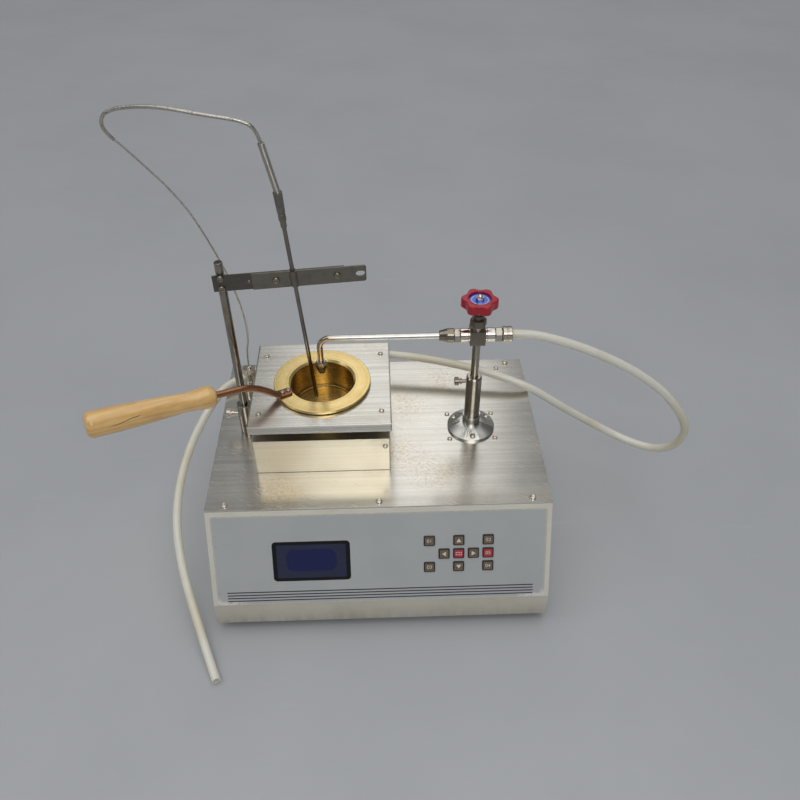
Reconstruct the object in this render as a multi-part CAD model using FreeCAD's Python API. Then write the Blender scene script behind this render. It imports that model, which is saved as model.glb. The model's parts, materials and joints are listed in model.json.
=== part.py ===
import FreeCAD, Part
import math
import os

# Open cup flash and fire point tester, built as an assembly of separate pieces, in millimetres.
# While it is built, X runs to the right from the middle of the top plate, Y runs back from the
# top plate's front edge, and Z is the height over the bench. write() then moves the origin.

V = FreeCAD.Vector
UP = V(0, 0, 1)
RIGHT = V(1, 0, 0)
LEFT = V(-1, 0, 0)
FRONT = V(0, -1, 0)
BACK = V(0, 1, 0)
FULL_TURN = 360.0
HEX_SIDES = 6

# Case: a sheet steel box with a sloped front, under a stainless top plate.
CASE_W = 340.0
CASE_D = 224.0
CASE_TOP = 136.0
FOOT_H = 10.0
FOOT_R = 11.0
FOOT_TOP_R = 12.5
FOOT_INSET = 20.0
FOOT_SCREW_R = 2.0
FOOT_RECESS_R = 5.0
FOOT_RECESS_H = 4.0
STRIP_H = 24.4
SLOPE_RUN = 42.6
SHELL_T = 1.5
PLATE_T = 1.5
PLATE_CORNER = 1.5
FOLD_W = 14.0
OVERRUN = 2.0
RUN_CLEAR = 0.05
LOOSE_CLEAR = 0.3

# Back wall: a row of ventilation slots, and the combined mains inlet, fuse and switch.
VENT_COUNT = 7
VENT_W = 4.0
VENT_H = 44.0
VENT_STEP = 12.0
VENT_X = -60.0
VENT_Z = 75.0
INLET_MARGIN = 65.0
INLET_Z = 62.0
INLET_W = 31.0
INLET_H = 66.0
INLET_FLANGE_T = 2.5
INLET_BODY_D = 26.0
INLET_RIM = 2.0
SOCKET_W = 24.0
SOCKET_H = 17.0
SOCKET_DEPTH = 17.0
SOCKET_DROP = 20.0
PIN_W = 2.0
PIN_H = 4.0
PIN_L = 14.0
PIN_STEP = 7.0
PIN_LIFT = 2.0
EARTH_LIFT = 6.0
FUSE_W = 22.0
FUSE_H = 7.0
FUSE_OUT = 1.2
FUSE_RISE = 1.0
ROCKER_W = 13.0
ROCKER_H = 19.0
ROCKER_RISE = 19.0
ROCKER_PIVOT_IN = 4.0
ROCKER_PIN_R = 1.5
ROCKER_PIN_L = 1.5
ROCKER_DEPTH = 9.0
ROCKER_PROUD = 2.0
ROCKER_DISH = 1.6
ROCKER_TILT = 7.0
ROCKER_GAP = 1.4

# Front label, display window and keys, placed down the sloped front from its top edge.
LABEL_INSET = 5.0
LABEL_T = 0.5
LABEL_CORNER = 3.0
WINDOW_X = -68.6
WINDOW_DOWN = 56.1
WINDOW_W = 77.0
WINDOW_H = 44.0
WINDOW_T = 2.0
WINDOW_CORNER = 4.0
WINDOW_GAP = 0.1
KEY_X = 77.8
KEY_DOWN = 51.8
KEY_STEP = 14.6
KEY_W = 10.9
KEY_H = 11.0
KEY_CORNER = 1.2
KEY_PROUD = 1.0
KEY_GAP = 0.2
KEY_LIP = 1.2
KEY_LIP_T = 1.2
KEY_TRAVEL = 0.5
KEY_PLACES = {
    "key_up": (0, -1), "key_down": (0, 1), "key_left": (-1, 0), "key_right": (1, 0),
    "key_centre_red": (0, 0), "key_right_red": (2, 0), "key_top_left": (-2, -1),
    "key_top_right": (2, -1), "key_bottom_left": (-2, 1), "key_bottom_right": (2, 1)}
BOARD_W = 244.0
BOARD_H = 66.0
BOARD_T = 1.6
BOARD_DEPTH = 13.0
BOARD_POST_R = 2.5
BOARD_POST_INSET = 4.0
DISPLAY_W = 85.0
DISPLAY_H = 52.0
DISPLAY_GAP = 0.4
SWITCH_W = 6.0
SWITCH_H = 4.0
SWITCH_PLUNGER_R = 1.7

# Control electronics on the floor of the case.
CONTROL_X = -60.0
CONTROL_Y = 95.0
CONTROL_W = 150.0
CONTROL_D = 110.0
CONTROL_PILLAR_H = 8.0
CONTROL_PILLAR_R = 3.0
CONTROL_PILLAR_INSET = 7.0
TRANSFORMER_W = 52.0
TRANSFORMER_D = 44.0
TRANSFORMER_H = 38.0
RELAY_W = 19.0
RELAY_D = 15.5
RELAY_H = 15.5
RELAY_COUNT = 3
RELAY_STEP = 24.0
SINK_W = 60.0
SINK_H = 30.0
SINK_BASE_T = 4.0
SINK_FIN_T = 1.6
SINK_FIN_L = 12.0
SINK_FIN_COUNT = 6

# Fasteners. Each head has a hexagon socket.
SCREW_HEAD_R = 3.3
SCREW_HEAD_H = 2.1
SCREW_R = 1.9
SCREW_L = 7.0
SMALL_HEAD_R = 2.6
SMALL_HEAD_H = 1.7
SMALL_R = 1.4
SMALL_L = 6.0
SOCKET_SHARE = 0.9
SOCKET_DEPTH_SHARE = 0.6
DOME_SHARE = 0.45
EDGE_INSET = 6.7
SIDE_INSET = 19.0
EARTH_SIDE_INSET = 30.4
EARTH_BACK_INSET = 16.2

# Heater under a square cover, with its box, insulation, hot plate and tubular element.
HEATER_MARGIN = 44.5
HEATER_FORWARD = 0.3
COVER_W = 139.9
COVER_D = 129.0
COVER_RISE = 65.5
COVER_T = 1.5
COVER_LIP = 9.4
COVER_CORNER = 1.2
BOX_GAP = 2.1
BOX_RISE = 44.15
BOX_T = 1.5
BOX_FOLD = 14.0
BOX_SCREW_X_INSET = 4.8
BOX_SCREW_DROP = 10.5
COVER_SCREW_X_INSET = 9.8
COVER_SCREW_Y_INSET = 19.3
SPACER_R = 4.0
INSULATION_GAP = 0.5
HOT_PLATE_R = 52.0
HOT_PLATE_T = 12.0
HOT_PLATE_GAP = 0.5
ELEMENT_R = 3.25
ELEMENT_RING_R = 36.0
ELEMENT_GAP_ANGLE = 24.0
ELEMENT_GROOVE_GAP = 0.25
ELEMENT_TAIL = 22.0
TERMINAL_R = 1.6
TERMINAL_L = 9.0
WIRE_HOLE_GAP = 1.2

# Brass test cup, the ring it turns on, and its handle.
CUP_RIGHT = 0.55
CUP_FORWARD = 0.5
CUP_R = 31.75
CUP_DEPTH = 33.6
CUP_WALL = 2.25
CUP_FLOOR_T = 3.0
CUP_FLANGE_R = 49.1
CUP_FLANGE_T = 3.0
CUP_BEVEL = 1.4
CUP_EDGE = 0.5
RING_T = 1.0
RING_W = 9.0
COVER_HOLE_GAP = 2.0
CUP_LIFT = 3.0
HANDLE_ANGLE = 208.5
TAB_START_R = 34.4
TAB_END_R = 52.5
TAB_W = 10.5
TAB_T = 2.4
TAB_CORNER = 3.0
HANDLE_SCREW_R_NEAR = 37.4
HANDLE_SCREW_R_FAR = 43.6
HANDLE_HEAD_R = 2.3
HANDLE_SHANK_L = 4.6
BAR_R = 3.1
BAR_RUN = [(48.2, 3.4), (61.0, 13.0), (76.5, 23.4), (93.0, 26.0), (107.0, 27.6), (124.0, 30.0)]
GRIP_START = (107.0, 27.6)
GRIP_END = (226.5, 44.6)
GRIP_FRONT_R = 9.6
GRIP_WAIST_R = 9.9
GRIP_WAIST_SHARE = 0.45
GRIP_END_R = 10.9
GRIP_ROUND = 3.0
GRIP_END_ROUND = 4.5
GRIP_BORE_GAP = 0.05
GRIP_BORE_END = 0.6

# Probe stand on the left of the heater.
STAND_GAP = 13.8
STAND_BACK = 2.3
STAND_SOCKET_R = 7.5
STAND_SOCKET_RISE = 38.0
STAND_SOCKET_EDGE = 0.6
POST_R = 4.0
POST_FOOT_GAP = 3.0
POST_RISE = 208.4
POST_EDGE = 0.8
STUD_R = 4.0
STUD_L = 8.0
THUMB_RISE = 24.0
THUMB_R = 2.0
THUMB_NECK_L = 4.4
THUMB_COLLAR_R = 3.2
THUMB_COLLAR_L = 2.2
THUMB_WAIST_R = 2.2
THUMB_WAIST_L = 1.2
THUMB_HEAD_R = 4.5
THUMB_HEAD_L = 4.2
THUMB_EDGE = 0.4
THUMB_TIP_GAP = 0.1

# Arm of the stand: two steel strips that clamp the probe between their half round channels.
ARM_ANGLE = 6.3
ARM_RISE = 188.6
ARM_H = 16.6
ARM_T = 1.6
ARM_FLAT = 0.3
ARM_LEFT = 7.5
BACK_STRIP_PAST = 46.8
FRONT_STRIP_START = 28.2
FRONT_STRIP_PAST = 67.0
ARM_CORNER = 2.2
ARM_SCREW_BEFORE = 16.2
ARM_SCREW_PAST = 40.0
ARM_SLOT_L = 8.6
ARM_SLOT_H = 5.6
ARM_SLOT_EDGE = 1.2
CHANNEL_WALL = 1.7
RIVET_AT = 25.3
RIVET_R = 1.3
RIVET_H = 0.7
POST_SCREW_GAP = 10.7
ARM_NUT_FLATS = 5.5
ARM_NUT_T = 2.2

# Temperature probe, leaning a little in the plane of the arm.
PROBE_LEFT = 18.5
PROBE_LEAN = 3.95
PROBE_R = 2.0
PROBE_TIP_RISE = 41.9
PROBE_COLLAR_RISE = 241.0
PROBE_COLLAR_R = 2.8
FERRULE_RISE = 248.0
FERRULE_R = 3.5
FERRULE_TOP_R = 4.1
FERRULE_H = 27.0
FERRULE_EDGE = 0.5
SLEEVE_LEAN = 11.3
SLEEVE_R = 3.0
SLEEVE_H = 43.3
SLEEVE_SINK = 2.5

# Socket on the top plate, and the plug of the probe's lead.
LEAD_LEFT = 0.2
LEAD_BACK = 57.0
LEAD_FLANGE_R = 10.0
LEAD_FLANGE_T = 2.0
LEAD_BARREL_R = 7.0
LEAD_BARREL_RISE = 6.0
LEAD_BODY_L = 18.0
PLUG_NUT_R = 7.6
PLUG_NUT_RISE = 18.0
PLUG_BODY_R = 5.6
PLUG_BODY_RISE = 33.0
PLUG_CLAMP_W = 13.0
PLUG_CLAMP_D = 9.0
PLUG_CLAMP_RISE = 41.0
PLUG_CLAMP_CORNER = 1.5
PLUG_SCREW_R = 1.6
PLUG_SCREW_OUT = 1.0
PLUG_TOP_RISE = 43.0
PLUG_BUSH_R = 2.2

# Jet side: flange, sweeping sleeve and its motor, needle valve, jet tube and nozzle.
JET_MARGIN = 70.0
JET_FORWARD = 1.0
FLANGE_R = 25.0
FLANGE_EDGE_T = 2.5
FLANGE_CONE_TOP_R = 11.0
FLANGE_CONE_RISE = 8.5
FLANGE_COLLAR_R = 9.25
FLANGE_COLLAR_RISE = 18.7
FLANGE_SCREW_AT = 20.3
FLANGE_SEAT_RISE = 2.9
FLANGE_SEAT_R = 3.0
FLANGE_SCREW_COUNT = 3
SLEEVE_OUT_R = 8.0
SLEEVE_TOP = 70.4
SLEEVE_EDGE = 0.6
SLEEVE_FLOOR = 24.0
SPINDLE_R = 5.0
SPINDLE_DOWN = 30.0
MOTOR_PLATE_W = 62.0
MOTOR_PLATE_D = 52.0
MOTOR_PLATE_T = 3.0
MOTOR_SCREW_X = 24.0
MOTOR_SCREW_Y = 19.3
GEARBOX_R = 22.0
GEARBOX_H = 24.0
MOTOR_R = 17.0
MOTOR_H = 26.0
SLEEVE_THUMB_RISE = 63.5
VALVE_POST_FOOT = 28.0
VALVE_RISE = 122.3
VALVE_BLOCK_W = 15.4
VALVE_BLOCK_H = 16.4
VALVE_CHAMFER = 0.8
VALVE_ARM_R = 7.2
VALVE_ARM_LEFT = 17.0
VALVE_ARM_RIGHT = 17.2
VALVE_ARM_EDGE = 0.5
VALVE_BORE_R = 2.4
VALVE_NECK_R = 5.6
VALVE_NECK_H = 3.4
BONNET_FLATS = 14.0
BONNET_H = 8.0
PACKING_R = 4.6
PACKING_H = 4.2
LEFT_HEX_FLATS = 13.0
LEFT_HEX_L = 6.0
TAPER_NUT_L = 14.6
TAPER_NUT_R = 7.2
TAPER_NUT_END_R = 5.0
TAPER_SHARE = 0.45
RIGHT_NUT_FLATS = 13.0
RIGHT_NUT_L = 6.8
HOSE_NUT_R = 8.2
HOSE_NUT_L = 10.0
HOSE_NUT_EDGE = 0.8
HOSE_BORE_R = 3.0
JET_TUBE_R = 2.9
JET_TUBE_BORE_R = 2.0
NOZZLE_OFFSET = 0.5
JET_BEND_R = 10.5
JET_TUBE_DROP = 27.4
NOZZLE_FLATS = 10.4
NOZZLE_NUT_TOP = 94.9
NOZZLE_NUT_BOTTOM = 84.5
NOZZLE_SHOULDER_R = 4.2
NOZZLE_TIP_R = 1.3
NOZZLE_SHOULDER = 81.5
NOZZLE_TIP = 77.8
NOZZLE_BORE_R = 0.4
STEM_R = 2.6
STEM_FOOT = 12.0
STEM_GAP = 0.05
WHEEL_BOTTOM = 157.6
WHEEL_T = 10.0
WHEEL_LOBE_R = 4.6
WHEEL_LOBE_RING_R = 13.2
WHEEL_LOBES = 6
WHEEL_SCOOP_RING_R = 19.0
WHEEL_EDGE = 1.0
WHEEL_HUB_R = 5.0
WHEEL_HUB_H = 6.0
WHEEL_RECESS_R = 10.6
WHEEL_RECESS_H = 3.2
WHEEL_HOLLOW_R = 12.0
WHEEL_WEB_T = 2.2
DISC_R = 10.2
DISC_T = 1.2
NUT_FLATS = 7.0
NUT_T = 3.0
NUT_DOME_R = 2.9

# Cords: diameters and routes. Heights in the routes are over the top plate.
CABLE_DIA = 3.2
LEAD_DIA = 1.9
HOSE_DIA = 9.0
CORNER_SHARE = 0.45
CABLE_ROUTE = [
    (-90.07, 114.4, 331.5), (-103.5, 115.4, 337.4), (-131.0, 116.5, 341.4), (-163.0, 118.7, 347.4),
    (-190.0, 121.3, 347.2), (-208.7, 123.7, 342.8), (-214.8, 125.3, 334.9), (-214.8, 127.3, 325.1),
    (-209.2, 129.6, 317.1)]
LEAD_ROUTE = [
    (-209.2, 129.6, 317.1), (-203.1, 132.1, 308.4), (-192.0, 135.5, 292.0), (-176.0, 141.0, 267.0),
    (-163.0, 145.5, 241.0), (-150.5, 150.0, 203.0), (-140.5, 155.0, 165.0), (-134.0, 160.0, 123.0),
    (-133.5, 165.0, 86.0), (-139.5, 169.0, 61.0), (-139.5, 169.0, 43.0)]
HOSE_START_ROUTE = [
    (134.0, 111.0, 122.3), (152.0, 111.0, 122.3), (177.5, 109.0, 116.0), (203.0, 107.0, 107.5),
    (219.0, 106.0, 100.1)]
HOSE_ROUTE = [
    (219.0, 106.0, 100.1), (235.0, 105.0, 92.7), (265.0, 104.5, 74.5), (293.0, 104.0, 52.5),
    (315.5, 104.5, 27.0), (333.0, 106.0, -1.0), (336.5, 109.5, -21.5), (333.5, 115.5, -42.5),
    (323.0, 127.0, -60.0), (307.5, 141.0, -68.0), (286.0, 154.0, -67.0), (260.0, 162.5, -56.0),
    (230.0, 162.5, -35.5), (202.0, 161.0, -14.0), (179.0, 163.0, 2.5), (158.0, 168.5, 11.0),
    (132.0, 178.0, 16.0), (103.0, 187.0, 20.0), (68.0, 196.0, 23.5), (30.0, 203.5, 26.0),
    (-10.0, 208.0, 26.5), (-55.0, 210.0, 24.0), (-95.0, 207.0, 18.0), (-130.0, 200.0, 11.5),
    (-155.0, 190.5, 8.3), (-171.5, 177.5, 7.6), (-183.0, 161.0, 0.5), (-195.0, 140.0, -10.5),
    (-206.0, 117.0, -24.5), (-214.0, 92.0, -40.5), (-218.0, 64.0, -57.5), (-216.5, 36.0, -74.5),
    (-209.5, 7.0, -91.0), (-199.0, -22.0, -105.5), (-187.5, -49.0, -117.0), (-176.5, -75.0, -126.0),
    (-168.6, -93.0, -130.7), (-163.5, -104.0, -131.2)]

# Heights and places worked out from the sizes above.
PLATE_UNDER = CASE_TOP - PLATE_T
SLOPE_FOOT = FOOT_H + STRIP_H
SLOPE_DROP = PLATE_UNDER - SLOPE_FOOT
SLOPE_L = math.hypot(SLOPE_DROP, SLOPE_RUN)
HALF_W = CASE_W / 2
HALF_D = CASE_D / 2
HALF_INNER_W = HALF_W - SHELL_T
INLET_X = HALF_W - INLET_MARGIN
EARTH_X = HALF_W - EARTH_SIDE_INSET
EARTH_Y = CASE_D - EARTH_BACK_INSET
HEATER_X = HEATER_MARGIN + COVER_W / 2 - HALF_W
HEATER_Y = HALF_D - HEATER_FORWARD
CUP_X = HEATER_X + CUP_RIGHT
CUP_Y = HEATER_Y - CUP_FORWARD
STAND_X = HEATER_X - COVER_W / 2 - STAND_GAP
STAND_Y = HALF_D + STAND_BACK
LEAD_X = STAND_X - LEAD_LEFT
LEAD_Y = HALF_D + LEAD_BACK
JET_X = HALF_W - JET_MARGIN
JET_Y = HALF_D - JET_FORWARD
JET_REACH = JET_X - CUP_X - NOZZLE_OFFSET
WALL_TOP = PLATE_UNDER - SHELL_T
FLOOR_TOP = FOOT_H + SHELL_T
PANEL = FreeCAD.Placement(V(0, 0, PLATE_UNDER), FreeCAD.Rotation(
    RIGHT, math.degrees(math.atan2(SLOPE_DROP, SLOPE_RUN))))
ARM_AXIS = V(math.cos(math.radians(ARM_ANGLE)), math.sin(math.radians(ARM_ANGLE)), 0)
ARM_BACK = V(-ARM_AXIS.y, ARM_AXIS.x, 0)
PROBE_AT = (CUP_X - PROBE_LEFT - STAND_X) / ARM_AXIS.x
ARM_SCREW_NEAR = PROBE_AT - ARM_SCREW_BEFORE
ARM_SCREW_FAR = PROBE_AT + ARM_SCREW_PAST
BACK_STRIP_L = PROBE_AT + BACK_STRIP_PAST
FRONT_STRIP_END = PROBE_AT + FRONT_STRIP_PAST
FERRULE_TOP_RISE = FERRULE_RISE + FERRULE_H
SLEEVE_TOP_RISE = FERRULE_TOP_RISE + SLEEVE_H
HANDLE_AXIS = V(math.cos(math.radians(HANDLE_ANGLE)), math.sin(math.radians(HANDLE_ANGLE)), 0)
CUP_TOP = CASE_TOP + COVER_RISE + RING_T + CUP_FLANGE_T
CUP_FLOOR = CUP_TOP - CUP_DEPTH
HOT_PLATE_TOP = CUP_FLOOR - CUP_FLOOR_T - HOT_PLATE_GAP
HOT_PLATE_UNDER = HOT_PLATE_TOP - HOT_PLATE_T
STRIP_BACK = -POST_R + ARM_FLAT
STRIP_MEET = STRIP_BACK - ARM_T
STRIP_FRONT = STRIP_MEET - ARM_T
CHANNEL_R = PROBE_R + CHANNEL_WALL
BOX_W = COVER_W - 2 * BOX_GAP
BOX_D = COVER_D - 2 * BOX_GAP
BLOCK_TOP = CASE_TOP + VALVE_RISE + VALVE_BLOCK_H / 2
BONNET_TOP = BLOCK_TOP + VALVE_NECK_H + BONNET_H
PROBE_TAN = math.tan(math.radians(PROBE_LEAN))

# The origin on the bench lies under the middle of the box round the case and the handle.
GRIP_END_X = CUP_X + GRIP_END[0] * HANDLE_AXIS.x
ORIGIN = V((GRIP_END_X + HALF_W) / 2, (CASE_D + INLET_FLANGE_T - SLOPE_RUN) / 2, 0)


def box(x0, x1, y0, y1, z0, z1):
    """A plain block between the given limits."""
    return Part.makeBox(x1 - x0, y1 - y0, z1 - z0, V(x0, y0, z0))


def slab(x0, x1, y0, y1, z0, z1, corner):
    """A block with its upright edges rounded."""
    block = box(x0, x1, y0, y1, z0, z1)
    uprights = [edge for edge in block.Edges if abs(edge.BoundBox.ZLength - (z1 - z0)) < RUN_CLEAR]
    return block.makeFillet(corner, uprights)


def disc(x, y, z0, z1, radius):
    """An upright cylinder."""
    return Part.makeCylinder(radius, z1 - z0, V(x, y, z0))


def turned(profile):
    """A solid turned about the Z axis from (radius, height) points."""
    points = [V(radius, 0, height) for radius, height in profile]
    face = Part.Face(Part.makePolygon(points + points[:1]))
    return face.revolve(V(0, 0, 0), UP, FULL_TURN)


def hexagon(flats, height):
    """A hexagonal prism on the origin, given its size across flats."""
    radius = flats / math.sqrt(3)
    turns = [math.tau * i / HEX_SIDES for i in range(HEX_SIDES)]
    corners = [V(radius * math.cos(turn), radius * math.sin(turn), 0) for turn in turns]
    return Part.Face(Part.makePolygon(corners + corners[:1])).extrude(V(0, 0, height))


def moved(shape, x, y, z):
    """The shape carried from the origin to the given place."""
    shifted = shape.copy()
    shifted.translate(V(x, y, z))
    return shifted


def aimed(shape, base, direction):
    """The shape with its Z axis turned to the direction and its origin on the base point."""
    turned_shape = shape.copy()
    turned_shape.Placement = FreeCAD.Placement(base, FreeCAD.Rotation(UP, direction))
    return turned_shape


def on_panel(shape):
    """The shape carried on to the sloped front: X across, Y up the slope, Z out of it."""
    carried = shape.copy()
    carried.Placement = PANEL.multiply(carried.Placement)
    return carried


def on_arm(shape):
    """The shape carried on to the stand's arm: X along the arm, Y back, Z height over the plate."""
    carried = shape.copy()
    carried.Placement = FreeCAD.Placement(
        V(STAND_X, STAND_Y, CASE_TOP), FreeCAD.Rotation(UP, ARM_ANGLE)).multiply(carried.Placement)
    return carried


def on_handle(shape):
    """The shape carried to the cup: X out along the handle, Z height over the cup's flange."""
    carried = shape.copy()
    carried.Placement = FreeCAD.Placement(
        V(CUP_X, CUP_Y, CUP_TOP), FreeCAD.Rotation(UP, HANDLE_ANGLE)).multiply(carried.Placement)
    return carried


def screw(head_r, head_h, shank_r, shank_l):
    """A domed screw standing on the origin, its shank going down, with a hexagon socket."""
    flat_r = head_r * (1 - DOME_SHARE / 2)
    profile = [(0, -shank_l), (shank_r, -shank_l), (shank_r, 0), (head_r, 0),
               (head_r, head_h * DOME_SHARE), (flat_r, head_h), (0, head_h)]
    socket = moved(hexagon(head_r * SOCKET_SHARE, head_h), 0, 0, head_h * (1 - SOCKET_DEPTH_SHARE))
    return turned(profile).cut(socket)


def thumb_screw(tip_l):
    """A knurled thumb screw: its tip starts tip_l behind the origin and its head points along Z."""
    neck = THUMB_NECK_L
    collar = neck + THUMB_COLLAR_L
    waist = collar + THUMB_WAIST_L
    head = waist + THUMB_HEAD_L
    profile = [(0, -tip_l), (THUMB_R, -tip_l), (THUMB_R, neck), (THUMB_COLLAR_R, neck),
               (THUMB_COLLAR_R, collar), (THUMB_WAIST_R, collar), (THUMB_WAIST_R, waist),
               (THUMB_HEAD_R - THUMB_EDGE, waist), (THUMB_HEAD_R, waist + THUMB_EDGE),
               (THUMB_HEAD_R, head - THUMB_EDGE), (THUMB_HEAD_R - THUMB_EDGE, head), (0, head)]
    return turned(profile)


def swept(points, tube_r):
    """A round bar along straight runs joined by tangent arcs, with its length and bend radii."""
    runs = [b - a for a, b in zip(points, points[1:])]
    edges = []
    radii = []
    length = 0
    start = points[0]
    for i, corner in enumerate(points[1:-1]):
        into = V(runs[i]).normalize()
        out = V(runs[i + 1]).normalize()
        half = into.getAngle(out) / 2
        cut = CORNER_SHARE * min(runs[i].Length, runs[i + 1].Length)
        radius = cut / math.tan(half)
        first = corner - into * cut
        last = corner + out * cut
        middle = corner + (out - into).normalize() * (radius / math.cos(half) - radius)
        edges.append(Part.LineSegment(start, first).toShape())
        edges.append(Part.Arc(first, middle, last).toShape())
        length += (first - start).Length + 2 * half * radius
        radii.append(radius)
        start = last
    edges.append(Part.LineSegment(start, points[-1]).toShape())
    length += (points[-1] - start).Length
    section = Part.Wire(Part.makeCircle(tube_r, points[0], runs[0]))
    return Part.Wire(edges).makePipeShell([section], True, False), length, radii


def cord_tube(name, route, diameter):
    """A cord's tube along its route, with its length, volume and radii printed."""
    tube, length, radii = swept([V(x, y, CASE_TOP + rise) for x, y, rise in route], diameter / 2)
    share = tube.Volume / (math.pi * diameter * diameter / 4 * length)
    print(name, "length", round(length, 1), "volume share", round(share, 4), "lowest",
          round(tube.BoundBox.ZMin, 2), "radii in diameters", [round(r / diameter, 1) for r in radii])
    return tube


def fused(first, others):
    """One solid from pieces that overlap or meet."""
    return first.multiFuse(others).removeSplitter()


def write(node, shapes):
    """Write one node's solids, moved so that the origin lies on the bench under the middle."""
    solids = []
    for shape in shapes:
        solids.extend(shape.Solids)
    piece = Part.makeCompound(solids)
    piece.translate(-ORIGIN)
    piece.exportStep(os.path.join("parts", node + ".step"))


def case_prism(wall, x0, x1, overrun):
    """The case's side outline, drawn in by the wall, as a solid from x0 to x1."""
    top = PLATE_UNDER - wall
    lean = SLOPE_RUN / SLOPE_DROP
    shift = wall * SLOPE_L / SLOPE_DROP
    foot = PLATE_UNDER - (SLOPE_RUN - wall + shift) / lean
    back = CASE_D + overrun
    bottom = FOOT_H - overrun
    outline = [V(x0, shift - wall * lean, top), V(x0, wall - SLOPE_RUN, foot),
               V(x0, wall - SLOPE_RUN, bottom), V(x0, back, bottom), V(x0, back, top)]
    return Part.Face(Part.makePolygon(outline + outline[:1])).extrude(V(x1 - x0, 0, 0))


def window_block(margin, low, high):
    """A rounded block through the display window, with a margin all round."""
    return on_panel(slab(
        WINDOW_X - WINDOW_W / 2 - margin, WINDOW_X + WINDOW_W / 2 + margin,
        -WINDOW_DOWN - WINDOW_H / 2 - margin, -WINDOW_DOWN + WINDOW_H / 2 + margin,
        low, high, WINDOW_CORNER + margin))


def key_block(place, margin, low, high):
    """A rounded block through one key's place, with a margin all round."""
    across = KEY_X + place[0] * KEY_STEP
    down = KEY_DOWN + place[1] * KEY_STEP
    return on_panel(slab(
        across - KEY_W / 2 - margin, across + KEY_W / 2 + margin,
        -down - KEY_H / 2 - margin, -down + KEY_H / 2 + margin, low, high, KEY_CORNER + margin))


def plate_screw_places():
    """Centres of the screws that hold the top plate down."""
    side = HALF_W - SIDE_INSET
    rows = [EDGE_INSET, CASE_D - EDGE_INSET]
    return [(x, y) for x in (-side, 0, side) for y in rows]


def motor_screw_places():
    """Centres of the four screws that hold the sweep motor under the plate."""
    return [(JET_X + sx * MOTOR_SCREW_X, JET_Y + sy * MOTOR_SCREW_Y) for sx in (-1, 1) for sy in (-1, 1)]


def flange_screw_places():
    """Centres of the jet flange's screws."""
    places = []
    for i in range(FLANGE_SCREW_COUNT):
        angle = math.tau * i / FLANGE_SCREW_COUNT - math.pi / 2
        places.append((JET_X + FLANGE_SCREW_AT * math.cos(angle), JET_Y + FLANGE_SCREW_AT * math.sin(angle)))
    return places


def cover_screw_places():
    """Centres of the heater cover's screws."""
    x = COVER_W / 2 - COVER_SCREW_X_INSET
    y = COVER_D / 2 - COVER_SCREW_Y_INSET
    return [(HEATER_X + sx * x, HEATER_Y + sy * y) for sx in (-1, 1) for sy in (-1, 1)]


def foot_places():
    """Centres of the four feet."""
    x = HALF_W - FOOT_INSET
    return [(sx * x, y) for sx in (-1, 1) for y in (FOOT_INSET - SLOPE_RUN, CASE_D - FOOT_INSET)]


def element_tail_places():
    """Where the heating element's two ends turn down."""
    half = math.radians(ELEMENT_GAP_ANGLE) / 2
    reach = ELEMENT_RING_R
    return [(CUP_X + reach * math.cos(turn), CUP_Y + reach * math.sin(turn)) for turn in (half, -half)]


def make_case():
    """The folded shell with its window and key holes."""
    shell = case_prism(0, -HALF_W, HALF_W, 0)
    shell = shell.cut(case_prism(SHELL_T, -HALF_INNER_W, HALF_INNER_W, OVERRUN))
    shell = shell.cut(box(FOLD_W - HALF_W, HALF_W - FOLD_W, FOLD_W, CASE_D - FOLD_W,
                          WALL_TOP - OVERRUN, PLATE_UNDER + OVERRUN))
    cuts = [window_block(WINDOW_GAP, -SHELL_T - OVERRUN, OVERRUN)]
    for place in KEY_PLACES.values():
        cuts.append(key_block(place, KEY_GAP, -SHELL_T - OVERRUN, OVERRUN))
    for x, y in plate_screw_places():
        cuts.append(disc(x, y, WALL_TOP - OVERRUN, CASE_TOP, SCREW_R + RUN_CLEAR))
    write("case_shell", [shell.cut(cuts)])


def make_tray():
    """The floor of the case with its back wall, vents and inlet hole."""
    floor = box(-HALF_INNER_W, HALF_INNER_W, SHELL_T - SLOPE_RUN, CASE_D, FOOT_H, FLOOR_TOP)
    wall = box(-HALF_INNER_W, HALF_INNER_W, CASE_D - SHELL_T, CASE_D, FOOT_H, WALL_TOP)
    tray = fused(floor, [wall])
    cuts = []
    for i in range(VENT_COUNT):
        x = VENT_X + (i - (VENT_COUNT - 1) / 2) * VENT_STEP
        cuts.append(box(x - VENT_W / 2, x + VENT_W / 2, CASE_D - SHELL_T - OVERRUN, CASE_D + OVERRUN,
                        VENT_Z - VENT_H / 2, VENT_Z + VENT_H / 2))
    cuts.append(box(INLET_X - INLET_W / 2 + INLET_RIM, INLET_X + INLET_W / 2 - INLET_RIM,
                    CASE_D - SHELL_T - OVERRUN, CASE_D + OVERRUN,
                    INLET_Z - INLET_H / 2 + INLET_RIM, INLET_Z + INLET_H / 2 - INLET_RIM))
    for x, y in foot_places():
        cuts.append(disc(x, y, FOOT_H - OVERRUN, FLOOR_TOP + OVERRUN, FOOT_SCREW_R + RUN_CLEAR))
    write("base_tray", [tray.cut(cuts)])


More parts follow.
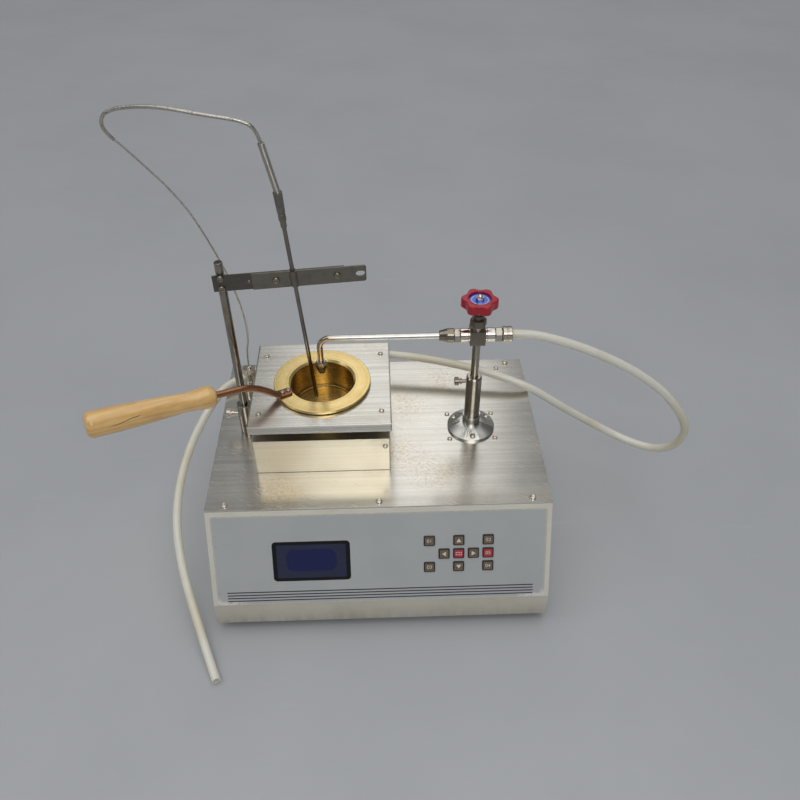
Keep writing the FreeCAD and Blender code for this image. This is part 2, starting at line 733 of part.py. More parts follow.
def make_plate():
    """The stainless top plate with a hole for everything that passes through it."""
    plate = slab(-HALF_W, HALF_W, 0, CASE_D, PLATE_UNDER, CASE_TOP, PLATE_CORNER)
    holes = [(x, y, SCREW_R) for x, y in plate_screw_places()]
    holes += [(x, y, SMALL_R) for x, y in motor_screw_places() + flange_screw_places()]
    holes += [(x, y, ELEMENT_R + WIRE_HOLE_GAP) for x, y in element_tail_places()]
    holes += [(EARTH_X, EARTH_Y, SMALL_R), (JET_X, JET_Y, SPINDLE_R + WIRE_HOLE_GAP)]
    holes += [(LEAD_X, LEAD_Y, LEAD_BARREL_R), (STAND_X, STAND_Y, STUD_R)]
    low = PLATE_UNDER - OVERRUN
    high = CASE_TOP + OVERRUN
    write("top_plate", [plate.cut([disc(x, y, low, high, r + RUN_CLEAR) for x, y, r in holes])])


def make_plate_screws():
    """All screws whose heads stand on the top plate and on the jet flange."""
    large = screw(SCREW_HEAD_R, SCREW_HEAD_H, SCREW_R, SCREW_L)
    small = screw(SMALL_HEAD_R, SMALL_HEAD_H, SMALL_R, SMALL_L)
    screws = [moved(large, x, y, CASE_TOP) for x, y in plate_screw_places()]
    screws += [moved(small, x, y, CASE_TOP) for x, y in motor_screw_places()]
    screws += [moved(small, EARTH_X, EARTH_Y, CASE_TOP)]
    screws += [moved(small, x, y, CASE_TOP + FLANGE_SEAT_RISE) for x, y in flange_screw_places()]
    write("plate_screws", screws)


def make_feet():
    """Rubber feet with the screws that hold them."""
    profile = [(0, FOOT_RECESS_H), (FOOT_RECESS_R, FOOT_RECESS_H), (FOOT_RECESS_R, 0), (FOOT_R, 0),
               (FOOT_TOP_R, FOOT_H), (0, FOOT_H)]
    foot = turned(profile).cut(disc(0, 0, 0, FOOT_H, FOOT_SCREW_R + RUN_CLEAR))
    write("feet", [moved(foot, x, y, 0) for x, y in foot_places()])
    fixing = screw(SCREW_HEAD_R, SCREW_HEAD_H, FOOT_SCREW_R, FOOT_H - FOOT_RECESS_H + 2 * SHELL_T)
    down = [aimed(fixing, V(x, y, FOOT_RECESS_H), V(0, 0, -1)) for x, y in foot_places()]
    write("foot_screws", down)


def make_front():
    """The front label, the display window, the keys and the board behind them."""
    label = on_panel(slab(LABEL_INSET - HALF_W, HALF_W - LABEL_INSET, LABEL_INSET - SLOPE_L,
                          -LABEL_INSET, 0, LABEL_T, LABEL_CORNER))
    cuts = [window_block(WINDOW_GAP, -OVERRUN, OVERRUN)]
    cuts += [key_block(place, KEY_GAP, -OVERRUN, OVERRUN) for place in KEY_PLACES.values()]
    write("front_label", [label.cut(cuts)])
    write("lcd_window", [window_block(0, LABEL_T - WINDOW_T, LABEL_T)])
    lip_top = -SHELL_T - RUN_CLEAR
    for node, place in KEY_PLACES.items():
        cap = key_block(place, 0, lip_top - KEY_LIP_T, LABEL_T + KEY_PROUD)
        lip = key_block(place, KEY_LIP, lip_top - KEY_LIP_T, lip_top)
        write(node, [fused(cap, [lip])])
    board = on_panel(box(-BOARD_W / 2, BOARD_W / 2, -WINDOW_DOWN - BOARD_H / 2,
                         -WINDOW_DOWN + BOARD_H / 2, -BOARD_DEPTH - BOARD_T, -BOARD_DEPTH))
    adds = [on_panel(box(WINDOW_X - DISPLAY_W / 2, WINDOW_X + DISPLAY_W / 2,
                         -WINDOW_DOWN - DISPLAY_H / 2, -WINDOW_DOWN + DISPLAY_H / 2,
                         -BOARD_DEPTH, -SHELL_T - DISPLAY_GAP))]
    post_x = BOARD_W / 2 - BOARD_POST_INSET
    post_y = BOARD_H / 2 - BOARD_POST_INSET
    for x in (-post_x, post_x):
        for y in (-WINDOW_DOWN - post_y, -WINDOW_DOWN + post_y):
            adds.append(on_panel(disc(x, y, -BOARD_DEPTH, -SHELL_T, BOARD_POST_R)))
    plunger_top = lip_top - KEY_LIP_T - KEY_TRAVEL
    for across, down in KEY_PLACES.values():
        x = KEY_X + across * KEY_STEP
        y = -KEY_DOWN - down * KEY_STEP
        body = box(x - SWITCH_W / 2, x + SWITCH_W / 2, y - SWITCH_W / 2, y + SWITCH_W / 2,
                   -BOARD_DEPTH, SWITCH_H - BOARD_DEPTH)
        adds.append(on_panel(body))
        adds.append(on_panel(disc(x, y, -BOARD_DEPTH, plunger_top, SWITCH_PLUNGER_R)))
    write("display_board", [fused(board, adds)])


def make_control_board():
    """The control board with its transformer, relays and finned sink on four pillars."""
    low = FLOOR_TOP + CONTROL_PILLAR_H
    top = low + BOARD_T
    x0 = CONTROL_X - CONTROL_W / 2
    x1 = CONTROL_X + CONTROL_W / 2
    y0 = CONTROL_Y - CONTROL_D / 2
    y1 = CONTROL_Y + CONTROL_D / 2
    adds = []
    for x in (x0 + CONTROL_PILLAR_INSET, x1 - CONTROL_PILLAR_INSET):
        for y in (y0 + CONTROL_PILLAR_INSET, y1 - CONTROL_PILLAR_INSET):
            adds.append(disc(x, y, FLOOR_TOP, low, CONTROL_PILLAR_R))
    inset = 2 * CONTROL_PILLAR_INSET
    adds.append(slab(x0 + inset, x0 + inset + TRANSFORMER_W, y1 - inset - TRANSFORMER_D, y1 - inset,
                     top, top + TRANSFORMER_H, CONTROL_PILLAR_R))
    for i in range(RELAY_COUNT):
        x = x0 + inset + i * RELAY_STEP
        adds.append(box(x, x + RELAY_W, y0 + inset, y0 + inset + RELAY_D, top, top + RELAY_H))
    sink_x = x1 - inset - SINK_BASE_T
    adds.append(box(sink_x, x1 - inset, CONTROL_Y - SINK_W / 2, CONTROL_Y + SINK_W / 2, top, top + SINK_H))
    for i in range(SINK_FIN_COUNT):
        y = CONTROL_Y - SINK_W / 2 + i * (SINK_W - SINK_FIN_T) / (SINK_FIN_COUNT - 1)
        adds.append(box(sink_x - SINK_FIN_L, sink_x, y, y + SINK_FIN_T, top, top + SINK_H))
    write("control_board", [fused(box(x0, x1, y0, y1, low, top), adds)])


def make_inlet():
    """The mains inlet with its fuse drawer and pins, and the rocker of its switch."""
    x0 = INLET_X - INLET_W / 2
    x1 = INLET_X + INLET_W / 2
    z0 = INLET_Z - INLET_H / 2
    z1 = INLET_Z + INLET_H / 2
    face = CASE_D + INLET_FLANGE_T
    flange = box(x0, x1, CASE_D, face, z0, z1)
    body = box(x0 + INLET_RIM + RUN_CLEAR, x1 - INLET_RIM - RUN_CLEAR, CASE_D - INLET_BODY_D, CASE_D,
               z0 + INLET_RIM + RUN_CLEAR, z1 - INLET_RIM - RUN_CLEAR)
    socket_z = INLET_Z - SOCKET_DROP
    cavity = box(INLET_X - SOCKET_W / 2, INLET_X + SOCKET_W / 2, face - SOCKET_DEPTH, face + OVERRUN,
                 socket_z - SOCKET_H / 2, socket_z + SOCKET_H / 2)
    rocker_z = INLET_Z + ROCKER_RISE
    pivot = V(INLET_X, face - ROCKER_PIVOT_IN, rocker_z)
    well_h = ROCKER_H / 2 + ROCKER_GAP
    well = box(INLET_X - ROCKER_W / 2 - LOOSE_CLEAR, INLET_X + ROCKER_W / 2 + LOOSE_CLEAR,
               face - ROCKER_PIVOT_IN - ROCKER_DEPTH - ROCKER_GAP, face + OVERRUN,
               rocker_z - well_h, rocker_z + well_h)
    pin_reach = ROCKER_W / 2 + ROCKER_PIN_L
    bearing = Part.makeCylinder(ROCKER_PIN_R + RUN_CLEAR, 2 * (pin_reach + LOOSE_CLEAR),
                                pivot - V(pin_reach + LOOSE_CLEAR, 0, 0), RIGHT)
    drawer_z = (socket_z + SOCKET_H / 2 + rocker_z - well_h) / 2 + FUSE_RISE
    drawer = box(INLET_X - FUSE_W / 2, INLET_X + FUSE_W / 2, face, face + FUSE_OUT,
                 drawer_z - FUSE_H / 2, drawer_z + FUSE_H / 2)
    inlet = fused(flange, [body, drawer]).cut([cavity, well, bearing])
    pins = []
    back = face - SOCKET_DEPTH - RUN_CLEAR
    for x, z in ((-PIN_STEP, PIN_LIFT), (PIN_STEP, PIN_LIFT), (0, EARTH_LIFT)):
        pins.append(box(INLET_X + x - PIN_W / 2, INLET_X + x + PIN_W / 2, back, back + PIN_L,
                        socket_z + z - PIN_H / 2, socket_z + z + PIN_H / 2))
    write("power_inlet", [fused(inlet, pins)])
    half = ROCKER_H / 2
    proud = ROCKER_PIVOT_IN + ROCKER_PROUD
    outline = [V(0, -ROCKER_DEPTH, -half * SOCKET_DEPTH_SHARE), V(0, 0, -half), V(0, proud, -half),
               V(0, proud - ROCKER_DISH, 0), V(0, proud, half), V(0, 0, half),
               V(0, -ROCKER_DEPTH, half * SOCKET_DEPTH_SHARE)]
    rocker = Part.Face(Part.makePolygon(outline + outline[:1])).extrude(V(ROCKER_W, 0, 0))
    rocker.translate(V(-ROCKER_W / 2, 0, 0))
    axle = Part.makeCylinder(ROCKER_PIN_R, 2 * pin_reach, V(-pin_reach, 0, 0), RIGHT)
    rocker = fused(rocker, [axle])
    rocker.Placement = FreeCAD.Placement(pivot, FreeCAD.Rotation(RIGHT, -ROCKER_TILT))
    write("power_rocker", [rocker])


def make_heater():
    """The heater: its box, cover, fixings, insulation, hot plate and element."""
    x0 = HEATER_X - COVER_W / 2
    x1 = HEATER_X + COVER_W / 2
    y0 = HEATER_Y - COVER_D / 2
    y1 = HEATER_Y + COVER_D / 2
    top = CASE_TOP + COVER_RISE
    under = top - COVER_T
    cover = slab(x0, x1, y0, y1, top - COVER_LIP, top, COVER_CORNER)
    hole_r = CUP_R + CUP_WALL + COVER_HOLE_GAP
    cuts = [box(x0 + COVER_T, x1 - COVER_T, y0 + COVER_T, y1 - COVER_T, top - COVER_LIP - OVERRUN, under),
            disc(CUP_X, CUP_Y, under - OVERRUN, top + OVERRUN, hole_r)]
    cuts += [disc(x, y, under - OVERRUN, top + OVERRUN, SMALL_R + RUN_CLEAR) for x, y in cover_screw_places()]
    write("heater_cover", [cover.cut(cuts)])
    bx0 = x0 + BOX_GAP
    bx1 = x1 - BOX_GAP
    by0 = y0 + BOX_GAP
    by1 = y1 - BOX_GAP
    fold_top = CASE_TOP + BOX_RISE
    walls = slab(bx0, bx1, by0, by1, CASE_TOP, fold_top, COVER_CORNER)
    cuts = [box(bx0 + BOX_T, bx1 - BOX_T, by0 + BOX_T, by1 - BOX_T, CASE_TOP - OVERRUN, fold_top - BOX_T),
            box(bx0 + BOX_FOLD, bx1 - BOX_FOLD, by0 + BOX_FOLD, by1 - BOX_FOLD, CASE_TOP, fold_top + OVERRUN)]
    cuts += [disc(x, y, CASE_TOP, top, SMALL_R + RUN_CLEAR) for x, y in cover_screw_places()]
    side_screw = V(bx1 - BOX_SCREW_X_INSET, by0, fold_top - BOX_SCREW_DROP)
    cuts.append(Part.makeCylinder(SMALL_R + RUN_CLEAR, BOX_T + OVERRUN, side_screw, BACK))
    write("heater_box", [walls.cut(cuts)])
    small = screw(SMALL_HEAD_R, SMALL_HEAD_H, SMALL_R, SMALL_L)
    fixings = [moved(small, x, y, top) for x, y in cover_screw_places()]
    for x, y in cover_screw_places():
        bored = disc(x, y, under - SMALL_L, under, SMALL_R + RUN_CLEAR)
        fixings.append(disc(x, y, fold_top, under, SPACER_R).cut(bored))
    short = screw(SMALL_HEAD_R, SMALL_HEAD_H, SMALL_R, BOX_T)
    fixings.append(aimed(short, side_screw, FRONT))
    write("heater_fixings", fixings)
    gap = BOX_T + INSULATION_GAP
    block = box(bx0 + gap, bx1 - gap, by0 + gap, by1 - gap, CASE_TOP, HOT_PLATE_TOP)
    pocket = disc(CUP_X, CUP_Y, HOT_PLATE_UNDER, HOT_PLATE_TOP + OVERRUN, HOT_PLATE_R + HOT_PLATE_GAP)
    tails = element_tail_places()
    bores = [disc(x, y, CASE_TOP - OVERRUN, HOT_PLATE_TOP, ELEMENT_R + LOOSE_CLEAR) for x, y in tails]
    write("heater_insulation", [block.cut([pocket] + bores)])
    groove_w = ELEMENT_R + ELEMENT_GROOVE_GAP
    groove_top = HOT_PLATE_UNDER + 2 * groove_w
    groove = disc(CUP_X, CUP_Y, HOT_PLATE_UNDER - OVERRUN, groove_top, ELEMENT_RING_R + groove_w)
    groove = groove.cut(disc(CUP_X, CUP_Y, HOT_PLATE_UNDER - OVERRUN, groove_top, ELEMENT_RING_R - groove_w))
    write("heating_plate", [disc(CUP_X, CUP_Y, HOT_PLATE_UNDER, HOT_PLATE_TOP, HOT_PLATE_R).cut(groove)])
    ring_z = HOT_PLATE_UNDER + ELEMENT_R
    ring = Part.makeTorus(ELEMENT_RING_R, ELEMENT_R, V(CUP_X, CUP_Y, ring_z), UP,
                          -FULL_TURN / 2, FULL_TURN / 2, FULL_TURN - ELEMENT_GAP_ANGLE)
    ring.rotate(V(CUP_X, CUP_Y, 0), UP, ELEMENT_GAP_ANGLE / 2)
    adds = []
    for x, y in tails:
        adds.append(Part.makeSphere(ELEMENT_R, V(x, y, ring_z)))
        adds.append(disc(x, y, ring_z - ELEMENT_TAIL - ELEMENT_R - PLATE_T, ring_z, ELEMENT_R))
        tail_end = ring_z - ELEMENT_TAIL - ELEMENT_R - PLATE_T
        adds.append(disc(x, y, tail_end - TERMINAL_L, tail_end, TERMINAL_R))
    write("heating_element", [fused(ring, adds)])


def quarter(radius, height, rounding, side):
    """A quarter arc in the X-Z plane that rounds a turned end at the given outer radius."""
    slant = rounding * math.sin(math.pi / 4)
    centre = V(radius - rounding, 0, height)
    return Part.Arc(centre + V(rounding, 0, 0), centre + V(slant, 0, side * slant),
                    centre + V(0, 0, side * rounding)).toShape()


def make_cup():
    """The turned brass cup, the ring that it turns on, and its handle."""
    flange_under = CUP_TOP - CUP_FLANGE_T
    bottom = CUP_FLOOR - CUP_FLOOR_T
    wall_r = CUP_R + CUP_WALL
    profile = [(0, bottom), (wall_r - CUP_EDGE, bottom), (wall_r, bottom + CUP_EDGE),
               (wall_r, flange_under), (CUP_FLANGE_R - CUP_EDGE, flange_under),
               (CUP_FLANGE_R, flange_under + CUP_EDGE), (CUP_FLANGE_R, CUP_TOP - CUP_EDGE),
               (CUP_FLANGE_R - CUP_EDGE, CUP_TOP), (CUP_R + CUP_BEVEL, CUP_TOP),
               (CUP_R, CUP_TOP - CUP_BEVEL), (CUP_R, CUP_FLOOR), (0, CUP_FLOOR)]
    cup = moved(turned(profile), CUP_X, CUP_Y, 0)
    near = HANDLE_SCREW_R_NEAR
    far = HANDLE_SCREW_R_FAR
    bore_l = HANDLE_SHANK_L + RUN_CLEAR
    bores = [on_handle(disc(r, 0, TAB_T - bore_l, TAB_T + OVERRUN, SMALL_R + RUN_CLEAR)) for r in (near, far)]
    write("cup", [cup.cut(bores)])
    inner_r = wall_r + COVER_HOLE_GAP
    ring = disc(CUP_X, CUP_Y, flange_under - RING_T, flange_under, inner_r + RING_W)
    ring = ring.cut(disc(CUP_X, CUP_Y, flange_under - RING_T - OVERRUN, CUP_TOP, inner_r))
    write("cup_seat_ring", [ring])
    tab = slab(TAB_START_R, TAB_END_R, -TAB_W / 2, TAB_W / 2, 0, TAB_T, TAB_CORNER)
    path_points = [V(r, 0, z) for r, z in BAR_RUN]
    bar = fused(tab, [swept(path_points, BAR_R)[0]])
    bar = bar.cut([disc(r, 0, -OVERRUN, TAB_T + OVERRUN, SMALL_R + RUN_CLEAR) for r in (near, far)])
    write("handle_bar", [on_handle(bar)])
    head = screw(HANDLE_HEAD_R, SMALL_HEAD_H, SMALL_R, HANDLE_SHANK_L)
    write("handle_screws", [on_handle(moved(head, r, 0, TAB_T)) for r in (near, far)])
    first = V(GRIP_START[0], 0, GRIP_START[1])
    last = V(GRIP_END[0], 0, GRIP_END[1])
    length = (last - first).Length
    axis = V(last - first).normalize()
    belly = [V(GRIP_FRONT_R, 0, GRIP_ROUND), V(GRIP_WAIST_R, 0, length * GRIP_WAIST_SHARE),
             V(GRIP_END_R, 0, length - GRIP_END_ROUND)]
    curve = Part.BSplineCurve()
    curve.interpolate(Points=belly, InitialTangent=UP, FinalTangent=UP)
    edges = [Part.LineSegment(V(0, 0, 0), V(GRIP_FRONT_R - GRIP_ROUND, 0, 0)).toShape(),
             quarter(GRIP_FRONT_R, GRIP_ROUND, GRIP_ROUND, -1),
             curve.toShape(),
             quarter(GRIP_END_R, length - GRIP_END_ROUND, GRIP_END_ROUND, 1),
             Part.LineSegment(V(GRIP_END_R - GRIP_END_ROUND, 0, length), V(0, 0, length)).toShape(),
             Part.LineSegment(V(0, 0, length), V(0, 0, 0)).toShape()]
    grip = Part.Face(Part.Wire(Part.__sortEdges__(edges))).revolve(V(0, 0, 0), UP, FULL_TURN)
    grip = aimed(grip, first, axis)
    bore = swept(path_points, BAR_R + GRIP_BORE_GAP)[0]
    bore_end = Part.makeCylinder(BAR_R + GRIP_BORE_GAP, GRIP_BORE_END, path_points[-1],
                                 path_points[-1] - path_points[-2])
    write("grip", [on_handle(grip.cut([bore, bore_end]))])


def make_stand():
    """The stand: socket, post, arm strips with their screws, and the clamp screw."""
    top = CASE_TOP + STAND_SOCKET_RISE
    profile = [(0, CASE_TOP), (STAND_SOCKET_R, CASE_TOP), (STAND_SOCKET_R, top - STAND_SOCKET_EDGE),
               (STAND_SOCKET_R - STAND_SOCKET_EDGE, top), (0, top)]
    socket = moved(turned(profile), STAND_X, STAND_Y, 0)
    stud = disc(STAND_X, STAND_Y, PLATE_UNDER - STUD_L, CASE_TOP, STUD_R)
    socket = fused(socket, [stud])
    thumb_base = V(STAND_X - STAND_SOCKET_R, STAND_Y, CASE_TOP + THUMB_RISE)
    post_foot = CASE_TOP + POST_FOOT_GAP
    cross = Part.makeCylinder(THUMB_R + RUN_CLEAR, STAND_SOCKET_R + OVERRUN,
                              thumb_base + LEFT * OVERRUN, RIGHT)
    socket = socket.cut([disc(STAND_X, STAND_Y, post_foot, top + OVERRUN, POST_R + RUN_CLEAR), cross])
    write("stand_socket", [socket])
    tip_l = STAND_SOCKET_R - POST_R - THUMB_TIP_GAP
    write("stand_clamp_screw", [aimed(thumb_screw(tip_l), thumb_base, LEFT)])
    post_top = CASE_TOP + POST_RISE
    profile = [(0, post_foot), (POST_R, post_foot), (POST_R, post_top - POST_EDGE),
               (POST_R - POST_EDGE, post_top), (0, post_top)]
    post = moved(turned(profile), STAND_X, STAND_Y, 0)
    low = ARM_RISE - ARM_H / 2
    high = ARM_RISE + ARM_H / 2
    flat = on_arm(box(-POST_R, POST_R, -POST_R, STRIP_BACK, low - LOOSE_CLEAR, high + LOOSE_CLEAR))
    heights = (ARM_RISE - POST_SCREW_GAP / 2, ARM_RISE + POST_SCREW_GAP / 2)
    deep = SMALL_L + RUN_CLEAR

    def cross_bore(x, z, length):
        return on_arm(Part.makeCylinder(SMALL_R + RUN_CLEAR, length, V(x, STRIP_FRONT - OVERRUN, z), BACK))

    post_bores = [cross_bore(0, z, OVERRUN + ARM_T + deep) for z in heights]
    write("stand_post", [post.cut([flat] + post_bores)])
    lean = math.radians(PROBE_LEAN)
    axis = V(-math.sin(lean), 0, math.cos(lean))
    through = V(PROBE_AT, STRIP_MEET, ARM_RISE)
    reach = ARM_H
    channel = Part.makeCylinder(CHANNEL_R, 2 * reach, through - axis * reach, axis)
    bore = Part.makeCylinder(PROBE_R + RUN_CLEAR, 2 * reach, through - axis * reach, axis)
    behind = box(-CASE_W, CASE_W, STRIP_MEET, CASE_D, low, high)
    before = box(-CASE_W, CASE_W, -CASE_D, STRIP_MEET, low, high)
    ends = (ARM_SCREW_NEAR, ARM_SCREW_FAR)
    long_bores = [cross_bore(s, ARM_RISE, POST_RISE) for s in ends]
    back_strip = box(-ARM_LEFT, BACK_STRIP_L, STRIP_MEET, STRIP_BACK, low, high)
    back_strip = fused(back_strip, [channel.common(behind)]).cut(bore)
    rivet_bore = Part.makeCylinder(RIVET_R + RUN_CLEAR, POST_R, V(RIVET_AT, STRIP_FRONT, ARM_RISE), BACK)
    rivet_bore = on_arm(rivet_bore)
    write("arm_back_strip", [on_arm(back_strip).cut(post_bores + long_bores + [rivet_bore])])
    strip = box(FRONT_STRIP_START, FRONT_STRIP_END, STRIP_FRONT, STRIP_MEET, low, high)
    ends_y = [e for e in strip.Edges if e.BoundBox.YLength > ARM_T / 2 and e.BoundBox.XMax > FRONT_STRIP_END
              - RUN_CLEAR]
    strip = strip.makeFillet(ARM_CORNER, ends_y)
    slot_end = FRONT_STRIP_END - ARM_SLOT_EDGE
    radius = ARM_SLOT_H / 2
    slot = box(slot_end - ARM_SLOT_L + radius, slot_end - radius, STRIP_FRONT - OVERRUN,
               STRIP_MEET + OVERRUN, ARM_RISE - radius, ARM_RISE + radius)
    rounds = [Part.makeCylinder(radius, ARM_T + 2 * OVERRUN, V(x, STRIP_FRONT - OVERRUN, ARM_RISE), BACK)
              for x in (slot_end - ARM_SLOT_L + radius, slot_end - radius)]
    strip = fused(strip, [channel.common(before)]).cut([bore, slot] + rounds)
    write("arm_front_strip", [on_arm(strip).cut(long_bores)])
    pair_l = 2 * ARM_T + ARM_NUT_T
    clamp = screw(SCREW_HEAD_R, SCREW_HEAD_H, SMALL_R, pair_l)
    fixings = [on_arm(aimed(clamp, V(s, STRIP_FRONT, ARM_RISE), FRONT)) for s in ends]
    nut_bore = disc(0, 0, -OVERRUN, ARM_NUT_T + OVERRUN, SMALL_R + RUN_CLEAR)
    nut = hexagon(ARM_NUT_FLATS, ARM_NUT_T).cut(nut_bore)
    fixings += [on_arm(aimed(nut, V(s, STRIP_BACK, ARM_RISE), BACK)) for s in ends]
    fixed = screw(SCREW_HEAD_R, SCREW_HEAD_H, SMALL_R, SMALL_L)
    fixings += [on_arm(aimed(fixed, V(0, STRIP_MEET, z), FRONT)) for z in heights]
    rivet = turned([(0, -ARM_T), (RIVET_R, -ARM_T), (RIVET_R, 0), (RIVET_R, RIVET_H / 2),
                    (RIVET_R / 2, RIVET_H), (0, RIVET_H)])
    fixings.append(on_arm(aimed(rivet, V(RIVET_AT, STRIP_MEET, ARM_RISE), FRONT)))
    write("arm_screws", fixings)


def probe_point(rise):
    """A point on the probe's axis, in the arm's own places, at a height over the plate."""
    return V(PROBE_AT - (rise - ARM_RISE) * PROBE_TAN, STRIP_MEET, rise)


def make_probe():
    """The probe: rod with its collar, ferrule, spring sleeve and the cable as far as its splice."""
    lean = math.radians(PROBE_LEAN)
    axis = V(-math.sin(lean), 0, math.cos(lean))

    def along(low, high):
        return (probe_point(high) - probe_point(low)).Length

    rod_l = along(PROBE_TIP_RISE, FERRULE_RISE)
    collar_at = along(PROBE_TIP_RISE, PROBE_COLLAR_RISE)
    rod = turned([(0, 0), (PROBE_R / 2, 0), (PROBE_R, PROBE_R), (PROBE_R, collar_at),
                  (PROBE_COLLAR_R, collar_at), (PROBE_COLLAR_R, rod_l), (0, rod_l)])
    write("probe_rod", [on_arm(aimed(rod, probe_point(PROBE_TIP_RISE), axis))])
    ferrule_l = along(FERRULE_RISE, FERRULE_TOP_RISE)
    ferrule = turned([(0, 0), (FERRULE_R - FERRULE_EDGE, 0), (FERRULE_R, FERRULE_EDGE),
                      (FERRULE_TOP_R, ferrule_l - FERRULE_EDGE), (FERRULE_TOP_R - FERRULE_EDGE, ferrule_l),
                      (0, ferrule_l)])
    ferrule = on_arm(aimed(ferrule, probe_point(FERRULE_RISE), axis))
    write("probe_ferrule", [ferrule])
    tilt = math.radians(SLEEVE_LEAN)
    sleeve_axis = V(-math.sin(tilt), 0, math.cos(tilt))
    foot = probe_point(FERRULE_TOP_RISE) - sleeve_axis * SLEEVE_SINK
    sleeve_l = (SLEEVE_TOP_RISE - foot.z) / math.cos(tilt)
    sleeve = on_arm(Part.makeCylinder(SLEEVE_R, sleeve_l, foot, sleeve_axis))
    write("probe_sleeve", [sleeve.cut(ferrule)])
    end = on_arm(Part.Vertex(foot + sleeve_axis * sleeve_l)).Point
    print("sleeve end", [round(c, 2) for c in (end.x, end.y, end.z - CASE_TOP)])
    first = (end.x, end.y, end.z - CASE_TOP)
    write("probe_cable", [cord_tube("probe_cable", [first] + CABLE_ROUTE, CABLE_DIA)])
    write("probe_lead", [cord_tube("probe_lead", LEAD_ROUTE, LEAD_DIA)])


def make_lead_socket():
    """The round socket on the plate, and the plug with its cable clamp."""
    flange_top = CASE_TOP + LEAD_FLANGE_T
    barrel_top = CASE_TOP + LEAD_BARREL_RISE
    flange = disc(LEAD_X, LEAD_Y, CASE_TOP, flange_top, LEAD_FLANGE_R)
    barrel = disc(LEAD_X, LEAD_Y, PLATE_UNDER - LEAD_BODY_L, barrel_top, LEAD_BARREL_R)
    write("lead_socket", [fused(flange, [barrel])])
    nut = disc(LEAD_X, LEAD_Y, flange_top, CASE_TOP + PLUG_NUT_RISE, PLUG_NUT_R)
    nut = nut.cut(disc(LEAD_X, LEAD_Y, flange_top - OVERRUN, barrel_top, LEAD_BARREL_R + RUN_CLEAR))
    body = disc(LEAD_X, LEAD_Y, CASE_TOP + PLUG_NUT_RISE, CASE_TOP + PLUG_BODY_RISE, PLUG_BODY_R)
    clamp = slab(LEAD_X - PLUG_CLAMP_W / 2, LEAD_X + PLUG_CLAMP_W / 2, LEAD_Y - PLUG_CLAMP_D / 2,
                 LEAD_Y + PLUG_CLAMP_D / 2, CASE_TOP + PLUG_BODY_RISE, CASE_TOP + PLUG_CLAMP_RISE,
                 PLUG_CLAMP_CORNER)
    bush = disc(LEAD_X, LEAD_Y, CASE_TOP + PLUG_CLAMP_RISE, CASE_TOP + PLUG_TOP_RISE, PLUG_BUSH_R)
    screws = []
    screw_z = CASE_TOP + (PLUG_BODY_RISE + PLUG_CLAMP_RISE) / 2
    across = PLUG_CLAMP_W / 2 - PLUG_CLAMP_CORNER - PLUG_SCREW_R
    for side in (-1, 1):
        base = V(LEAD_X + side * across, LEAD_Y - PLUG_CLAMP_D / 2 - PLUG_SCREW_OUT, screw_z)
        screws.append(Part.makeCylinder(PLUG_SCREW_R, PLUG_CLAMP_D, base, BACK))
    write("lead_plug", [fused(nut, [body, clamp, bush] + screws)])


